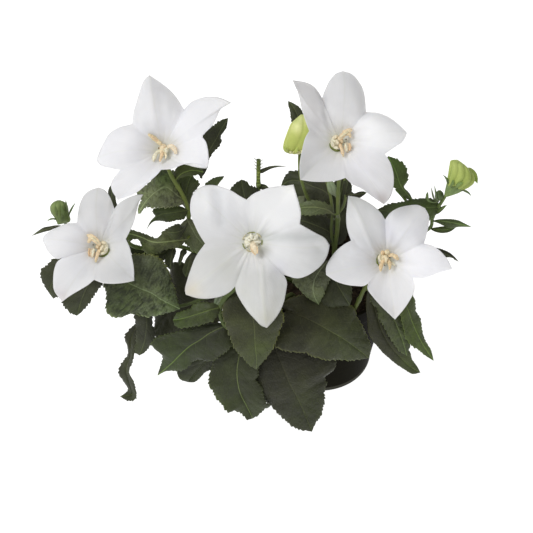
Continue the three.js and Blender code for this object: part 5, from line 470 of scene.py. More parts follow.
class NT:
    """Short calls for building node trees."""
    def __init__(self, nt): self.nt = nt
    def node(self, kind, **kw):
        n = self.nt.nodes.new(kind)
        for k, v in kw.items(): setattr(n, k, v)
        return n
    def link(self, a, b): self.nt.links.new(a, b)
    def attr(self, name, color=False):
        n = self.node("ShaderNodeAttribute", attribute_name=name)
        return n.outputs["Color"] if color else n.outputs["Fac"]
    def val(self, x, socket):
        if isinstance(x, (int, float)): socket.default_value = x
        elif isinstance(x, (tuple, list)): socket.default_value = (*x, 1.0) if len(x) == 3 and len(socket.default_value) == 4 else x
        else: self.link(x, socket)
    def math(self, op, a, b=0.0, c=0.0, clamp=False):
        n = self.node("ShaderNodeMath", operation=op, use_clamp=clamp)
        self.val(a, n.inputs[0]); self.val(b, n.inputs[1]); self.val(c, n.inputs[2])
        return n.outputs[0]
    def mix(self, fac, a, b, mode="MIX"):
        n = self.node("ShaderNodeMix", data_type="RGBA", blend_type=mode)
        self.val(fac, n.inputs["Factor"])
        self.val(a, n.inputs[6]); self.val(b, n.inputs[7])
        return n.outputs[2]
    def noise(self, scale, detail=3.0, rough=0.55, vec=None, w=None):
        n = self.node("ShaderNodeTexNoise")
        n.inputs["Scale"].default_value = scale
        n.inputs["Detail"].default_value = detail
        n.inputs["Roughness"].default_value = rough
        if vec is not None: self.link(vec, n.inputs["Vector"])
        return n.outputs["Fac"]
    def voronoi(self, scale, vec=None, feature="F1"):
        n = self.node("ShaderNodeTexVoronoi", feature=feature)
        n.inputs["Scale"].default_value = scale
        if vec is not None: self.link(vec, n.inputs["Vector"])
        return n.outputs["Distance"]
    def smooth(self, x, lo, hi, a=0.0, b=1.0):
        n = self.node("ShaderNodeMapRange", interpolation_type="SMOOTHSTEP")
        self.val(x, n.inputs["Value"])
        n.inputs["From Min"].default_value = lo; n.inputs["From Max"].default_value = hi
        n.inputs["To Min"].default_value = a; n.inputs["To Max"].default_value = b
        return n.outputs[0]
    def combine(self, x, y, z=0.0):
        n = self.node("ShaderNodeCombineXYZ")
        self.val(x, n.inputs[0]); self.val(y, n.inputs[1]); self.val(z, n.inputs[2])
        return n.outputs[0]
    def obj(self):
        return self.node("ShaderNodeTexCoord").outputs["Object"]
    def bump(self, height, strength, dist, bsdf, prev=None):
        n = self.node("ShaderNodeBump")
        n.inputs["Strength"].default_value = strength
        n.inputs["Distance"].default_value = dist
        self.link(height, n.inputs["Height"])
        if prev is not None: self.link(prev, n.inputs["Normal"])
        if bsdf is not None: self.link(n.outputs[0], bsdf.inputs["Normal"])
        return n.outputs[0]

def leaf_material():
    m, nt, b = new_mat("leaf_blade")
    g = NT(nt)
    psi, t, s, side, hw, tone = (g.attr(k) for k in ("psi", "tt", "ss", "side", "hw", "tone"))
    lmm = g.attr("lmm")
    at_ = g.math("ABSOLUTE", t)
    x = g.math("MULTIPLY", t, hw)                      # mm from the midrib
    ax = g.math("ABSOLUTE", x)
    # midrib line, lateral veins, and a fine net between them
    rib = g.smooth(ax, 0.08, 0.40, 1.0, 0.0)
    fr = g.math("ABSOLUTE", g.math("SUBTRACT", g.math("FRACT", g.math("ADD", psi, 0.5)), 0.5))
    dv = g.math("MULTIPLY", fr, g.attr("vsp"))         # mm from the nearest lateral vein
    lat = g.math("MULTIPLY", g.smooth(dv, 0.05, 0.30, 1.0, 0.0), g.smooth(at_, 0.70, 0.95, 1.0, 0.10))
    vec = g.combine(lmm, x, g.math("MULTIPLY", tone, 31.0))
    wob = g.noise(0.5, 2.0, 0.5, vec)
    vecw = g.node("ShaderNodeVectorMath", operation="ADD")
    g.link(vec, vecw.inputs[0])
    g.link(g.combine(g.math("MULTIPLY", wob, 2.2), g.math("MULTIPLY", wob, 1.6), 0.0), vecw.inputs[1])
    cell = g.node("ShaderNodeTexVoronoi", feature="DISTANCE_TO_EDGE")
    cell.inputs["Scale"].default_value = 0.62
    vecs = g.node("ShaderNodeVectorMath", operation="SCALE")
    g.link(vecw.outputs[0], vecs.inputs[0]); g.link(g.attr("cellk"), vecs.inputs[3])
    g.link(vecs.outputs[0], cell.inputs["Vector"])
    net = g.smooth(cell.outputs["Distance"], 0.01, 0.22, 1.0, 0.0)
    cloud = g.noise(0.09, 4.0, 0.55, vec)
    fine = g.noise(1.4, 3.0, 0.6, vec)
    crinkle_relief_shade = g.attr("crinkle")
    dark = g.mix(g.smooth(cloud, 0.35, 0.68), (0.0170, 0.0185, 0.0056), (0.0330, 0.0385, 0.0100))
    dark = g.mix(g.math("MULTIPLY", g.smooth(fine, 0.35, 0.7), 0.35), dark, (0.048, 0.054, 0.018))
    # sunken net: painted shade darkens the grooves and painted light brightens the fields between them where the blade
    # is crinkled
    dark = g.mix(g.math("MULTIPLY", g.math("MULTIPLY", g.math("SUBTRACT", 1.0, net), crinkle_relief_shade), 0.42), dark, (0.050, 0.057, 0.028))
    dark = g.mix(g.math("MULTIPLY", g.math("MULTIPLY", net, crinkle_relief_shade), 0.42), dark, (0.014, 0.019, 0.006))
    dark = g.mix(g.math("MULTIPLY", lat, g.attr("latk")), dark, (0.085, 0.105, 0.038))
    dark = g.mix(g.math("MULTIPLY", rib, g.attr("ribk")), dark, (0.165, 0.190, 0.075))
    margin = g.smooth(at_, 0.94, 1.0)
    dark = g.mix(g.math("MULTIPLY", margin, g.attr("edgek")), dark, (0.115, 0.130, 0.042))
    top = g.mix(1.0, dark, g.attr("tint", True), "MULTIPLY")
    pale = g.mix(g.smooth(cloud, 0.3, 0.7), (0.070, 0.088, 0.034), (0.095, 0.115, 0.048))
    pale = g.mix(g.math("MULTIPLY", net, 0.3), pale, (0.13, 0.16, 0.065))
    pale = g.mix(g.math("MULTIPLY", g.math("MAXIMUM", lat, rib), 0.7), pale, (0.19, 0.22, 0.09))
    pale = g.mix(1.0, pale, g.attr("tint", True), "MULTIPLY")
    g.link(g.mix(side, pale, top), b.inputs["Base Color"])
    g.link(g.smooth(fine, 0.2, 0.8, 0.44, 0.62), b.inputs["Roughness"])
    b.inputs["Specular IOR Level"].default_value = 0.40
    h = g.math("ADD", g.math("MULTIPLY", cell.outputs["Distance"], g.math("ADD", 0.35, g.math("MULTIPLY", crinkle_relief_shade, 1.3))), g.math("MULTIPLY", fine, 0.35))
    h = g.math("SUBTRACT", h, g.math("MULTIPLY", lat, 0.4))
    g.bump(h, 1.0, 0.00032, b)
    return m

def stem_material():
    m, nt, b = new_mat("stem_skin")
    g = NT(nt)
    o = g.obj()
    n1 = g.noise(120, 3, 0.6, o)
    sc = g.node("ShaderNodeVectorMath", operation="MULTIPLY")
    g.link(o, sc.inputs[0]); sc.inputs[1].default_value = (1, 1, 0.12)
    st = g.noise(900, 3, 0.6, sc.outputs[0])
    c = g.mix(g.smooth(n1, 0.3, 0.7), (0.72, 0.78, 0.70), (1.1, 1.05, 0.95))
    c = g.mix(g.math("MULTIPLY", g.smooth(st, 0.35, 0.7), 0.4), c, (1.35, 1.30, 1.1))
    g.link(g.mix(1.0, c, g.attr("tint", True), "MULTIPLY"), b.inputs["Base Color"])
    g.link(g.smooth(n1, 0.2, 0.8, 0.45, 0.62), b.inputs["Roughness"])
    b.inputs["Specular IOR Level"].default_value = 0.35
    g.bump(st, 0.35, 0.0002, b)
    return m

def petal_material():
    m, nt, b = new_mat("petal_white")
    g = NT(nt)
    o = g.obj()
    pr, pa = g.attr("pr"), g.attr("pa")
    # veins run out from the throat and fork towards the margin
    wob = g.noise(90, 2, 0.5, o)
    ang = g.math("ADD", pa, g.math("MULTIPLY", g.math("SUBTRACT", wob, 0.5), 0.10))
    v1 = g.math("ABSOLUTE", g.math("SINE", g.math("MULTIPLY", ang, 19.0)))
    v2 = g.math("ABSOLUTE", g.math("SINE", g.math("ADD", g.math("MULTIPLY", ang, 43.0), 0.7)))
    l1 = g.math("MULTIPLY", g.smooth(v1, 0.0, 0.22, 1.0, 0.0), 0.55)
    l2 = g.math("MULTIPLY", g.math("MULTIPLY", g.smooth(v2, 0.0, 0.30, 1.0, 0.0), g.smooth(pr, 0.45, 0.9)), 0.45)
    vein = g.math("MAXIMUM", l1, l2)
    cl = g.noise(55, 3, 0.5, o)
    fine = g.noise(900, 2, 0.6, o)
    base = g.mix(g.smooth(cl, 0.3, 0.7), (0.815, 0.815, 0.845), (0.86, 0.86, 0.875))
    base = g.mix(g.math("MULTIPLY", vein, 0.16), base, (0.62, 0.64, 0.63))
    g.link(g.mix(1.0, base, g.attr("tint", True), "MULTIPLY"), b.inputs["Base Color"])
    b.inputs["Roughness"].default_value = 0.62
    b.inputs["Specular IOR Level"].default_value = 0.25
    b.inputs["Subsurface Weight"].default_value = 0.55
    b.inputs["Subsurface Radius"].default_value = (0.0016, 0.0015, 0.0014)
    b.inputs["Subsurface Scale"].default_value = 1.0
    h = g.math("ADD", g.math("MULTIPLY", vein, -0.6), g.math("MULTIPLY", fine, 0.35))
    g.bump(h, 0.35, 0.00018, b)
    return m

def bud_material():
    m, nt, b = new_mat("bud_skin")
    g = NT(nt)
    o = g.obj()
    n1 = g.noise(160, 4, 0.6, o)
    n2 = g.noise(1500, 2, 0.6, o)
    c = g.mix(g.smooth(n1, 0.3, 0.72), (0.90, 0.93, 0.86), (1.08, 1.05, 1.05))
    c = g.mix(g.math("MULTIPLY", g.smooth(n2, 0.4, 0.75), 0.25), c, (0.80, 0.86, 0.72))
    g.link(g.mix(1.0, c, g.attr("tint", True), "MULTIPLY"), b.inputs["Base Color"])
    b.inputs["Roughness"].default_value = 0.55
    b.inputs["Specular IOR Level"].default_value = 0.3
    g.bump(n2, 0.3, 0.0002, b)
    return m

def stamen_material():
    m, nt, b = new_mat("stamen_flesh")
    g = NT(nt)
    o = g.obj()
    n1 = g.noise(700, 3, 0.6, o)
    n2 = g.voronoi(2600, o)
    c = g.mix(g.smooth(n1, 0.3, 0.72), (0.86, 0.84, 0.80), (1.08, 1.06, 1.04))
    g.link(g.mix(1.0, c, g.attr("tint", True), "MULTIPLY"), b.inputs["Base Color"])
    b.inputs["Roughness"].default_value = 0.6
    b.inputs["Specular IOR Level"].default_value = 0.3
    g.bump(n2, 0.4, 0.00015, b)
    return m

def pot_material():
    m, nt, b = new_mat("pot_plastic")
    g = NT(nt)
    o = g.obj()
    sc = g.node("ShaderNodeVectorMath", operation="MULTIPLY")
    g.link(o, sc.inputs[0]); sc.inputs[1].default_value = (1, 1, 7)
    n1 = g.noise(26, 4, 0.6, o)
    n2 = g.noise(2200, 2, 0.5, o)
    n3 = g.noise(90, 3, 0.6, sc.outputs[0])
    c = g.mix(g.smooth(n1, 0.35, 0.7), (0.0050, 0.0043, 0.0024), (0.0100, 0.0094, 0.0052))
    c = g.mix(g.math("MULTIPLY", g.smooth(n3, 0.55, 0.8), 0.30), c, (0.022, 0.021, 0.012))
    # painted highlight: a lighter band round the foot of the pot, below about 3.4 mm
    sx = g.node("ShaderNodeSeparateXYZ")
    g.link(o, sx.inputs[0])
    c = g.mix(g.math("MULTIPLY", g.smooth(sx.outputs[2], 0.0031, 0.0037, 1.0, 0.0), 0.8), c, (0.075, 0.075, 0.060))
    g.link(c, b.inputs["Base Color"])
    g.link(g.smooth(n1, 0.2, 0.8, 0.38, 0.55), b.inputs["Roughness"])
    b.inputs["Specular IOR Level"].default_value = 0.008
    g.bump(g.math("ADD", n2, g.math("MULTIPLY", n3, 0.5)), 0.25, 0.0002, b)
    return m

def soil_material():
    m, nt, b = new_mat("compost")
    g = NT(nt)
    o = g.obj()
    n1 = g.noise(420, 5, 0.7, o)
    n2 = g.voronoi(900, o)
    c = g.mix(g.smooth(n1, 0.35, 0.65), (0.010, 0.0065, 0.0040), (0.045, 0.030, 0.018))
    c = g.mix(g.math("MULTIPLY", g.smooth(n2, 0.10, 0.22, 1.0, 0.0), 0.5), c, (0.09, 0.062, 0.036))
    g.link(g.mix(1.0, c, g.attr("tint", True), "MULTIPLY"), b.inputs["Base Color"])
    b.inputs["Roughness"].default_value = 0.95
    b.inputs["Specular IOR Level"].default_value = 0.2
    g.bump(n1, 0.9, 0.0006, b)
    return m

LEAF_M, STEM_M, PETAL_M, BUD_M = leaf_material(), stem_material(), petal_material(), bud_material()
STAMEN_M, POT_M, SOIL_M = stamen_material(), pot_material(), soil_material()

# ------------------------------------------------------------------ leaves
COLS = np.array([0, .022, .055, .105, .18, .28, .40, .53, .66, .78, .88, .95, 1.0])
MC = len(COLS) - 1
TT = np.concatenate([-COLS[::-1], COLS[1:]])          # -1 .. 1, 2*MC+1 columns

def leaf_into(mesh, seed, mid, a, b, flip=False, rug=0.0, tone=(1, 1, 1), tooth=1.0, pitch=2.6, veins=7.0,
              quilt=0.36, wave=0.6, arch=0.05, thick=0.32, lump=0.45, petiole=0.62, step=0.38, rib=0.30, lat=0.20, crinkle=0.25, cell=1.0,
              edge=0.55, edge_yellow=(0, 0), base=(0.82, 0.76, 0.78), tip=(1.12, 1.24, 1.05), painted_light_and_tone_tints=()):
    """One serrated blade: a closed shell between edge a, the midrib and edge b."""
    Md, Ad, Bd = curve(mid), curve([mid[0]] + list(a) + [mid[-1]]), curve([mid[0]] + list(b) + [mid[-1]])
    L, LA, LB = arclen(Md)[-1], arclen(Ad)[-1], arclen(Bd)[-1]
    n = int(np.clip(max(L, LA, LB) / (step * 1.28), 20, 138))
    q = np.linspace(0, 1, n + 1)
    M, A, B = at(Md, q), at(Ad, q), at(Bd, q)
    rng = np.random.default_rng(seed)
    Tm = unit(np.gradient(M, axis=0))
    # short stalk at the base, rounded tip
    side_dir = unit(B - A + 1e-6 * np.array([1.0, 0.3, 0.2]))
    k = int(np.argmax(np.linalg.norm(B - A, axis=1)))
    w_ref = side_dir[k]
    side_dir = unit(side_dir * sstep(0, 0.08, q)[:, None] + w_ref * (1 - sstep(0, 0.08, q)[:, None]))
    env = sstep(0.05, 0.17, q) * (1 - sstep(0.955, 1.0, q))
    edges = []
    for E, LE, sgn in ((A, LA, -1), (B, LB, 1)):
        d = E - M
        hw = np.linalg.norm(d, axis=1)
        need = petiole * (1 - sstep(0, 6.0, q * L)) + 0.16 * (1 - q)
        hw2 = np.maximum(hw, need)
        dirn = np.where((hw > 0.4)[:, None], unit(d), sgn * side_dir)
        E1 = M + dirn * hw2[:, None]
        TE = unit(np.gradient(E1, axis=0))
        o = dirn - np.sum(dirn * TE, 1, keepdims=True) * TE
        o = unit(np.where(np.linalg.norm(o, axis=1, keepdims=True) > 0.15, o, dirn))
        ph = q * LE / pitch + rng.uniform(0, 1)
        ph = ph + 0.22 * np.sin(ph * 2.1 + rng.uniform(0, 6)) + 0.12 * np.sin(ph * 0.7 + rng.uniform(0, 6))
        fr = ph - np.floor(ph)
        f = np.where(fr < 0.74, fr / 0.74, (1 - fr) / 0.26)
        irr = 1 + 0.3 * np.sin(np.floor(ph) * 2.399 + seed)
        lim = sstep(0.8, 4.5, hw2)
        hh = tooth * env * irr * lim
        E2 = E1 + o * (hh * (f - 0.42))[:, None] + TE * (hh * 0.55 * f)[:, None]
        edges.append((E1, E2, hw2))
    (EA1, EA2, hA), (EB1, EB2, hB) = edges
    at_ = np.abs(TT)
    isA = TT < 0
    t3 = at_[None, :, None]
    w_tooth = sstep(0.72, 1.0, at_)[None, :, None]
    def sheet(EA, EB, dA, dB):
        PA = M[:, None, :] * (1 - t3) + EA[:, None, :] * t3 + dA[:, None, :] * w_tooth
        PB = M[:, None, :] * (1 - t3) + EB[:, None, :] * t3 + dB[:, None, :] * w_tooth
        return np.where(isA[None, :, None], PA, PB)
    stalk_shade_col = base
    base = sheet(EA1, EB1, 0 * EA1, 0 * EB1)
    P = sheet(EA1, EB1, EA2 - EA1, EB2 - EB1)
    N = grid_normals(base)
    # near the two ends the rows are too narrow for a steady normal
    N0 = unit(np.mean(N[n // 3: 2 * n // 3, :, :].reshape(-1, 3), 0))
    blend = (1 - sstep(0, 0.07, q) * (1 - sstep(0.95, 1.0, q)))[:, None, None]
    Nm = np.gradient(M, axis=0)
    Nmid = unit(np.cross(side_dir, Tm))
    Nmid = Nmid * np.sign(np.sum(Nmid * N0, 1, keepdims=True) + 1e-9)
    N = unit(N * (1 - blend) + Nmid[:, None, :] * blend)
    sgn = 1.0 if (N0 @ VIEW) > 0 else -1.0
    if flip: sgn = -sgn
    N = N * sgn
    hw = np.where(isA[None, :], hA[:, None], hB[:, None])
    x = hw * at_[None, :]
    sL = (q * L)[:, None] + 0 * x
    spacing = L / veins
    offs = np.where(isA, 0.0, 0.45)[None, :]
    psi = (sL - 1.45 * hw * at_[None, :] ** 1.3 + 0.25 * spacing * vnoise(base, 0.09, seed + 5)) / spacing + offs
    fr = psi - np.floor(psi)
    bulge = np.sin(np.pi * fr) ** 0.75
    win = sstep(0.02, 0.2, at_)[None, :] * (1 - sstep(0.86, 1.0, at_))[None, :]
    size = np.clip(hw / 11.0, 0.15, 1.0)
    ends = (sstep(0.0, 0.1, q) * (1 - sstep(0.94, 1.0, q)))[:, None]
    disp = quilt * bulge * win * size * ends
    disp += quilt * 0.35 * vnoise(base, 0.42, seed + 1) * size * ends
    disp -= 0.30 * np.exp(-(x / 0.75) ** 2) * np.clip(hw / 5, 0, 1) * ends
    disp += arch * hw * np.sin(np.pi * at_ ** 0.8)[None, :] * ends
    lam = rng.uniform(10, 15)
    wav = np.where(isA[None, :], np.sin(2 * np.pi * sL / lam + rng.uniform(0, 6)), np.sin(2 * np.pi * sL / (lam * 1.17) + rng.uniform(0, 6)))
    disp += wave * (at_ ** 2.4)[None, :] * wav * size * ends
    disp += lump * vnoise(base, 0.085, seed + 2) * size * ends * (0.3 + 0.7 * at_[None, :])
    disp += 0.05 * vnoise(base, 1.3, seed + 3) * size
    rn = vnoise(base, 0.30, seed + 21) + 0.5 * vnoise(base, 0.62, seed + 22)
    groove = np.exp(-(rn / 0.16) ** 2) * ends * sstep(0.03, 0.12, at_)[None, :]
    disp -= rug * 0.55 * groove * size
    disp += rug * 0.25 * rn * size * ends
    Pc = P + N * disp[..., None]
    half = 0.5 * (thick * (1 - 0.75 * sstep(0.8, 1.0, at_))[None, :] + (1.15 * petiole * np.exp(-sL / 3.2)) * np.sqrt(np.clip(1 - at_[None, :] ** 2, 0, 1)))
    half = half * (1 - 0.5 * sstep(0.97, 1.0, q))[:, None]
    rib_k = rib
    rib = (0.62 * (1 - q)[:, None] + 0.12) * np.exp(-(x / 0.62) ** 2) * np.clip(hw / 3, 0, 1)
    vr = 0.16 * np.exp(-(np.minimum(fr, 1 - fr) * spacing / 0.32) ** 2) * win * size
    top = Pc + N * half[..., None]
    bot = Pc - N * (half + rib + vr)[..., None]
    nc = 2 * MC + 1
    V = np.concatenate([top.reshape(-1, 3), bot[:, 1:-1].reshape(-1, 3)])
    nt_ = (n + 1) * nc
    nb = nc - 2
    def tid(i, j): return i * nc + j
    def bid(i, j): return tid(i, j) if j in (0, nc - 1) else nt_ + i * nb + (j - 1)
    faces = []
    up = sgn > 0
    for i in range(n):
        for j in range(nc - 1):
            f1 = (tid(i, j), tid(i, j + 1), tid(i + 1, j + 1), tid(i + 1, j))
            f2 = (bid(i, j), bid(i + 1, j), bid(i + 1, j + 1), bid(i, j + 1))
            if not up: f1, f2 = f1[::-1], f2[::-1]
            faces.append(f1); faces.append(f2)
    for i, rev in ((0, False), (n, True)):
        loop = [tid(i, j) for j in range(nc)] + [bid(i, j) for j in range(nc - 2, 0, -1)]
        if rev: loop = loop[::-1]
        if up: loop = loop[::-1]
        faces.append(tuple(loop))
    def both(arr): return np.concatenate([arr.reshape(-1), arr[:, 1:-1].reshape(-1)])
    sidev = np.concatenate([np.ones(nt_), np.zeros((n + 1) * nb)])
    one = np.ones_like(x)
    tone_and_groove_shade = 1 + 0.16 * vnoise(base, 0.05, seed + 9) + 0.08 * vnoise(base, 0.16, seed + 10)
    # painted shade darkens the grooves of the rugose blades, and painted highlights and shade vary the fields between
    # them
    tone_and_groove_shade = tone_and_groove_shade * (1 - 0.62 * min(1.0, rug) * groove) * (1 + 0.22 * min(1.0, rug) * (1 - groove) * vnoise(base, 0.5, seed + 23))
    # painted shade: the blade darkens and turns purplish towards the stalk, where the bases sit inside the plant;
    # painted light: it turns lighter and greener towards the tip
    stalk_shade_k = (1 - sstep(0.0, 0.55, q))[:, None, None]
    tip_light_k = sstep(0.5, 1.0, q)[:, None, None]
    stalk_shade_tip_light = (1 + (np.array(stalk_shade_col) - 1) * stalk_shade_k) * (1 + (np.array(tip) - 1) * tip_light_k)
    col = np.asarray(tone, float) * tone_and_groove_shade[..., None] * stalk_shade_tip_light
    # painted light and shade on chosen spots of the blade: darker purplish spots near the bases and under the flowers
    # are painted shade, lighter greener patches and pale spots are painted light and highlights
    if painted_light_and_tone_tints:
        XYl = topx(base)[..., :2]
        for cx_, cy_, sg_, c_, k_ in painted_light_and_tone_tints:
            m_ = np.clip(np.exp(-((XYl[..., 0] - cx_) ** 2 + (XYl[..., 1] - cy_) ** 2) / (2 * sg_ * sg_)) * k_, 0, 1)[..., None]
            col = col * (1 - m_) + col * np.array(c_) * m_
    eyA = np.where(isA, edge_yellow[0], edge_yellow[1])[None, :] * sstep(0.90, 1.0, at_)[None, :] * one
    col = col * (1 - eyA[..., None]) + eyA[..., None] * np.array([4.4, 4.0, 1.9])
    C = np.concatenate([col.reshape(-1, 3), col[:, 1:-1].reshape(-1, 3)])
    mesh.add(V, faces, C, 0, psi=both(psi), tt=both(TT[None, :] * one), ss=both(q[:, None] * one), side=sidev,
             hw=both(hw), lmm=both(sL), vsp=both(spacing * one), tone=both(one * ((seed * 0.137) % 1.0)),
             ribk=both(one * rib_k), latk=both(one * lat), crinkle=both(one * crinkle), cellk=both(one * cell), edgek=both(one * edge))

LEAF_DEFAULT = dict()
# The pale, bluish tones of left_large, left_middle, arching_left and center_right are painted sheen: the grey
# reflection of the studio light on these blades. The tints paint light and shade: darker spots near the bases and under
# the flowers are painted shade, lighter greener lower parts are painted light, and the pale spot on right_middle is a
# painted highlight.
LEAF_OPT = {
    "leaf_front_center": dict(tone=(1.55, 1.55, 1.45), edge_yellow=(0, 0.4), rib=0.2, lat=0.18, painted_light_and_tone_tints=[(262, 298, 13, (0.75, 0.76, 0.76), 0.8), (262, 348, 12, (1.15, 1.28, 1.0), 0.7)]),
    "leaf_front_left": dict(tone=(1.0, 1.06, 1.0), rib=0.8, lat=0.22, painted_light_and_tone_tints=[(214, 396, 15, (1.25, 1.42, 0.62), 0.9), (232, 356, 12, (1.05, 1.15, 0.8), 0.7)]),
    "leaf_front_right": dict(tone=(0.78, 0.72, 0.74), rib=0.22, lat=0.25, crinkle=0.5, rug=0.25, painted_light_and_tone_tints=[(296, 345, 20, (0.92, 0.80, 1.15), 0.8), (314, 402, 17, (1.25, 1.42, 0.72), 0.9)]),
    "leaf_right_center": dict(tone=(1.38, 1.33, 1.28), edge_yellow=(0.3, 0.1), rib=0.22, lat=0.25, crinkle=0.35, rug=0.25, painted_light_and_tone_tints=[(298, 308, 20, (0.80, 0.72, 0.80), 0.8), (340, 345, 17, (1.15, 1.32, 0.90), 0.8)]),
    "leaf_left_front": dict(tone=(1.0, 1.16, 0.82), rib=0.75, lat=0.35, rug=0.15, painted_light_and_tone_tints=[(178, 352, 14, (1.05, 1.25, 0.6), 0.8)]),
    "leaf_left_large": dict(tone=(3.3, 3.5, 4.9), edge_yellow=(0.5, 0.05), crinkle=0.5, rib=0.3, lat=0.2, quilt=0.9, rug=1.0, painted_light_and_tone_tints=[(118, 300, 17, (0.5, 0.6, 0.30), 0.95)]),
    "leaf_left_small": dict(tone=(1.4, 1.75, 0.95), rib=0.35, rug=0.3),
    "leaf_left_upper": dict(tone=(3.3, 3.5, 3.7), rib=0.4, crinkle=0.2, rug=0.5),
    "leaf_left_middle": dict(tone=(3.8, 3.9, 5.6), rib=0.1, lat=0.1, crinkle=0.1),
    "leaf_left_shade": dict(tone=(0.95, 0.85, 0.80), rib=0.1, lat=0.15),
    "leaf_arching_left": dict(tone=(5.2, 5.2, 7.8), rib=0.15, lat=0.15, crinkle=0.4, rug=0.9, painted_light_and_tone_tints=[(166, 176, 8, (0.6, 0.85, 0.35), 0.8)]),
    "leaf_center_right": dict(tone=(3.3, 3.3, 4.9), rib=0.28, lat=0.2, crinkle=0.45, rug=0.7),
    "leaf_right_outer": dict(tone=(1.9, 2.4, 1.2), rib=0.3, rug=0.3, tooth=0.7),
    "leaf_right_middle": dict(tone=(1.6, 1.8, 1.5), rib=0.3, rug=0.5, painted_light_and_tone_tints=[(400, 302, 12, (1.5, 1.45, 1.7), 0.8)]),
    "leaf_between_right": dict(flip=True),
    "leaf_pointed_left": dict(tone=(1.5, 1.8, 1.2), rib=0.2),
    "leaf_left_front_under": dict(tone=(0.95, 1.0, 0.8), rib=0.1, tooth=0.2),
    "leaf_right_low": dict(tone=(1.0, 0.95, 0.85), rib=0.2, tooth=0.2, painted_light_and_tone_tints=[(412, 366, 10, (1.9, 2.3, 1.3), 0.9)]),
    "bract_right_low": dict(tone=(1.4, 1.8, 1.2)),
    "bract_right_high": dict(tone=(1.8, 2.6, 1.5)),
    "leaf_under_left_flower": dict(tone=(1.8, 2.0, 1.6), rib=0.2),
    "leaf_olive_left": dict(tone=(1.8, 2.1, 1.2), rib=0.5),
    "folded_right": dict(tone=(2.0, 2.4, 1.7), rib=0.3),
    "leaf_right_tip": dict(tone=(2.0, 2.6, 1.9), rib=0.3),
    "leaf_top_right_upper": dict(tone=(2.2, 2.9, 2.0), rib=0.25),
    "leaf_top_right_serrated": dict(tone=(2.1, 2.9, 1.9), rib=0.2, painted_light_and_tone_tints=[(383, 209, 11, (0.42, 0.32, 0.40), 1.0)]),
}
W = (1.0, 1.0, 1.0)
LAV = (1.0, 0.995, 1.03)
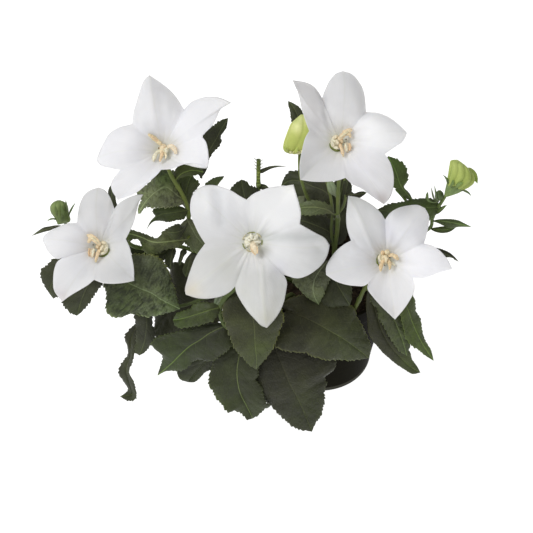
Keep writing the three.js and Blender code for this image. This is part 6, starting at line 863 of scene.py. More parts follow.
# Petal colour paints light and shade: the per-lobe multipliers (lobes) are painted light, lighter on lobes turned to
# the key light and darker on lobes turned away; the tints and bands are painted light and shade, with a few own tones
# such as the yellowish and pinkish tips.
COROLLA = {
    # lobes in order: top, right, lower right, lower left, left
    "top_left": dict(fold=[0.3, 0.2, 0.3, 0.5, 0.5], recurve=[1.0, 0.0, 0.0, 1.0, 0.8], tilt=[0.5, -3.5, -2.5, 0.0, 0.5],
        lobes=[(0.91, 0.91, 0.915), (1.16, 1.155, 1.21), (1.18, 1.175, 1.22), (1.16, 1.155, 1.20), (1.04, 1.035, 1.07)],
        valley=0.6, pleat=0.2, phase=0.4, seed=3, bell=0.56,
        segs=[(152, 151, 112, 147, 1.6, 0.35, 0.1), (152, 154, 114, 154, 1.5, -0.35, -0.1), (152, 157, 118, 161, 1.6, 0.3, 0.1), (150, 147, 116, 141, 1.5, -0.3, -0.1),
              (176, 112, 172, 138, 2.2, 0.5, 0.3), (160, 96, 164, 128, 3.0, -0.5, -0.4), (150, 92, 154, 126, 2.4, 0.4, 0.3), (168, 100, 170, 126, 2.0, 0.3, 0.2)],
        painted_light_and_tone_tints=[(150, 82, 9, (1.05, 1.05, 1.05), 0.6), (144, 134, 7, (0.86, 0.87, 0.88), 0.5), (207, 165, 5, (0.80, 0.80, 0.80), 0.6), (228, 103, 8, (1.12, 1.12, 1.06), 0.7)],
        painted_shading_bands=[(161, 92, 166, 128, 4.5, (0.90, 0.90, 0.92), 0.6), (135, 112, 137, 124, 2.0, (0.88, 0.88, 0.88), 0.4)]),
    # lobes in order: upper left, top, right, lower right, lower left
    "top_right": dict(fold=[0.4, 0.3, 0.3, 0.4, 0.4], recurve=[1.6, 1.0, 0.0, 2.2, 1.6], tilt=[1.5, 0.5, -4.5, 0.0, 1.0],
        lobes=[(0.74, 0.735, 0.735), (0.88, 0.88, 0.88), (1.19, 1.19, 1.21), (0.98, 0.97, 0.98), (0.96, 0.96, 0.96)],
        valley=0.7, pleat=0.22, phase=1.1, seed=13, bell=0.56,
        segs=[(324, 108, 332, 137, 1.5, -0.8, -0.5), (328, 110, 335, 135, 1.4, 0.5, 0.2), (320, 112, 329, 139, 1.5, 0.4, 0.2), (316, 134, 330, 146, 1.5, -0.5, -0.4), (318, 131, 329, 141, 1.3, 0.4, 0.2),
              (352, 134, 392, 127, 2.2, -0.4, -0.3), (352, 140, 396, 136, 2.2, 0.5, 0.3), (352, 146, 384, 147, 2.0, -0.3, -0.1), (350, 155, 384, 186, 3.0, 0.5, 0.4), (306, 168, 330, 154, 3.0, 0.4, 0.4)],
        painted_light_and_tone_tints=[(384, 201, 7, (0.60, 0.56, 0.55), 0.9), (343, 78, 9, (1.07, 1.07, 1.07), 0.7), (310, 172, 9, (0.89, 0.89, 0.88), 0.6), (362, 168, 12, (1.08, 1.075, 1.12), 0.6), (330, 160, 7, (1.05, 1.05, 1.05), 0.5)],
        painted_shading_bands=[(328, 98, 360, 116, 6.0, (0.88, 0.88, 0.885), 0.65), (312, 98, 318, 120, 4.0, (0.90, 0.90, 0.90), 0.5), (387, 160, 390, 184, 3.0, (0.90, 0.90, 0.90), 0.5)]),
    # lobes in order: top, upper right, lower right, lower left, left
    "left": dict(fold=[0.7, 0.7, 0.7, 0.6, 0.3], recurve=[1.6, 2.4, 2.2, 1.8, 0.0], tilt=[3.0, 4.0, 4.5, 1.5, -2.0],
        lobes=[(0.79, 0.79, 0.795), (0.83, 0.83, 0.83), (0.89, 0.89, 0.885), (0.95, 0.95, 0.96), (0.97, 0.965, 0.99)],
        valley=0.7, pleat=0.22, phase=2.0, seed=23, bell=0.56,
        segs=[(116, 214, 107, 240, 1.5, -0.8, -0.5), (112, 214, 104, 238, 1.4, 0.5, 0.2), (120, 218, 110, 242, 1.5, 0.4, 0.2), (124, 240, 110, 249, 1.5, -0.5, -0.4), (122, 236, 111, 244, 1.3, 0.4, 0.2),
              (88, 240, 50, 233, 2.2, -0.4, -0.3), (88, 245, 48, 242, 2.2, 0.5, 0.3), (88, 251, 58, 253, 2.0, -0.3, -0.1), (90, 261, 62, 290, 3.0, 0.5, 0.4), (132, 272, 108, 258, 3.0, 0.4, 0.4)],
        painted_light_and_tone_tints=[(60, 297, 7, (0.76, 0.71, 0.72), 0.75), (97, 192, 8, (1.0, 1.0, 1.0), 0.5), (121, 271, 9, (0.80, 0.80, 0.80), 0.6), (116, 251, 6, (1.0, 1.0, 1.0), 0.6), (80, 262, 9, (1.02, 1.02, 1.05), 0.6)],
        painted_shading_bands=[(100, 208, 106, 234, 4.5, (0.80, 0.80, 0.81), 0.55), (128, 200, 122, 226, 4.0, (0.82, 0.82, 0.82), 0.5)]),
    # lobes in order: upper left, upper right, right, bottom, lower left
    "center": dict(fold=[0.5, 0.5, 0.6, 0.6, 0.6], recurve=[0.5, 0.0, 2.0, 3.0, 2.0], tilt=[0.5, -1.0, 2.0, 3.0, 2.0],
        lobes=[(1.05, 1.05, 1.055), (1.18, 1.18, 1.18), (0.94, 0.94, 0.93), (0.85, 0.85, 0.815), (0.885, 0.885, 0.85)],
        valley=0.7, pleat=0.3, phase=0.0, seed=33, bell=0.58,
        segs=[(216, 190, 220, 224, 3.0, -1.1, -0.6), (207, 190, 211, 222, 3.0, 0.6, 0.4), (226, 196, 232, 218, 3.2, 0.5, 0.4), (262, 266, 265.5, 322, 1.6, 0.7, 0.5),
              (240, 250, 200, 287, 2.2, 0.6, 0.4), (264, 236, 318, 237, 3.0, -0.9, -0.5), (270, 252, 306, 254, 4.5, 1.0, 0.5), (316, 246, 326, 252, 2.2, -0.6, -0.5), (306, 262, 318, 268, 3.0, -0.4, -0.3),
              (274, 276, 280, 300, 3.5, -1.0, -0.6), (246.7, 229, 236, 214, 1.4, 0.5, 0.2), (260, 231.7, 270, 215, 1.4, 0.5, 0.2), (252, 228, 252, 212, 1.2, -0.35, -0.1), (242, 232, 226, 220, 1.3, -0.35, -0.1),
              (210, 241, 240, 242, 1.6, 0.4, 0.3), (243, 254, 236, 268, 1.2, -0.35, -0.1), (249, 258, 246, 280, 1.3, -0.35, -0.15)],
        # the darkest centre tint, right of the pistil, is the pistil's painted cast shadow
        painted_light_and_tone_tints=[(199, 203, 8, (1.25, 1.25, 1.26), 0.9), (228, 217, 6, (0.93, 0.93, 0.94), 0.5), (264, 250.5, 5.0, (0.50, 0.51, 0.49), 0.85), (286, 203, 12, (1.08, 1.08, 1.08), 0.6), (278, 268, 6, (1.0, 0.99, 1.06), 0.7), (291, 189, 6, (1.12, 1.11, 1.02), 0.7),
               (191, 292, 8, (1.0, 0.92, 0.80), 0.9), (267, 322, 9, (0.86, 0.85, 0.76), 0.7), (287, 252, 9, (1.10, 1.10, 1.10), 0.7), (320, 260, 8, (0.82, 0.83, 0.82), 0.8), (228, 270, 10, (0.86, 0.87, 0.83), 0.6), (318, 250, 3, (0.82, 0.83, 0.82), 0.5)],
        painted_shading_bands=[(218, 192, 221, 222, 3.2, (0.80, 0.81, 0.81), 0.85), (264, 237, 322, 237, 4.0, (0.74, 0.765, 0.75), 0.8), (277, 274, 282, 296, 4.5, (0.78, 0.79, 0.79), 0.75), (274, 300, 272, 320, 4.0, (0.84, 0.84, 0.80), 0.6), (262, 264, 265.5, 322, 1.3, (0.99, 0.99, 0.95), 0.6), (244, 292, 256, 316, 4.0, (0.93, 0.94, 0.89), 0.5)]),
    # lobes in order: upper left, upper right, right, bottom, left
    "right": dict(fold=[0.6, 0.5, 0.4, 0.4, 0.4], recurve=[1.4, 1.4, 0.0, 1.0, 1.2], tilt=[1.0, -1.0, -6.0, -3.0, 0.0],
        lobes=[(0.93, 0.93, 0.93), (1.14, 1.13, 1.18), (1.23, 1.225, 1.30), (1.05, 1.045, 1.06), (1.09, 1.085, 1.11)],
        valley=0.7, pleat=0.22, phase=2.7, seed=43, bell=0.56,
        segs=[(375, 254, 353, 204, 1.6, 0.8, 0.5), (379, 250, 366, 214, 3.0, -0.5, -0.4), (384, 246, 388, 226, 2.4, -0.6, -0.4), (394, 246, 412, 222, 1.8, 0.6, 0.4), (388, 248, 391, 232, 1.4, 0.5, 0.2), (400, 248, 418, 232, 2.5, -0.4, -0.3),
              (356, 245, 373, 257, 1.4, -0.7, -0.4), (352, 250, 370, 260, 1.5, 0.5, 0.3), (346, 256, 370, 262, 1.5, -0.4, -0.2), (344, 262, 370, 265, 1.5, 0.4, 0.3), (398, 258, 440, 262, 1.8, 0.4, 0.3), (398, 264, 434, 269, 1.6, -0.3, -0.2),
              (392, 274, 395, 310, 2.4, 0.4, 0.4), (386, 276, 380, 298, 2.2, -0.3, -0.2)],
        painted_light_and_tone_tints=[(395, 315, 8, (0.84, 0.835, 0.80), 0.75), (338, 275, 8, (0.93, 0.93, 0.93), 0.6), (418, 209, 7, (1.12, 1.115, 1.12), 0.6), (418, 234, 7, (0.94, 0.93, 0.97), 0.6), (350, 200, 6, (1.05, 1.05, 1.04), 0.6), (424, 243, 2.5, (0.62, 0.62, 0.62), 0.6)],
        painted_shading_bands=[(382, 250, 364, 212, 4.5, (0.86, 0.86, 0.86), 0.65), (392, 240, 387, 224, 4.0, (0.80, 0.80, 0.83), 0.65), (404, 232, 398, 242, 3.0, (0.92, 0.92, 0.93), 0.5), (375, 254, 353, 204, 1.6, (1.04, 1.04, 1.03), 0.6)]),
}


# ------------------------------------------------------------------ all leaves
def build_leaves():
    for i, (name, v) in enumerate(LEAVES.items()):
        o = dict(LEAF_DEFAULT)
        o.update(LEAF_OPT.get(name, {}))
        L = arclen(curve(v["mid"]))[-1]
        o.setdefault("veins", max(4.0, L / 8.5))
        me = Mesh()
        leaf_into(me, 100 + i, v["mid"], v["a"], v["b"], **o)
        me.build("blade_" + name[5:], [LEAF_M], [name])
    for i, (name, v) in enumerate(SMALL.items()):
        o = dict(LEAF_DEFAULT, tooth=0.5, pitch=1.8, quilt=0.16, wave=0.25, lump=0.2, petiole=0.4, step=0.32)
        o.update(LEAF_OPT.get(name, {}))
        L = arclen(curve(v["mid"]))[-1]
        o.setdefault("veins", max(3.0, L / 5.0))
        me = Mesh()
        leaf_into(me, 300 + i, v["mid"], v["a"], v["b"], **o)
        me.build("leaflet_" + name, [LEAF_M], [v["stem"]])

def blade_px(mesh, seed, mid, widths, twist=0.0, **kw):
    """A small plain blade from a midline in the picture: (px, py, w) points and widths in px."""
    mid = [tuple(map(float, p)) for p in mid]
    n = len(mid)
    A, B = [], []
    for i in range(1, n - 1):
        d = np.array(mid[i + 1][:2]) - np.array(mid[i - 1][:2])
        d = d / max(np.linalg.norm(d), 1e-6)
        nrm = np.array([-d[1], d[0]]) * widths[i] / 2
        A.append(mm(mid[i][0] + nrm[0], mid[i][1] + nrm[1], mid[i][2] + twist * widths[i] * 0.27))
        B.append(mm(mid[i][0] - nrm[0], mid[i][1] - nrm[1], mid[i][2] - twist * widths[i] * 0.27))
    o = dict(tooth=0.0, quilt=0.03, wave=0.08, lump=0.08, petiole=0.35, step=0.3, veins=3.0, thick=0.3, arch=0.08)
    o.update(kw)
    leaf_into(mesh, seed, [mm(*p) for p in mid], A, B, **o)

# ------------------------------------------------------------------ corollas
def seg_field(XY, segs):
    """Sum of soft ridges in the picture plane: (x0, y0, x1, y1, sigma px, height at start, height at end)."""
    h = np.zeros(XY.shape[:-1])
    for x0, y0, x1, y1, sg, a0, a1 in segs:
        d = np.array([x1 - x0, y1 - y0])
        L2 = float(d @ d) + 1e-9
        t = ((XY[..., 0] - x0) * d[0] + (XY[..., 1] - y0) * d[1]) / L2
        tc = np.clip(t, 0, 1)
        dx = XY[..., 0] - (x0 + tc * d[0])
        dy = XY[..., 1] - (y0 + tc * d[1])
        h += np.exp(-(dx * dx + dy * dy) / (2 * sg * sg)) * (a0 + (a1 - a0) * tc)
    return h

SURF = {}

def corolla(name, f, o):
    rim, throat = np.array(f["rim"]), np.array(f["throat"])
    NK = 23
    notch = np.array(f["notch"])
    loop, fold, rec = [], [], []
    for k in range(5):
        up, tip, down = f["lobes"][k]
        e1 = curve([notch[k]] + up + [tip])
        e2 = curve([tip] + down + [notch[(k + 1) % 5]])
        q = np.linspace(0, 1, NK, endpoint=False)
        loop += [at(e1, q), at(e2, q)]
        fold += [o["fold"][k]] * (2 * NK)
        rec += [o["recurve"][k]] * (2 * NK)
    E = np.vstack(loop)
    fold, rec = np.array(fold), np.array(rec)
    n = len(E)
    idx = np.arange(n)
    phi = ((idx % (2 * NK)) - NK) / NK
    R = float(np.mean(np.linalg.norm(notch - rim, axis=1)))
    NR = 46
    u = np.linspace(0, 1, NR + 1)[1:]
    s = (u ** 0.92)[:, None]
    d = throat - rim
    away = unit(d)
    D = E - rim
    dist = np.linalg.norm(D, axis=1)
    x = s * dist[None, :] / R
    # the rows run out evenly from the throat and bend to the outline only near the margin
    e1_ = unit(np.cross(away, [0.31, 0.77, 0.55])); e2_ = np.cross(away, e1_)
    th_ = np.unwrap(np.arctan2(D @ e2_, D @ e1_))
    turn = np.sign(th_[-1] - th_[0]) * 2 * math.pi
    nth = np.array([th_[k * 2 * NK] for k in range(5)] + [th_[0] + turn])
    lin = 0.6 * np.interp(idx, np.arange(6) * 2 * NK, nth) + 0.4 * th_
    U_ = np.cos(lin)[:, None] * e1_ + np.sin(lin)[:, None] * e2_
    wq = (s ** 2.5)[..., None]
    P = rim + (s * dist[None, :])[..., None] * (U_[None] * (1 - wq) + (D / dist[:, None])[None] * wq) + d * np.exp(-(x / o["bell"]) ** 2)[..., None]
    tipd = np.array([dist[(i // (2 * NK)) * 2 * NK + NK] for i in range(n)]) / R
    out = np.clip((x - 0.75) / (tipd[None, :] - 0.75), 0, 1.2)
    h = np.zeros_like(x)
    lc = idx / (2 * NK)                                   # lobe k runs from k to k + 1
    def per_lobe(vals):
        v = np.array(vals, float)
        k = np.floor(lc).astype(int)
        fr_ = lc - k
        lo, hi = v[(k - 1) % 5], v[(k + 1) % 5]
        me_ = v[k]
        a_ = 0.5 * (1 - sstep(0.0, 0.16, fr_)); b_ = 0.5 * sstep(0.84, 1.0, fr_)
        if v.ndim > 1: a_, b_ = a_[:, None], b_[:, None]
        return me_ * (1 - a_ - b_) + lo * a_ + hi * b_
    h -= rec[None, :] * out ** 2.2 * (1 - 0.35 * (1 - np.cos(np.pi * phi))[None, :] * 0.5)
    h -= per_lobe(o["tilt"])[None, :] * np.clip((x - 0.55) / (tipd[None, :] - 0.55), 0, 1.2) ** 1.25
    h += 0.45 * fold[None, :] * (np.exp(-(phi / 0.42) ** 2) - 0.4)[None, :] * sstep(0.25, 0.8, x) * (1 - 0.35 * out) * (1 - 0.8 * sstep(0.7, 1.0, s))
    h -= o["valley"] * np.exp(-((np.abs(phi) - 1) / 0.16) ** 2)[None, :] * sstep(0.18, 0.6, x) * (1 - 0.5 * sstep(0.9, 1.0, s))
    # radiating pleats of the throat
    ang = idx / n * 2 * math.pi
    h += 0.6 * o["pleat"] * np.cos(10 * ang + o["phase"])[None, :] * np.exp(-((x - 0.42) / 0.2) ** 2)
    h += 0.3 * o["pleat"] * np.cos(23 * ang + 1.0)[None, :] * np.exp(-((x - 0.38) / 0.2) ** 2)
    # gently waved margin and soft unevenness
    h += 0.38 * np.sin(ang * 13 + o["phase"])[None, :] * s ** 7
    h += 0.18 * np.sin(ang * 31 + 2.0)[None, :] * s ** 9
    h += 0.30 * vnoise(P, 0.10, o["seed"]) * sstep(0.2, 0.6, x)
    h += 0.07 * vnoise(P, 0.33, o["seed"] + 1)
    XY = topx(P)[..., :2]
    h += seg_field(XY, o["segs"])
    P = P - away * h[..., None]
    # colour: the green throat, spokes, margin and midline are the petals' own; the per-lobe multipliers, tints and
    # bands paint light and shade
    col = np.ones(P.shape)
    def paint(mask, c, k=1.0):
        nonlocal col
        w = np.clip(mask * k, 0, 1)[..., None]
        col = col * (1 - w) + col * np.array(c) * w
    paint(np.exp(-(x / 0.22) ** 2), (0.84, 0.88, 0.64), 0.7)
    spoke = np.clip(np.cos(20 * ang + 0.6), 0, 1)[None, :] ** 2 * np.exp(-((x - 0.34) / 0.14) ** 2)
    paint(spoke, (0.88, 0.90, 0.80), 0.3)
    lobe_light = per_lobe(o["lobes"])[None, :, :]
    wl = sstep(0.25, 0.75, x)[..., None]
    col = col * (1 - wl) + col * lobe_light * wl
    edge = sstep(0.93, 1.0, s) * np.ones_like(x)
    paint(edge, (1.02, 1.01, 1.0), 0.5)
    mid = np.exp(-(phi / 0.03) ** 2)[None, :] * sstep(0.35, 0.6, x)
    paint(mid, (0.95, 0.96, 0.90), 0.5)
    for cx, cy, sg, c, k in o["painted_light_and_tone_tints"]:
        m_ = np.exp(-((XY[..., 0] - cx) ** 2 + (XY[..., 1] - cy) ** 2) / (2 * sg * sg))
        paint(m_, c, k)
    for x0, y0, x1, y1, sg, c, k in o["painted_shading_bands"]:
        paint(seg_field(XY, [(x0, y0, x1, y1, sg, 1.0, 1.0)]), c, k)
    N = grid_normals(P, wrap=True)
    sgn = 1.0 if np.mean(N @ VIEW) > 0 else -1.0
    N = N * sgn
    th = 0.30 * (1 - 0.7 * sstep(0.93, 1.0, s)) + 0.35 * np.exp(-(x / 0.2) ** 2)
    top = P + N * (th / 2)[..., None]
    bot = P - N * (th / 2)[..., None]
    # raised ribs on the outside, one down each lobe and one to each notch
    ribs = np.exp(-(phi / 0.05) ** 2) + 0.7 * np.exp(-((np.abs(phi) - 1) / 0.05) ** 2)
    bot = bot - N * (0.28 * ribs[None, :] * (1 - 0.75 * sstep(0.5, 1.0, s)) * sstep(0.05, 0.2, x))[..., None]
    pt, pb = throat + N[0].mean(0) * 0.2 - away * h[0].mean(), throat - N[0].mean(0) * 0.45 - away * h[0].mean()
    m = Mesh()
    cb = np.ones(P.shape)
    w = np.exp(-(x / 0.55) ** 2)[..., None]
    cb = cb * (1 - w) + cb * np.array([0.72, 0.82, 0.50]) * w
    w = (ribs[None, :] * (1 - 0.6 * s))[..., None] * 0.5
    w = np.clip(w, 0, 1)
    cb = cb * (1 - w) + cb * np.array([0.78, 0.86, 0.62]) * w
    # the outermost ring is shared by both sides
    V = np.concatenate([top[:-1].reshape(-1, 3), bot[:-1].reshape(-1, 3), P[-1], [pt], [pb]])
    C = np.concatenate([col[:-1].reshape(-1, 3), cb[:-1].reshape(-1, 3), col[-1], [col[0].mean(0)], [cb[0].mean(0)]])
    X = np.concatenate([x[:-1].ravel(), x[:-1].ravel(), x[-1], [0], [0]])
    A = np.tile(idx / NK, (NR - 1, 1)).ravel()
    A = np.concatenate([A, A, idx / NK, [0], [0]])
    nr = NR - 1
    T0, B0, E0 = 0, nr * n, 2 * nr * n
    PT, PB = E0 + n, E0 + n + 1
    faces = []
    for i in range(nr):
        for j in range(n):
            j2 = (j + 1) % n
            a_, b_ = T0 + i * n + j, T0 + i * n + j2
            c_, d_ = (T0 + (i + 1) * n + j2, T0 + (i + 1) * n + j) if i < nr - 1 else (E0 + j2, E0 + j)
            fa = (a_, b_, c_, d_)
            a2, b2 = B0 + i * n + j, B0 + i * n + j2
            c2, d2 = (B0 + (i + 1) * n + j2, B0 + (i + 1) * n + j) if i < nr - 1 else (E0 + j2, E0 + j)
            fb = (a2, d2, c2, b2)
            if sgn < 0: fa, fb = fa[::-1], fb[::-1]
            faces += [fa, fb]
    for j in range(n):
        j2 = (j + 1) % n
        fa, fb = (PT, T0 + j2, T0 + j), (PB, B0 + j, B0 + j2)
        if sgn < 0: fa, fb = fa[::-1], fb[::-1]
        faces += [fa, fb]
    m.add(V, faces, C, 0, pr=X, pa=A)
    m.build("corolla_" + name, [PETAL_M], ["petals_" + name])
    tp = topx(top.reshape(-1, 3))
    SURF[name] = (tp, topx(throat)[2])

def surf_w(name, x, y):
    tp, _ = SURF[name]
    d2 = (tp[:, 0] - x) ** 2 + (tp[:, 1] - y) ** 2
    k = np.argpartition(d2, 6)[:6]
    w = 1 / (d2[k] + 0.05)
    return float(np.sum(tp[k, 2] * w) / np.sum(w))

# ------------------------------------------------------------------ stamens and style
def pale_with_painted_light(c):
    """The flesh of the style and anthers is pale: strong colours are drawn towards cream and scaled by 0.8 to 1.15 with
    their brightness; the lift of the brightest is painted light that offsets the shade among the anthers.
    """
    if c is None: return None
    c = np.asarray(c, float)
    if c.sum() < 0.9: return c
    return np.minimum((c * 0.5 + np.array([0.88, 0.78, 0.60]) * 0.5) * (0.55 + 0.6 * min(1.0, c.max() / 0.66)), 0.93)

def strap(mesh, pts, widths, thick, col, sides=14, seed=1, tipcol=None, edgecol=None, cup=0.0):
    """A flattened fleshy strap through (px, py, w) points; widths in px, thickness in mm."""
    C = curve([mm(*p) for p in pts], 12)
    col, tipcol, edgecol = pale_with_painted_light(col), pale_with_painted_light(tipcol), pale_with_painted_light(edgecol)
    widths = [v * 1.02 for v in widths]
    L = arclen(C)[-1]
    n = max(10, int(L / 0.22))
    q = np.linspace(0, 1, n + 1)
    C = at(C, q)
    T = unit(np.gradient(C, axis=0))
    S = unit(np.cross(T, VIEW))
    Dv = unit(np.cross(S, T))
    Dv = Dv * np.sign(np.sum(Dv * VIEW, 1, keepdims=True))
    hw = np.interp(q, np.linspace(0, 1, len(widths)), widths) * 0.5 * 0.55
    hw = hw * np.sqrt(np.clip(1 - (2 * np.clip(q - 0.9, 0, 1) / 0.22) ** 2, 0.12, 1)) * np.sqrt(np.clip(1 - (2 * np.clip(0.06 - q, 0, 1) / 0.14) ** 2, 0.12, 1))
    ht = np.minimum(thick * 0.5, hw)
    ph = np.linspace(0, 2 * math.pi, sides, endpoint=False)
    cs, sn = np.cos(ph), np.sin(ph)
    wob = 1 + 0.18 * vnoise(C, 0.9, seed) + 0.10 * vnoise(C, 2.2, seed + 2)
    V = C[:, None, :] + (hw * wob)[:, None, None] * cs[None, :, None] * S[:, None, :] \
        + (ht[:, None] * sn[None, :] + cup * hw[:, None] * (cs ** 2)[None, :])[..., None] * Dv[:, None, :]
    V = V + (0.14 * vnoise(V, 1.5, seed + 4) + 0.07 * vnoise(V, 3.4, seed + 6))[..., None] * Dv[:, None, :]
    c = np.asarray(col, float)[None, None, :] * np.ones((n + 1, sides, 1))
    if tipcol is not None:
        w = sstep(0.72, 1.0, q)[:, None, None]
        c = c * (1 - w) + np.asarray(tipcol) * w
    if edgecol is not None:
        w = (np.abs(cs) ** 4)[None, :, None] * 0.8
        c = c * (1 - w) + np.asarray(edgecol) * w
    c = c * (1 + 0.22 * vnoise(V, 1.9, seed + 8) + 0.12 * vnoise(V, 4.5, seed + 9))[..., None]
    faces = ring_faces(n + 1, sides)
    faces.append(tuple(range(sides))[::-1])
    faces.append(tuple(n * sides + i for i in range(sides)))
    mesh.add(V.reshape(-1, 3), faces, c.reshape(-1, 3))

def blob(mesh, x, y, w, rx, ry, depth, ang=0.0, col=(1, 1, 1), seed=1, rough=0.12, spots=None, lobes=0, lobe_amp=0.0):
    """A rounded lump: half sizes rx, ry in px across the picture, depth in mm towards the camera."""
    na, nb = 18, 28
    col = pale_with_painted_light(col)
    if np.asarray(col).sum() < 0.6: rx, ry, depth = rx * 0.42, ry * 0.42, depth * 0.5
    else: rx, ry = rx * 0.92, ry * 0.92
    th = np.linspace(0, math.pi, na + 1)[1:-1]
    ph = np.linspace(0, 2 * math.pi, nb, endpoint=False)
    c0 = mm(x, y, w)
    ca, sa = math.cos(ang), math.sin(ang)
    U = RIGHT * ca - UPV * sa
    Wv = RIGHT * sa + UPV * ca
    V = [c0 + VIEW * depth]
    C = []
    for t in th:
        rad = math.sin(t) * (1 + lobe_amp * np.cos(lobes * ph))
        V.extend(c0 + (rad * np.cos(ph))[:, None] * U * rx * 0.55 + (rad * np.sin(ph))[:, None] * Wv * ry * 0.55 + VIEW * depth * math.cos(t))
    V.append(c0 - VIEW * depth)
    V = np.array(V)
    V = V + (V - c0) * (rough * vnoise(V, 1.1, seed) + 0.6 * rough * vnoise(V, 2.6, seed + 3) + 0.35 * rough * vnoise(V, 4.6, seed + 5))[:, None]
    col = np.asarray(col, float) * np.ones((len(V), 1))
    if spots:
        sc, k, fr = spots
        m_ = sstep(0.15, 0.5, vnoise(V, fr, seed + 9))[:, None] * k
        col = col * (1 - m_) + pale_with_painted_light(sc) * m_
    col = col * (1 + 0.20 * vnoise(V, 1.9, seed + 8) + 0.12 * vnoise(V, 4.5, seed + 9))[:, None]
    faces = []
    r = len(th)
    for j in range(nb):
        j2 = (j + 1) % nb
        faces.append((0, 1 + j, 1 + j2))
        faces.append((1 + (r - 1) * nb + j, 1 + r * nb, 1 + (r - 1) * nb + j2))
        for i in range(r - 1):
            faces.append((1 + i * nb + j, 1 + (i + 1) * nb + j, 1 + (i + 1) * nb + j2, 1 + i * nb + j2))
    mesh.add(V, faces, col)

CREAM = (0.80, 0.70, 0.50); ORANGE = (0.66, 0.36, 0.12); PINKC = (0.84, 0.66, 0.50); GREENY = (0.42, 0.46, 0.16)
PALE = (0.86, 0.80, 0.66); OLIVE = (0.20, 0.24, 0.07); DARKO = (0.24, 0.14, 0.05)

def stamens():
    def S(name): return lambda x, y, o: (x, y, surf_w(name, x, y) + o)
    # centre flower
    s = S("center"); m = Mesh(); t = SURF["center"][1]
    cx, cy = 252.3, 242.0
    blob(m, cx, cy, t + 0.4, 8.8, 8.6, 2.4, col=(0.93, 0.91, 0.82), seed=3, spots=(GREENY, 0.22, 1.2), rough=0.14)
    for k, (a0, a1) in enumerate([(-170, -128), (-122, -72), (-66, -25), (-15, 18), (95, 128), (134, 172)]):
        aa = np.radians(np.linspace(a0, a1, 7))
        strap(m, [(cx + 9.7 * math.cos(a), cy + 9.7 * math.sin(a), t + 2.0) for a in aa], [0.9, 1.6, 0.9], 1.1, (0.34, 0.37, 0.17) if k % 2 else (0.42, 0.45, 0.24), seed=k)
    for k, a in enumerate(np.radians([-150, -100, -50, 0, 150])):
        strap(m, [(cx + 8.6 * math.cos(a), cy + 8.6 * math.sin(a), t + 2.2), (cx + 5.0 * math.cos(a), cy + 5.0 * math.sin(a), t + 3.6), (cx + 2.0 * math.cos(a), cy + 2.0 * math.sin(a), t + 3.9)], [2.2, 3.0, 2.2], 1.2, (0.93, 0.91, 0.82), edgecol=(0.70, 0.70, 0.50), seed=20 + k)
    strap(m, [(252.6, 243.0, t + 2.5), (253.4, 246.2, t + 6.0), (254.6, 249.4, t + 8.2), (256.2, 253.8, t + 8.8)], [5.0, 5.4, 4.8, 2.4], 2.2, PINKC, edgecol=(0.62, 0.42, 0.20), tipcol=CREAM, seed=31)
    strap(m, [(250.8, 247.5, t + 6.0), (252.2, 251.5, t + 8.2), (255.8, 255.2, t + 9.0)], [1.6, 1.8, 1.2], 1.2, (0.56, 0.36, 0.16), seed=32)
    strap(m, [(256.2, 245.5, t + 6.0), (257.5, 249.5, t + 8.5), (257.4, 253.6, t + 9.2)], [1.5, 1.7, 1.1], 1.2, (0.66, 0.46, 0.24), seed=33)
    blob(m, 249.3, 239.6, t + 3.6, 1.2, 1.0, 0.7, col=OLIVE, seed=5)
    blob(m, 255.6, 239.4, t + 3.6, 1.1, 1.0, 0.7, col=OLIVE, seed=6)
    blob(m, 248.0, 246.2, t + 3.2, 1.0, 1.1, 0.7, col=OLIVE, seed=7)
    blob(m, 259.0, 244.8, t + 2.6, 1.2, 1.4, 0.8, col=DARKO, seed=8)
    m.build("anthers_center", [STAMEN_M], ["stamens_center"])

    # top left flower
    s = S("top_left"); m = Mesh(); t = SURF["top_left"][1]
    blob(m, 163.6, 149.8, t + 2.2, 4.6, 6.2, 3.6, col=CREAM, seed=11, spots=(PALE, 0.7, 0.9))
    blob(m, 163.4, 146.4, t + 5.0, 3.4, 2.8, 1.8, col=(0.70, 0.56, 0.34), seed=12, spots=(ORANGE, 0.6, 1.3))
    blob(m, 166.4, 150.0, t + 5.0, 2.4, 3.2, 1.8, col=PALE, seed=13)
    blob(m, 161.8, 152.4, t + 4.6, 2.4, 2.8, 1.8, col=(0.72, 0.58, 0.36), seed=14, spots=(ORANGE, 0.7, 1.4))
    strap(m, [s(148.2, 134.2, 1.0), s(152.2, 136.8, 1.7), s(156.6, 140.4, 2.4), (161.4, 144.6, t + 6.0)], [2.6, 4.6, 4.4, 3.2], 1.5, (0.76, 0.58, 0.28), edgecol=(0.58, 0.50, 0.14), seed=15, cup=0.25)
    strap(m, [s(150.6, 135.6, 2.2), s(155.2, 138.9, 2.9), s(159.4, 142.6, 3.3)], [0.9, 1.6, 1.0], 0.8, ORANGE, seed=16)
    strap(m, [(167.4, 146.8, t + 6.2), (171.2, 146.4, t + 6.8), (174.8, 149.6, t + 6.8), (176.0, 154.2, t + 6.2)], [3.2, 4.6, 4.6, 2.4], 1.7, PINKC, edgecol=ORANGE, seed=17, cup=0.2)
    strap(m, [(160.4, 151.0, t + 4.6), (157.0, 152.6, t + 5.2), (154.6, 156.6, t + 5.4), (153.4, 161.6, t + 5.4)], [2.4, 3.6, 3.8, 1.6], 1.3, PALE, edgecol=(0.56, 0.50, 0.16), seed=18)
    strap(m, [(162.6, 151.6, t + 5.4), (161.6, 155.6, t + 6.2), (159.8, 161.8, t + 6.6)], [2.8, 3.2, 1.8], 1.5, (0.70, 0.42, 0.16), edgecol=(0.60, 0.34, 0.10), seed=19)
    strap(m, [(164.8, 152.6, t + 5.0), (166.0, 156.0, t + 5.4), (165.2, 158.8, t + 5.2)], [2.2, 2.6, 1.4], 1.2, CREAM, seed=20)
    blob(m, 158.8, 148.2, t + 3.0, 1.6, 2.2, 1.2, col=DARKO, seed=21)
    m.build("anthers_top_left", [STAMEN_M], ["stamens_top_left"])

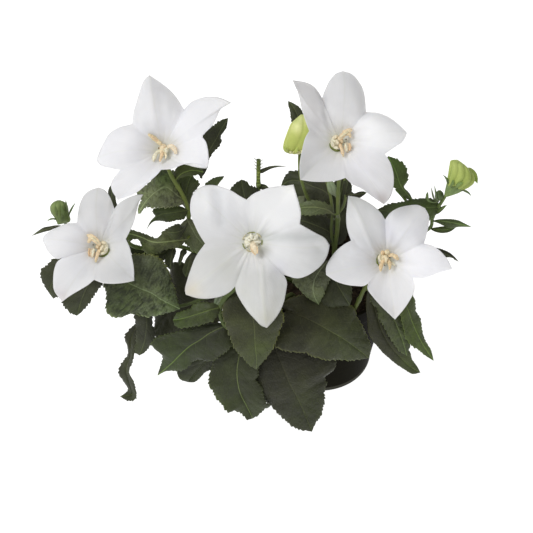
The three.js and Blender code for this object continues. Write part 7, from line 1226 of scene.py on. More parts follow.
    def side_flower(name, mx, dx, dy, sh):
        """The two upper side flowers look alike, one mirrored: mx is the mirror sign."""
        s = S(name); m = Mesh(); t = SURF[name][1]
        def X(x): return dx + mx * (x - 340.5)
        def Y(y): return dy + (y - 142.0)
        def p(x, y, o): return (X(x), Y(y), t + o)
        a, b, _ = p(335.4, 142.0, 0)
        blob(m, a, b, t + 2.0, 5.0, 7.2, 3.6, ang=0.25 * mx, col=PALE, seed=sh, spots=(CREAM, 0.8, 0.9), rough=0.14)
        strap(m, [p(330.2, 142.6, 2.2), p(331.0, 147.0, 2.8), p(335.2, 150.2, 3.0), p(340.2, 150.6, 3.2)], [1.8, 2.2, 2.2, 1.4], 1.1, OLIVE, seed=sh + 1)
        for k, (x0, y0, x1, y1, o) in enumerate([(333.0, 138.0, 337.2, 136.2, 5.2), (331.8, 142.0, 334.2, 145.6, 5.0), (336.0, 140.0, 338.4, 144.4, 5.8), (334.6, 147.4, 338.4, 148.2, 4.6)]):
            strap(m, [p(x0, y0, o), p((x0 + x1) / 2 + 0.3, (y0 + y1) / 2, o + 0.6), p(x1, y1, o)], [2.6, 3.2, 2.4], 1.6, PALE if k % 2 else CREAM, edgecol=(0.62, 0.50, 0.28), seed=sh + 2 + k)
        strap(m, [p(338.6, 139.6, 5.6), p(342.4, 135.6, 7.0), p(347.0, 131.6, 7.6), p(352.2, 129.2, 7.4)], [3.0, 5.2, 5.8, 2.8], 1.8, (0.80, 0.60, 0.36), edgecol=ORANGE, seed=sh + 8, cup=0.2)
        strap(m, [p(345.2, 133.2, 7.6), p(349.2, 134.2, 7.8), p(350.8, 137.6, 7.2)], [3.0, 3.8, 1.8], 1.5, (0.78, 0.56, 0.30), edgecol=ORANGE, seed=sh + 9)
        strap(m, [p(341.4, 136.8, 8.4), p(345.0, 133.8, 8.9), p(349.0, 131.4, 8.6)], [1.0, 1.8, 1.0], 0.9, (0.86, 0.72, 0.46), seed=sh + 10)
        strap(m, [p(339.6, 144.0, 5.6), p(341.4, 148.0, 6.6), p(342.6, 152.4, 7.2), p(343.6, 157.0, 7.0)], [3.0, 3.6, 3.2, 1.6], 1.6, (0.74, 0.50, 0.24), edgecol=ORANGE, tipcol=(0.60, 0.56, 0.24), seed=sh + 11)
        a, b, _ = p(347.0, 147.4, 0)
        blob(m, a, b, t + 4.6, 3.3, 5.0, 2.3, col=(0.80, 0.62, 0.46), seed=sh + 12, spots=((0.62, 0.40, 0.22), 0.7, 1.3))
        strap(m, [p(345.2, 143.2, 6.4), p(346.2, 147.4, 7.2), p(346.6, 151.6, 6.6)], [2.0, 2.4, 1.6], 1.2, PALE, seed=sh + 13)
        strap(m, [p(349.6, 142.8, 6.0), p(350.4, 146.8, 6.6), p(349.8, 150.8, 6.2)], [2.0, 2.2, 1.4], 1.2, ORANGE, seed=sh + 14)
        a, b, _ = p(346.0, 139.4, 0)
        blob(m, a, b, t + 4.8, 1.7, 1.5, 1.2, col=(0.10, 0.06, 0.03), seed=sh + 15)
        a, b, _ = p(344.6, 142.6, 0)
        blob(m, a, b, t + 5.4, 1.1, 1.1, 0.9, col=(0.16, 0.09, 0.04), seed=sh + 16)
        a, b, _ = p(341.2, 141.2, 0)
        blob(m, a, b, t + 4.6, 2.6, 2.8, 2.2, col=(0.60, 0.42, 0.20), seed=sh + 17, spots=(CREAM, 0.6, 1.2))
        m.build("anthers_" + name, [STAMEN_M], ["stamens_" + name])
    side_flower("top_right", 1, 340.5, 142.0, 40)
    side_flower("left", -1, 98.6, 247.6, 70)

    # right flower
    s = S("right"); m = Mesh(); t = SURF["right"][1]
    def p(x, y, o): return (x, y, t + o)
    blob(m, 384.0, 257.8, t + 2.4, 5.6, 7.0, 3.2, col=CREAM, seed=101, spots=(PALE, 0.7, 0.9))
    strap(m, [p(378.6, 254.8, 2.4), p(376.6, 258.6, 2.6), p(377.2, 262.8, 2.6), p(379.6, 266.0, 2.6)], [1.6, 2.2, 2.2, 1.4], 1.1, OLIVE, seed=102)
    strap(m, [p(380.4, 254.2, 4.4), p(379.4, 258.0, 5.0), p(381.0, 262.0, 5.0)], [2.6, 3.4, 2.6], 1.6, PALE, edgecol=(0.62, 0.52, 0.28), seed=103)
    blob(m, 387.2, 252.2, t + 6.2, 2.9, 3.0, 2.2, col=(0.82, 0.64, 0.38), seed=104, spots=(ORANGE, 0.5, 1.2))
    blob(m, 382.6, 252.8, t + 5.6, 2.2, 2.2, 1.6, col=(0.72, 0.44, 0.16), seed=105)
    strap(m, [p(388.6, 256.2, 5.8), p(391.8, 255.0, 6.8), p(395.4, 256.6, 7.2), p(398.4, 260.2, 6.8)], [2.6, 4.0, 4.4, 2.2], 1.6, (0.78, 0.54, 0.26), edgecol=ORANGE, seed=106, cup=0.2)
    strap(m, [p(383.0, 260.6, 5.6), p(381.6, 264.0, 6.4), p(380.8, 268.2, 6.8), p(380.8, 271.8, 6.6)], [3.0, 3.8, 3.2, 1.6], 1.6, (0.74, 0.48, 0.18), edgecol=ORANGE, tipcol=(0.64, 0.58, 0.26), seed=107)
    strap(m, [p(388.0, 259.6, 5.6), p(389.4, 263.0, 6.4), p(390.0, 266.6, 6.8), p(389.6, 269.8, 6.6)], [2.8, 3.4, 3.0, 1.6], 1.5, (0.76, 0.52, 0.22), edgecol=(0.60, 0.38, 0.12), seed=108)
    strap(m, [p(384.4, 255.4, 6.2), p(386.2, 258.6, 7.0), p(385.4, 262.4, 6.6)], [3.2, 3.8, 2.6], 1.8, (0.84, 0.66, 0.42), edgecol=(0.70, 0.44, 0.18), seed=109)
    strap(m, [p(391.4, 262.0, 4.6), p(393.8, 264.4, 5.0), p(395.6, 265.6, 4.8)], [1.8, 2.2, 1.2], 1.1, PALE, seed=110)
    blob(m, 389.8, 257.6, t + 4.6, 1.5, 1.7, 1.1, col=(0.13, 0.08, 0.03), seed=111)
    blob(m, 384.4, 265.4, t + 4.2, 1.5, 1.5, 1.1, col=(0.16, 0.10, 0.04), seed=112)
    m.build("anthers_right", [STAMEN_M], ["stamens_right"])

# ------------------------------------------------------------------ stems
STEM_TONE = {
    "stem_top_left": ((0.085, 0.115, 0.030), (0.170, 0.210, 0.045)),
    "stem_left": ((0.075, 0.100, 0.028), (0.110, 0.150, 0.045)),
    "stem_center": ((0.070, 0.090, 0.026), (0.100, 0.140, 0.040)),
    "stem_right": ((0.080, 0.100, 0.026), (0.130, 0.165, 0.040)),
    "stem_top_right": ((0.070, 0.088, 0.030), (0.150, 0.190, 0.056)),
    "stem_yellow_bud": ((0.080, 0.105, 0.030), (0.150, 0.190, 0.050)),
    "stem_right_bud": ((0.075, 0.105, 0.030), (0.130, 0.180, 0.050)),
    "stem_back": ((0.100, 0.130, 0.036), (0.180, 0.235, 0.060)),
    "stem_left_low": ((0.065, 0.085, 0.026), (0.080, 0.105, 0.032)),
}

def stem_near(p):
    """The stem or side shoot that passes nearest to a point: distance, stem name, place."""
    best = (1e9, None, None)
    for nm, v in STEMS.items():
        for pl in [v["pts"]] + [s["pts"] for s in SHOOTS if s["stem"] == nm]:
            D = curve([tuple(x) for x in pl])
            d = np.linalg.norm(D - p, axis=1)
            k = int(np.argmin(d))
            if d[k] < best[0]: best = (float(d[k]), nm, D[k])
    return best

def stems():
    for i, (name, v) in enumerate(STEMS.items()):
        c0, c1 = STEM_TONE[name]
        m = Mesh()
        nd = [(0.32, 0.22, 1.6), (0.52, 0.26, 1.5), (0.70, 0.22, 1.4), (0.84, 0.2, 1.2)]
        pts = [tuple(p) for p in v["pts"]]
        add_tube(m, pts, v["r"] * 1.02, v["r"] * 0.86, col=c0, col1=c1, nodes=nd, seed=i)
        if name == "stem_back":
            rg = np.random.default_rng(77)
            for k in range(26):
                y_ = 159.0 + 12.5 * rg.uniform(0, 1); x_ = 258.5 + rg.uniform(-1.9, 1.9)
                blob(m, x_, y_, 83.2 - (y_ - 159) * 0.28 + rg.uniform(-0.2, 0.9), rg.uniform(0.9, 1.6), rg.uniform(0.8, 1.4), 0.7, ang=rg.uniform(-1, 1),
                     col=np.array([0.080, 0.110, 0.045]) * rg.uniform(0.6, 1.7), seed=200 + k, rough=0.15)
            for k in range(7):
                y_ = 160.0 + 1.6 * k; sg_ = 1 if k % 2 else -1
                strap(m, [(258.5 + sg_ * 1.6, y_, 83.4), (258.5 + sg_ * 3.0, y_ - 0.8, 83.6), (258.5 + sg_ * 4.6, y_ - 2.2, 83.4)], [0.9, 0.6, 0.35], 0.35, (0.12, 0.15, 0.06), seed=230 + k)
            for k, y_ in enumerate([172.6, 175.4, 178.6, 181.8]):
                blob(m, 258.3 + 0.5 * (-1) ** k, y_, 80.2 - (y_ - 172) * 0.25, 1.9, 1.3, 0.9, col=(0.30, 0.38, 0.10), seed=240 + k, rough=0.12)
            blob(m, 258.6, 185.4, 77.4, 2.7, 1.9, 1.2, col=(0.24, 0.31, 0.10), seed=246, rough=0.12)
        # the very dark small blades below are painted shade: near-black sheets standing for shaded foliage in the gaps
        # between the stems
        if name == "stem_center":
            blade_px(m, 831, [(223, 292, 96.5), (220.5, 297, 97.5), (217.5, 302, 98), (213.5, 307.5, 97.5)], [0, 8, 7.5, 0], tone=(0.16, 0.2, 0.14))
        if name == "stem_yellow_bud":
            blade_px(m, 832, [(305, 196, 78.5), (301, 199.5, 79.5), (297, 204, 80), (292, 209, 79.5)], [0, 8, 7.5, 0], tone=(0.16, 0.19, 0.12))
        if name == "stem_top_right":
            blade_px(m, 833, [(336, 197, 88.5), (333, 191, 90), (330.5, 184, 91), (328.5, 177, 91)], [0, 8, 7.5, 0], tone=(0.2, 0.25, 0.17))
            blob(m, 337.6, 216.5, 85.2, 3.6, 4.4, 1.7, col=(0.120, 0.135, 0.085), seed=250, rough=0.14)
            blob(m, 334.0, 219.2, 84.2, 2.4, 2.8, 1.2, col=(0.100, 0.115, 0.070), seed=251, rough=0.14)
            strap(m, [(350.0, 187.2, 95.6), (352.2, 185.4, 96.0), (354.6, 184.7, 96.0)], [0.5, 0.5, 0.35], 0.3, (0.10, 0.12, 0.05), seed=252)
        for k, sh in enumerate(x for x in SHOOTS if x["stem"] == name):
            add_tube(m, sh["pts"], sh["r"] * 1.0, sh["r"] * 0.85, col=c0, col1=c1, nodes=[(0.55, 0.25, 1.2)], seed=50 + i * 7 + k)
        # the stalks that join the leaves to this stem
        for k, (lf, Lf) in enumerate(LEAVES.items()):
            b0, b1 = np.array(Lf["mid"][0], float), np.array(Lf["mid"][1], float)
            d_, nm, near = stem_near(b0)
            if nm == name and 0.8 < d_ < 13.0:
                e_ = b0 + unit(b1 - b0) * 0.9
                add_tube(m, [near, near * 0.5 + b0 * 0.5 + np.array([0, 0, 0.04 * d_]), e_], 0.85, 0.5, col=c1, col1=np.array(c1) * 0.75, seed=300 + k)
        if v.get("flower"):
            f = FLOWERS[v["flower"]]
            n = np.array(f["n"])
            top = np.array(f["throat"]) - n * 1.0
            foot = top - n * 7.0
            prof = [(0.0, 0.9), (0.02, 1.3), (0.1, 1.9), (0.22, 2.5), (0.38, 3.0), (0.58, 3.4), (0.76, 3.6), (0.9, 3.4), (0.98, 2.6), (1.0, 1.2)]
            add_lathe(m, foot, top, prof, sides=40, ridge=0.045, ridges=10, col=np.array([0.115, 0.160, 0.045]))
            x = unit(np.cross(n, [0.31, 0.77, 0.55])); y = np.cross(n, x)
            for k in range(5):
                a = f["turn"] + 2 * math.pi * k / 5
                rd = math.cos(a) * x + math.sin(a) * y
                td = np.cross(n, rd)
                b0 = top - n * 1.6 + rd * 2.9
                mid = [b0, b0 + rd * 2.0 + n * 0.3, b0 + rd * 4.3 + n * 0.2, b0 + rd * 6.4 - n * 0.5, b0 + rd * 8.2 - n * 1.5]
                wd = [0, 1.55, 1.35, 0.8, 0]
                A = [mid[j] + td * wd[j] for j in (1, 2, 3)]
                B = [mid[j] - td * wd[j] for j in (1, 2, 3)]
                leaf_into(m, 700 + i * 9 + k, mid, A, B, tooth=0.0, quilt=0.02, wave=0.05, lump=0.05, petiole=0.9, step=0.4, veins=3.0, thick=0.4, arch=0.08, tone=(0.115, 0.160, 0.045))
        m.build("stalk_" + name[5:], [STEM_M], [name])

# ------------------------------------------------------------------ buds
def balloon(mesh, left, right, ws, depth, col, sides=60, ridges=10, ridge=0.05, phase=0.0, rows=40, seed=1, tilt=0.0, shade=None, power=1.0):
    """A closed inflated form whose left and right outlines are given in the picture."""
    Lc = curve([mm(p[0], p[1], w) for p, w in zip(left, ws)], 12)
    Rc = curve([mm(p[0], p[1], w) for p, w in zip(right, ws)], 12)
    q = np.linspace(0, 1, rows + 1)
    A, B = at(Lc, q), at(Rc, q)
    C, H = (A + B) / 2, (B - A) / 2
    T = unit(np.gradient(C, axis=0))
    hw = np.linalg.norm(H, axis=1)
    Dv = unit(VIEW + 0 * C - np.sum(VIEW * unit(H), 1, keepdims=True) * unit(H))
    dep = hw * np.interp(q, np.linspace(0, 1, len(depth)), depth)
    ph = np.linspace(0, 2 * math.pi, sides, endpoint=False)
    cs, sn = np.cos(ph), np.sin(ph)
    pl = 1 + ridge * (np.abs(np.cos(ridges * 0.5 * (ph + phase))) ** power * 2 - 1.0)
    # keep the outline itself on the given sides
    pl = 1 + (pl - 1) * (1 - 0.75 * np.abs(cs) ** 6)
    env = (sstep(0, 0.12, q) * (1 - 0.6 * sstep(0.9, 1.0, q)))[:, None]
    k = 1 + (pl[None, :] - 1) * env
    V = C[:, None, :] + (k * cs[None, :])[..., None] * H[:, None, :] + (k * sn[None, :] * dep[:, None])[..., None] * Dv[:, None, :]
    V = V + T[:, None, :] * (tilt * hw[:, None] * sn[None, :])[..., None]
    V = V + 0.10 * vnoise(V, 0.6, seed)[..., None] * Dv[:, None, :] * sstep(0, 0.1, q)[:, None, None]
    c = np.asarray(col, float) * np.ones(V.shape)
    if shade is not None: c = shade(q[:, None] * np.ones_like(k), ph[None, :] * np.ones_like(k), k, topx(V)[..., :2], c)
    faces = ring_faces(rows + 1, sides)
    faces.append(tuple(range(sides))[::-1])
    faces.append(tuple(rows * sides + i for i in range(sides)))
    mesh.add(V.reshape(-1, 3), faces, c.reshape(-1, 3))

def mixc(c, m, d):
    m = np.clip(m, 0, 1)[..., None]
    return c * (1 - m) + np.asarray(d, float) * m

def gauss2(XY, x, y, s):
    return np.exp(-((XY[..., 0] - x) ** 2 + (XY[..., 1] - y) ** 2) / (2 * s * s))

def buds():
    # yellow-green balloon behind the upper right flower
    m = Mesh()
    L_ = [(290, 153.2), (285.5, 152.3), (283.2, 148.5), (283.8, 143), (286, 136), (288.6, 129), (291, 123.6), (295.6, 119), (300.6, 114.6)]
    R_ = [(294, 153.8), (299.5, 154.2), (304.5, 151), (308, 146), (311, 140), (313, 132.5), (311.5, 125.5), (308, 119.5), (303.4, 114.6)]
    ws = [95, 95, 95.5, 96, 97, 98.5, 99.5, 100.5, 101]
    def sh(q, ph, k, XY, c):
        # painted highlights on the knob and near the tip; painted shade towards the foot and in the grooves between the
        # pleats
        c = mixc(c, gauss2(XY, 297, 127, 4.2) * 0.9, (0.86, 0.88, 0.42))
        c = mixc(c, gauss2(XY, 301, 119, 4.0) * 0.7, (0.80, 0.84, 0.40))
        c = mixc(c, sstep(0.35, 0.0, q) * 0.55, (0.42, 0.47, 0.12))
        c = mixc(c, (k < 0.985) * 0.35, (0.46, 0.52, 0.13))
        return c
    balloon(m, L_, R_, ws, [0.9, 0.95, 1.0, 0.95, 0.7], (0.53, 0.59, 0.155), ridge=0.085, ridges=5, phase=0.5, seed=5, shade=sh, power=0.7)
    blade_px(m, 801, [(290, 153, 99.8), (287.6, 151.4, 101.0), (285.4, 149.6, 101.2), (284.2, 146.4, 100.6)], [0, 3.0, 2.6, 0], tone=(0.44, 0.50, 0.14))
    blade_px(m, 802, [(293.5, 153.6, 100.6), (295.4, 152.0, 102.2), (296.6, 149.6, 102.6), (297.0, 146.6, 102.4)], [0, 3.2, 2.6, 0], tone=(0.48, 0.54, 0.15))
    # the knob is coloured lighter as painted highlight, and the dark strap beside it is painted shade in the fold
    blob(m, 297.0, 126.4, 103.0, 2.6, 2.0, 1.0, ang=-0.5, col=(0.66, 0.72, 0.28), seed=81, rough=0.10)
    strap(m, [(291.0, 128.4, 102.2), (294.2, 129.6, 103.4), (298.0, 130.6, 103.8), (302.0, 129.4, 103.4)], [0.9, 1.7, 1.7, 0.8], 0.9, (0.38, 0.44, 0.12), seed=82)
    for k_, (x_, y_) in enumerate([(286.6, 150.6), (290.4, 152.4), (294.4, 152.6), (298.4, 152.8), (302.2, 151.4)]):
        blob(m, x_, y_, 99.6, 2.3, 1.9, 1.3, col=(0.50, 0.57, 0.17), seed=84 + k_, rough=0.10)
    m.build("balloon_yellow", [BUD_M], ["bud_yellow"])

    # opening bud on the right: a pleated cone in a green calyx
    m = Mesh()
    L_ = [(446.0, 192), (446.3, 187), (447.2, 180), (448.6, 172), (449.6, 165.5), (450.8, 160.8), (457.0, 159.6)]
    R_ = [(452, 193.8), (458, 192.4), (464, 189.8), (470, 186.6), (474.2, 182.2), (474.0, 175.4), (466.4, 166.4)]
    ws = [105.8, 106.2, 107, 108, 109, 109.6, 110]
    def sh(q, ph, k, XY, c):
        # painted shade on the side turned from the light and in the grooves, a painted highlight high on the left;
        # lighter towards the mouth
        d = (XY[..., 0] - 447) * 0.78 + (XY[..., 1] - 178) * 0.35
        c = mixc(c, sstep(8, 22, d) * 0.75, (0.30, 0.36, 0.085))
        c = mixc(c, gauss2(XY, 458, 165, 5) * 0.5, (0.62, 0.70, 0.24))
        c = mixc(c, sstep(1.0, 0.93, k) * 0.6, (0.30, 0.37, 0.09))
        c = mixc(c, sstep(0.9, 1.0, q) * 0.5, (0.62, 0.70, 0.30))
        return c
    balloon(m, L_, R_, ws, [0.9, 0.9, 0.85, 0.8, 0.75, 0.7], (0.44, 0.53, 0.14), ridge=0.12, ridges=10, phase=0.2, seed=7, shade=sh, power=0.8)
    # the two lobes at the back of the mouth
    blade_px(m, 805, [(460, 178, 104.5), (465, 174.5, 103), (469.3, 172.0, 101.5), (472.9, 174.4, 101), (475.6, 178.6, 101), (477.6, 183.8, 102)], [0, 8, 9.0, 7.6, 5, 0], tone=(0.34, 0.41, 0.11), arch=0.12, petiole=0.5)
    m.build("balloon_right", [BUD_M], ["bud_right"])
    m = Mesh()
    L_ = [(443.8, 196.4), (444.4, 193.6), (445.2, 189.5), (446.2, 184.8), (447.2, 181.6)]
    R_ = [(447.2, 197.0), (451.6, 195.6), (457.4, 193.6), (462.2, 191.2), (463.6, 189.4)]
    def shc(q, ph, k, XY, c):
        # painted highlight on the left of the calyx, painted shade on the right
        c = mixc(c, gauss2(XY, 449, 189, 4.5) * 0.8, (0.24, 0.33, 0.13))
        c = mixc(c, gauss2(XY, 457, 186, 4.0) * 0.6, (0.10, 0.15, 0.055))
        return c
    balloon(m, L_, R_, [105.3, 105.5, 105.8, 106.2, 106.5], [1.0, 1.0, 1.0, 0.98], (0.17, 0.25, 0.085), ridge=0.05, ridges=10, phase=0.2, rows=20, seed=8, shade=shc)
    G = (0.16, 0.24, 0.08)
    blade_px(m, 806, [(449.6, 187.4, 107.4), (448.0, 183.2, 109.6), (447.2, 180.0, 110.4), (445.6, 177.4, 110.8), (442.6, 174.6, 110.6)], [0, 2.0, 2.4, 1.7, 0], tone=(0.11, 0.16, 0.06))
    blade_px(m, 807, [(455.0, 188.6, 111.6), (457.8, 185.4, 112.9), (460.6, 183.4, 113.5), (463.4, 182.6, 113.5)], [0, 3.4, 2.6, 0], tone=(0.20, 0.30, 0.10))
    blade_px(m, 808, [(461.2, 190.2, 108.6), (464.8, 190.8, 109.2), (468.6, 193.0, 109.2), (471.6, 196.4, 108.6)], [0, 2.2, 1.8, 0], tone=(0.12, 0.17, 0.07))
    blade_px(m, 809, [(451.0, 187.0, 111.3), (452.4, 184.0, 112.6), (453.0, 181.6, 113.1), (453.2, 179.4, 113.1)], [0, 3.0, 2.2, 0], tone=G)
    m.build("calyx_bud_right", [STEM_M], ["bud_right"])

    # green bud above the left flower
    m = Mesh()
    L_ = [(57.6, 224.6), (56.2, 221), (54.2, 217.2), (51.4, 213.4), (50.2, 209.6), (50.6, 205.6), (53.4, 202.2), (57.4, 200.2)]
    R_ = [(62.0, 224.0), (69.6, 221.8), (70.4, 219.0), (69.2, 214.6), (68.4, 209.6), (67.6, 205.6), (64.6, 202.0), (60.4, 200.2)]
    def shb(q, ph, k, XY, c):
        # painted highlights high on the bud, painted shade low on the right and in the grooves
        c = mixc(c, gauss2(XY, 54.5, 206, 3.4) * 0.8, (0.26, 0.34, 0.12))
        c = mixc(c, gauss2(XY, 61, 203, 3.0) * 0.6, (0.24, 0.32, 0.12))
        c = mixc(c, gauss2(XY, 63, 219, 2.6) * 0.6, (0.04, 0.06, 0.015))
        c = mixc(c, sstep(1.0, 0.94, k) * 0.55, (0.06, 0.09, 0.025))
        return c
    balloon(m, L_, R_, [99, 99.3, 99.8, 100.5, 101.5, 102.5, 103.4, 104], [0.95] * 4, (0.135, 0.185, 0.055), ridge=0.05, ridges=10, phase=0.2, seed=9, shade=shb, power=0.8)
    blade_px(m, 811, [(68.6, 215.6, 102.4), (70.2, 211.6, 103.0), (72.6, 207.0, 103.0), (76.0, 202.0, 102.0)], [0, 1.9, 1.6, 0], tone=(0.10, 0.15, 0.05))
    blade_px(m, 812, [(56.0, 219.2, 101.6), (52.6, 218.8, 102.2), (49.4, 219.6, 102.2), (46.8, 221.4, 101.6)], [0, 1.7, 1.4, 0], tone=(0.14, 0.20, 0.08))
    blade_px(m, 813, [(66.6, 211.0, 104.7), (66.4, 207.0, 105.8), (66.2, 203.4, 106.0), (65.5, 199.6, 105.6)], [0, 2.1, 1.6, 0], tone=(0.10, 0.14, 0.05))
    blade_px(m, 814, [(62.0, 217.0, 105.4), (62.6, 212.8, 107.2), (62.0, 209.0, 107.6), (60.8, 205.4, 107.4)], [0, 3.0, 2.3, 0], tone=(0.10, 0.145, 0.045))
    blade_px(m, 815, [(57.4, 215.6, 104.4), (56.2, 211.4, 106.2), (55.6, 207.4, 106.6), (56.0, 203.8, 106.2)], [0, 2.6, 2.0, 0], tone=(0.13, 0.18, 0.06))
    m.build("balloon_left", [BUD_M], ["bud_left"])

    # small bud in the right cluster
    m = Mesh()
    L_ = [(436.6, 200.8), (435.2, 198.2), (435.0, 195), (436.2, 192), (438.4, 190.2)]
    R_ = [(440.2, 200.8), (443.2, 198.6), (443.8, 195.4), (442.8, 192.2), (440.6, 190.2)]
    def shs(q, ph, k, XY, c):
        # painted highlight on the left, painted shade on the right
        c = mixc(c, gauss2(XY, 437.4, 195.5, 2.0) * 0.9, (0.15, 0.22, 0.10))
        return mixc(c, gauss2(XY, 441.5, 194.5, 2.4) * 0.8, (0.035, 0.055, 0.018))
    balloon(m, L_, R_, [103, 103.4, 104, 104.6, 105], [0.95, 0.95, 0.95], (0.10, 0.14, 0.045), ridge=0.05, ridges=10, rows=20, seed=10, shade=shs)
    blade_px(m, 816, [(438.4, 200.8, 103.6), (434.6, 199.2, 105.4), (433.2, 196.4, 105.8), (432.4, 193.0, 105.8), (431.0, 186.2, 105.2)], [0, 1.6, 2.0, 1.6, 0], tone=(0.11, 0.15, 0.06))
    blade_px(m, 817, [(438.4, 200.8, 104.2), (436.6, 198.4, 105.6), (436.0, 194.6, 106.4), (435.4, 190.6, 106.4), (434.2, 184.6, 106.0)], [0, 1.5, 1.9, 1.5, 0], tone=(0.13, 0.18, 0.08))
    blade_px(m, 818, [(438.2, 201.8, 103.2), (432.5, 202.4, 103.9), (428.6, 200.6, 104.4), (427.4, 197.8, 104.8), (427.2, 194.8, 104.8), (427.8, 191.6, 104.4)], [0, 1.2, 2.2, 2.6, 2.6, 0], tone=(0.15, 0.21, 0.08))
    m.build("balloon_small_right", [BUD_M], ["bud_small_right"])

# ------------------------------------------------------------------ pot and compost
def wall_r(z): return 30.5 - 0.6 + (43.5 - 1.6 - 30.5 + 0.6) * z / 78.0

def pot():
    from mathutils.geometry import tessellate_polygon
    from mathutils import Vector
    zb = 78 - 13
    outer = [(29.2, 0.0), (29.9, 0.18), (30.35, 0.6), (30.5, 1.1), (30.5, 3.0), (wall_r(3.4), 3.5), (wall_r(4.2), 4.2)]
    outer += [(wall_r(z), z) for z in np.linspace(8, zb - 1, 14)]
    outer += [(wall_r(zb) + 0.15, zb - 0.25), (wall_r(zb) + 1.0, zb + 0.1), (wall_r(zb) + 1.5, zb + 0.45), (wall_r(zb) + 1.62, zb + 1.0)]
    outer += [(wall_r(zb) + 1.62 + (43.5 - wall_r(zb) - 1.62) * t, zb + 1.0 + (76.8 - zb - 1.0) * t) for t in (0.25, 0.5, 0.75)]
    outer += [(43.4, 76.6), (43.5, 77.2), (43.4, 77.7), (43.05, 77.95), (42.6, 78.0), (42.1, 77.9), (41.85, 77.5), (41.8, 76.8)]
    inner = [(wall_r(zb) + 0.4, 67.2), (wall_r(zb) - 0.6, 65.6), (wall_r(zb) - 1.2, 63.5)]
    inner += [(wall_r(z) - 1.2, z) for z in np.linspace(58, 8, 9)] + [(wall_r(2) - 1.2, 2.4), (wall_r(2) - 1.7, 1.9), (wall_r(2) - 2.6, 1.8)]
    prof = outer + inner
    n = 144
    ph = np.linspace(0, 2 * math.pi, n, endpoint=False)
    m = Mesh()
    V = []
    for r, z in prof:
        rr = r + 0.05 * np.cos(2 * ph + 0.4) * (z / 78)
        V.append(np.stack([rr * np.cos(ph), rr * np.sin(ph), np.full(n, z)], -1))
    V = np.array(V).reshape(-1, 3)
    faces = ring_faces(len(prof), n)
    k0 = len(V)
    nh = 28
    pa = np.linspace(0, 2 * math.pi, nh, endpoint=False)
    bottom0 = list(range(n))
    top0 = list(range((len(prof) - 1) * n, len(prof) * n))
    hb, ht, extra = [], [], []
    for k in range(6):
        a = (k + 0.5) / 6 * 2 * math.pi
        cx, cy = 20.5 * math.cos(a), 20.5 * math.sin(a)
        rb = []
        for z, lst in ((0.0, hb), (1.8, ht)):
            ids = []
            for t in pa:
                extra.append((cx + 3.2 * math.cos(t), cy + 3.2 * math.sin(t), z))
                ids.append(k0 + len(extra) - 1)
            lst.append(ids)
    V = np.vstack([V, extra])
    for b_, t_ in zip(hb, ht):
        for j in range(nh):
            j2 = (j + 1) % nh
            faces.append((b_[j], t_[j], t_[j2], b_[j2]))
    for loops, up in (([bottom0] + hb, False), ([top0] + ht, True)):
        polys = [[Vector(V[i]) for i in lp] for lp in loops]
        flat = [i for lp in loops for i in lp]
        for tri in tessellate_polygon(polys):
            f = tuple(flat[i] for i in tri)
            p0, p1, p2 = V[f[0]], V[f[1]], V[f[2]]
            nz = np.cross(p1 - p0, p2 - p0)[2]
            if (nz > 0) != up: f = f[::-1]
            faces.append(f)
    m.add(V, faces)
    ob = m.build("nursery_pot", [POT_M], ["pot"])
    # the faces of the floor stay crisp
    me = ob.data
    for p_ in me.polygons:
        if len(p_.vertices) == 3: p_.use_smooth = False

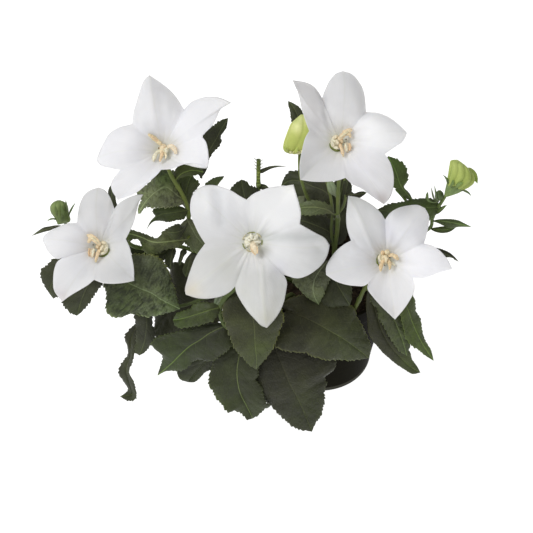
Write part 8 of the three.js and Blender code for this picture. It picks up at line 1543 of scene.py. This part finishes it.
def compost():
    n, rows = 96, 40
    ph = np.linspace(0, 2 * math.pi, n, endpoint=False)
    m = Mesh()
    V, C = [], []
    rt = wall_r(66.5) - 1.65
    for i in range(rows):
        t = (i + 1) / rows
        r = rt * t
        x, y = r * np.cos(ph), r * np.sin(ph)
        z = 66.5 + 1.8 * (1 - t ** 2) - 0.5
        P = np.stack([x, y, np.full(n, z)], -1)
        lump = 0.75 * vnoise(P, 0.22, 3) + 0.55 * np.abs(vnoise(P, 0.5, 4)) + 0.35 * np.abs(vnoise(P, 1.1, 5))
        P[:, 2] = z + (lump - 0.35) * (1 - 0.6 * sstep(0.93, 1, t))
        V.append(P)
        C.append(np.tile(1 + 0.35 * vnoise(P, 0.5, 8)[:, None], (1, 3)))
    for z in np.linspace(62, 3, 8):
        r = wall_r(z) - 1.65
        V.append(np.stack([r * np.cos(ph), r * np.sin(ph), np.full(n, z)], -1)); C.append(np.ones((n, 3)))
    V = np.array(V).reshape(-1, 3); C = np.array(C).reshape(-1, 3)
    faces = ring_faces(rows + 8, n)
    cap = len(V)
    V = np.vstack([V, [[0, 0, 68.0]], [[0, 0, 3]]]); C = np.vstack([C, [[1, 1, 1]], [[1, 1, 1]]])
    for j in range(n):
        faces.append((cap, (j + 1) % n, j))
        faces.append((cap + 1, (rows + 7) * n + j, (rows + 7) * n + (j + 1) % n))
    faces = [f[::-1] for f in faces]
    m.add(V, faces, C)
    # crumbs and bark pieces on the surface
    rng = np.random.default_rng(5)
    ico = [(0, 0, 1), (.89, 0, .45), (.28, .85, .45), (-.72, .53, .45), (-.72, -.53, .45), (.28, -.85, .45), (.72, .53, -.45), (-.28, .85, -.45), (-.89, 0, -.45), (-.28, -.85, -.45), (.72, -.53, -.45), (0, 0, -1)]
    icf = [(0, 1, 2), (0, 2, 3), (0, 3, 4), (0, 4, 5), (0, 5, 1), (1, 6, 2), (2, 7, 3), (3, 8, 4), (4, 9, 5), (5, 10, 1), (6, 7, 2), (7, 8, 3), (8, 9, 4), (9, 10, 5), (10, 6, 1), (11, 7, 6), (11, 8, 7), (11, 9, 8), (11, 10, 9), (11, 6, 10)]
    for k in range(420):
        r = (rt - 1.2) * math.sqrt(rng.uniform(0, 1)); a = rng.uniform(0, 2 * math.pi)
        sc = rng.uniform(0.35, 0.95) if k % 9 else rng.uniform(1.0, 1.8)
        sx = np.array([rng.uniform(0.7, 1.5), rng.uniform(0.6, 1.1), rng.uniform(0.5, 0.9)]) * sc
        V = np.array(ico) * sx * (1 + 0.2 * rng.standard_normal((12, 1)))
        ca, sa = math.cos(a * 3), math.sin(a * 3)
        V = V @ np.array([[ca, -sa, 0], [sa, ca, 0], [0, 0, 1]])
        V = V + [r * math.cos(a), r * math.sin(a), 66.4 + 1.8 * (1 - (r / rt) ** 2) + sc * 0.2]
        g = rng.uniform(0.5, 2.2)
        m.add(V, icf, np.array([g * 1.05, g, g * 0.92]))
    m.build("compost_fill", [SOIL_M], ["soil"], smooth=False)

compost()
pot()
stems()
build_leaves()
for name_, f_ in FLOWERS.items():
    corolla(name_, f_, COROLLA[name_])
stamens()
buds()


# ------------------------------------------------------------------ stage, light, camera
def stage_and_light():
    me = bpy.data.meshes.new("studio_floor")
    s_ = 6.0
    me.from_pydata([(-s_, -s_, 0), (s_, -s_, 0), (s_, s_, 0), (-s_, s_, 0)], [], [(0, 1, 2, 3)])
    floor = bpy.data.objects.new("studio_floor", me)
    scene.collection.objects.link(floor)
    m, nt, b = new_mat("studio_floor_white")
    g = NT(nt)
    n1 = g.noise(3.0, 2, 0.5, g.obj())
    g.link(g.mix(n1, (0.34, 0.34, 0.34), (0.36, 0.36, 0.36)), b.inputs["Base Color"])
    b.inputs["Roughness"].default_value = 0.9
    b.inputs["Specular IOR Level"].default_value = 0.1
    b.inputs["Emission Color"].default_value = (1, 1, 1, 1)
    b.inputs["Emission Strength"].default_value = FLOOR_EMIT
    me.materials.append(m)
    w = bpy.data.worlds.new("studio")
    scene.world = w
    w.use_nodes = True
    bg = w.node_tree.nodes["Background"]
    bg.inputs[0].default_value = (1.0, 1.0, 0.99, 1)
    bg.inputs[1].default_value = WORLD
    for name, loc, aim, size, power, col in LIGHTS:
        ld = bpy.data.lights.new(name, "AREA")
        ld.shape = "RECTANGLE"
        ld.size, ld.size_y = size
        ld.energy = power
        ld.color = col
        lo = bpy.data.objects.new(name, ld)
        lo.location = loc
        d = (np.array(aim) - np.array(loc))
        from mathutils import Vector
        lo.rotation_euler = Vector(d).to_track_quat("-Z", "Y").to_euler()
        scene.collection.objects.link(lo)
    cd = bpy.data.cameras.new("photo_view")
    cd.lens, cd.sensor_width = 121.7, 36.0
    cd.clip_start, cd.clip_end = 0.01, 50
    cam = bpy.data.objects.new("photo_view", cd)
    cam.location = (-0.03146, -0.6991, 0.8248)
    cam.rotation_euler = (math.radians(43), 0, 0)
    scene.collection.objects.link(cam)
    scene.camera = cam
    scene.view_settings.view_transform = "Standard"
    scene.view_settings.look = "None"

WORLD = 0.44
FLOOR_EMIT = 0.98
LIGHTS = [
    ("key_soft", (-0.62, -0.33, 1.02), (-0.03, -0.01, 0.12), (0.45, 0.45), 5.6, (1.0, 0.995, 0.985)),
]
stage_and_light()

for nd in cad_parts.values():
    if not nd.hide_render:
        nd.data.materials.clear()
        nd.data.materials.append(LEAF_M if nd.name.startswith("leaf") else STEM_M)

bpy.context.view_layer.update()
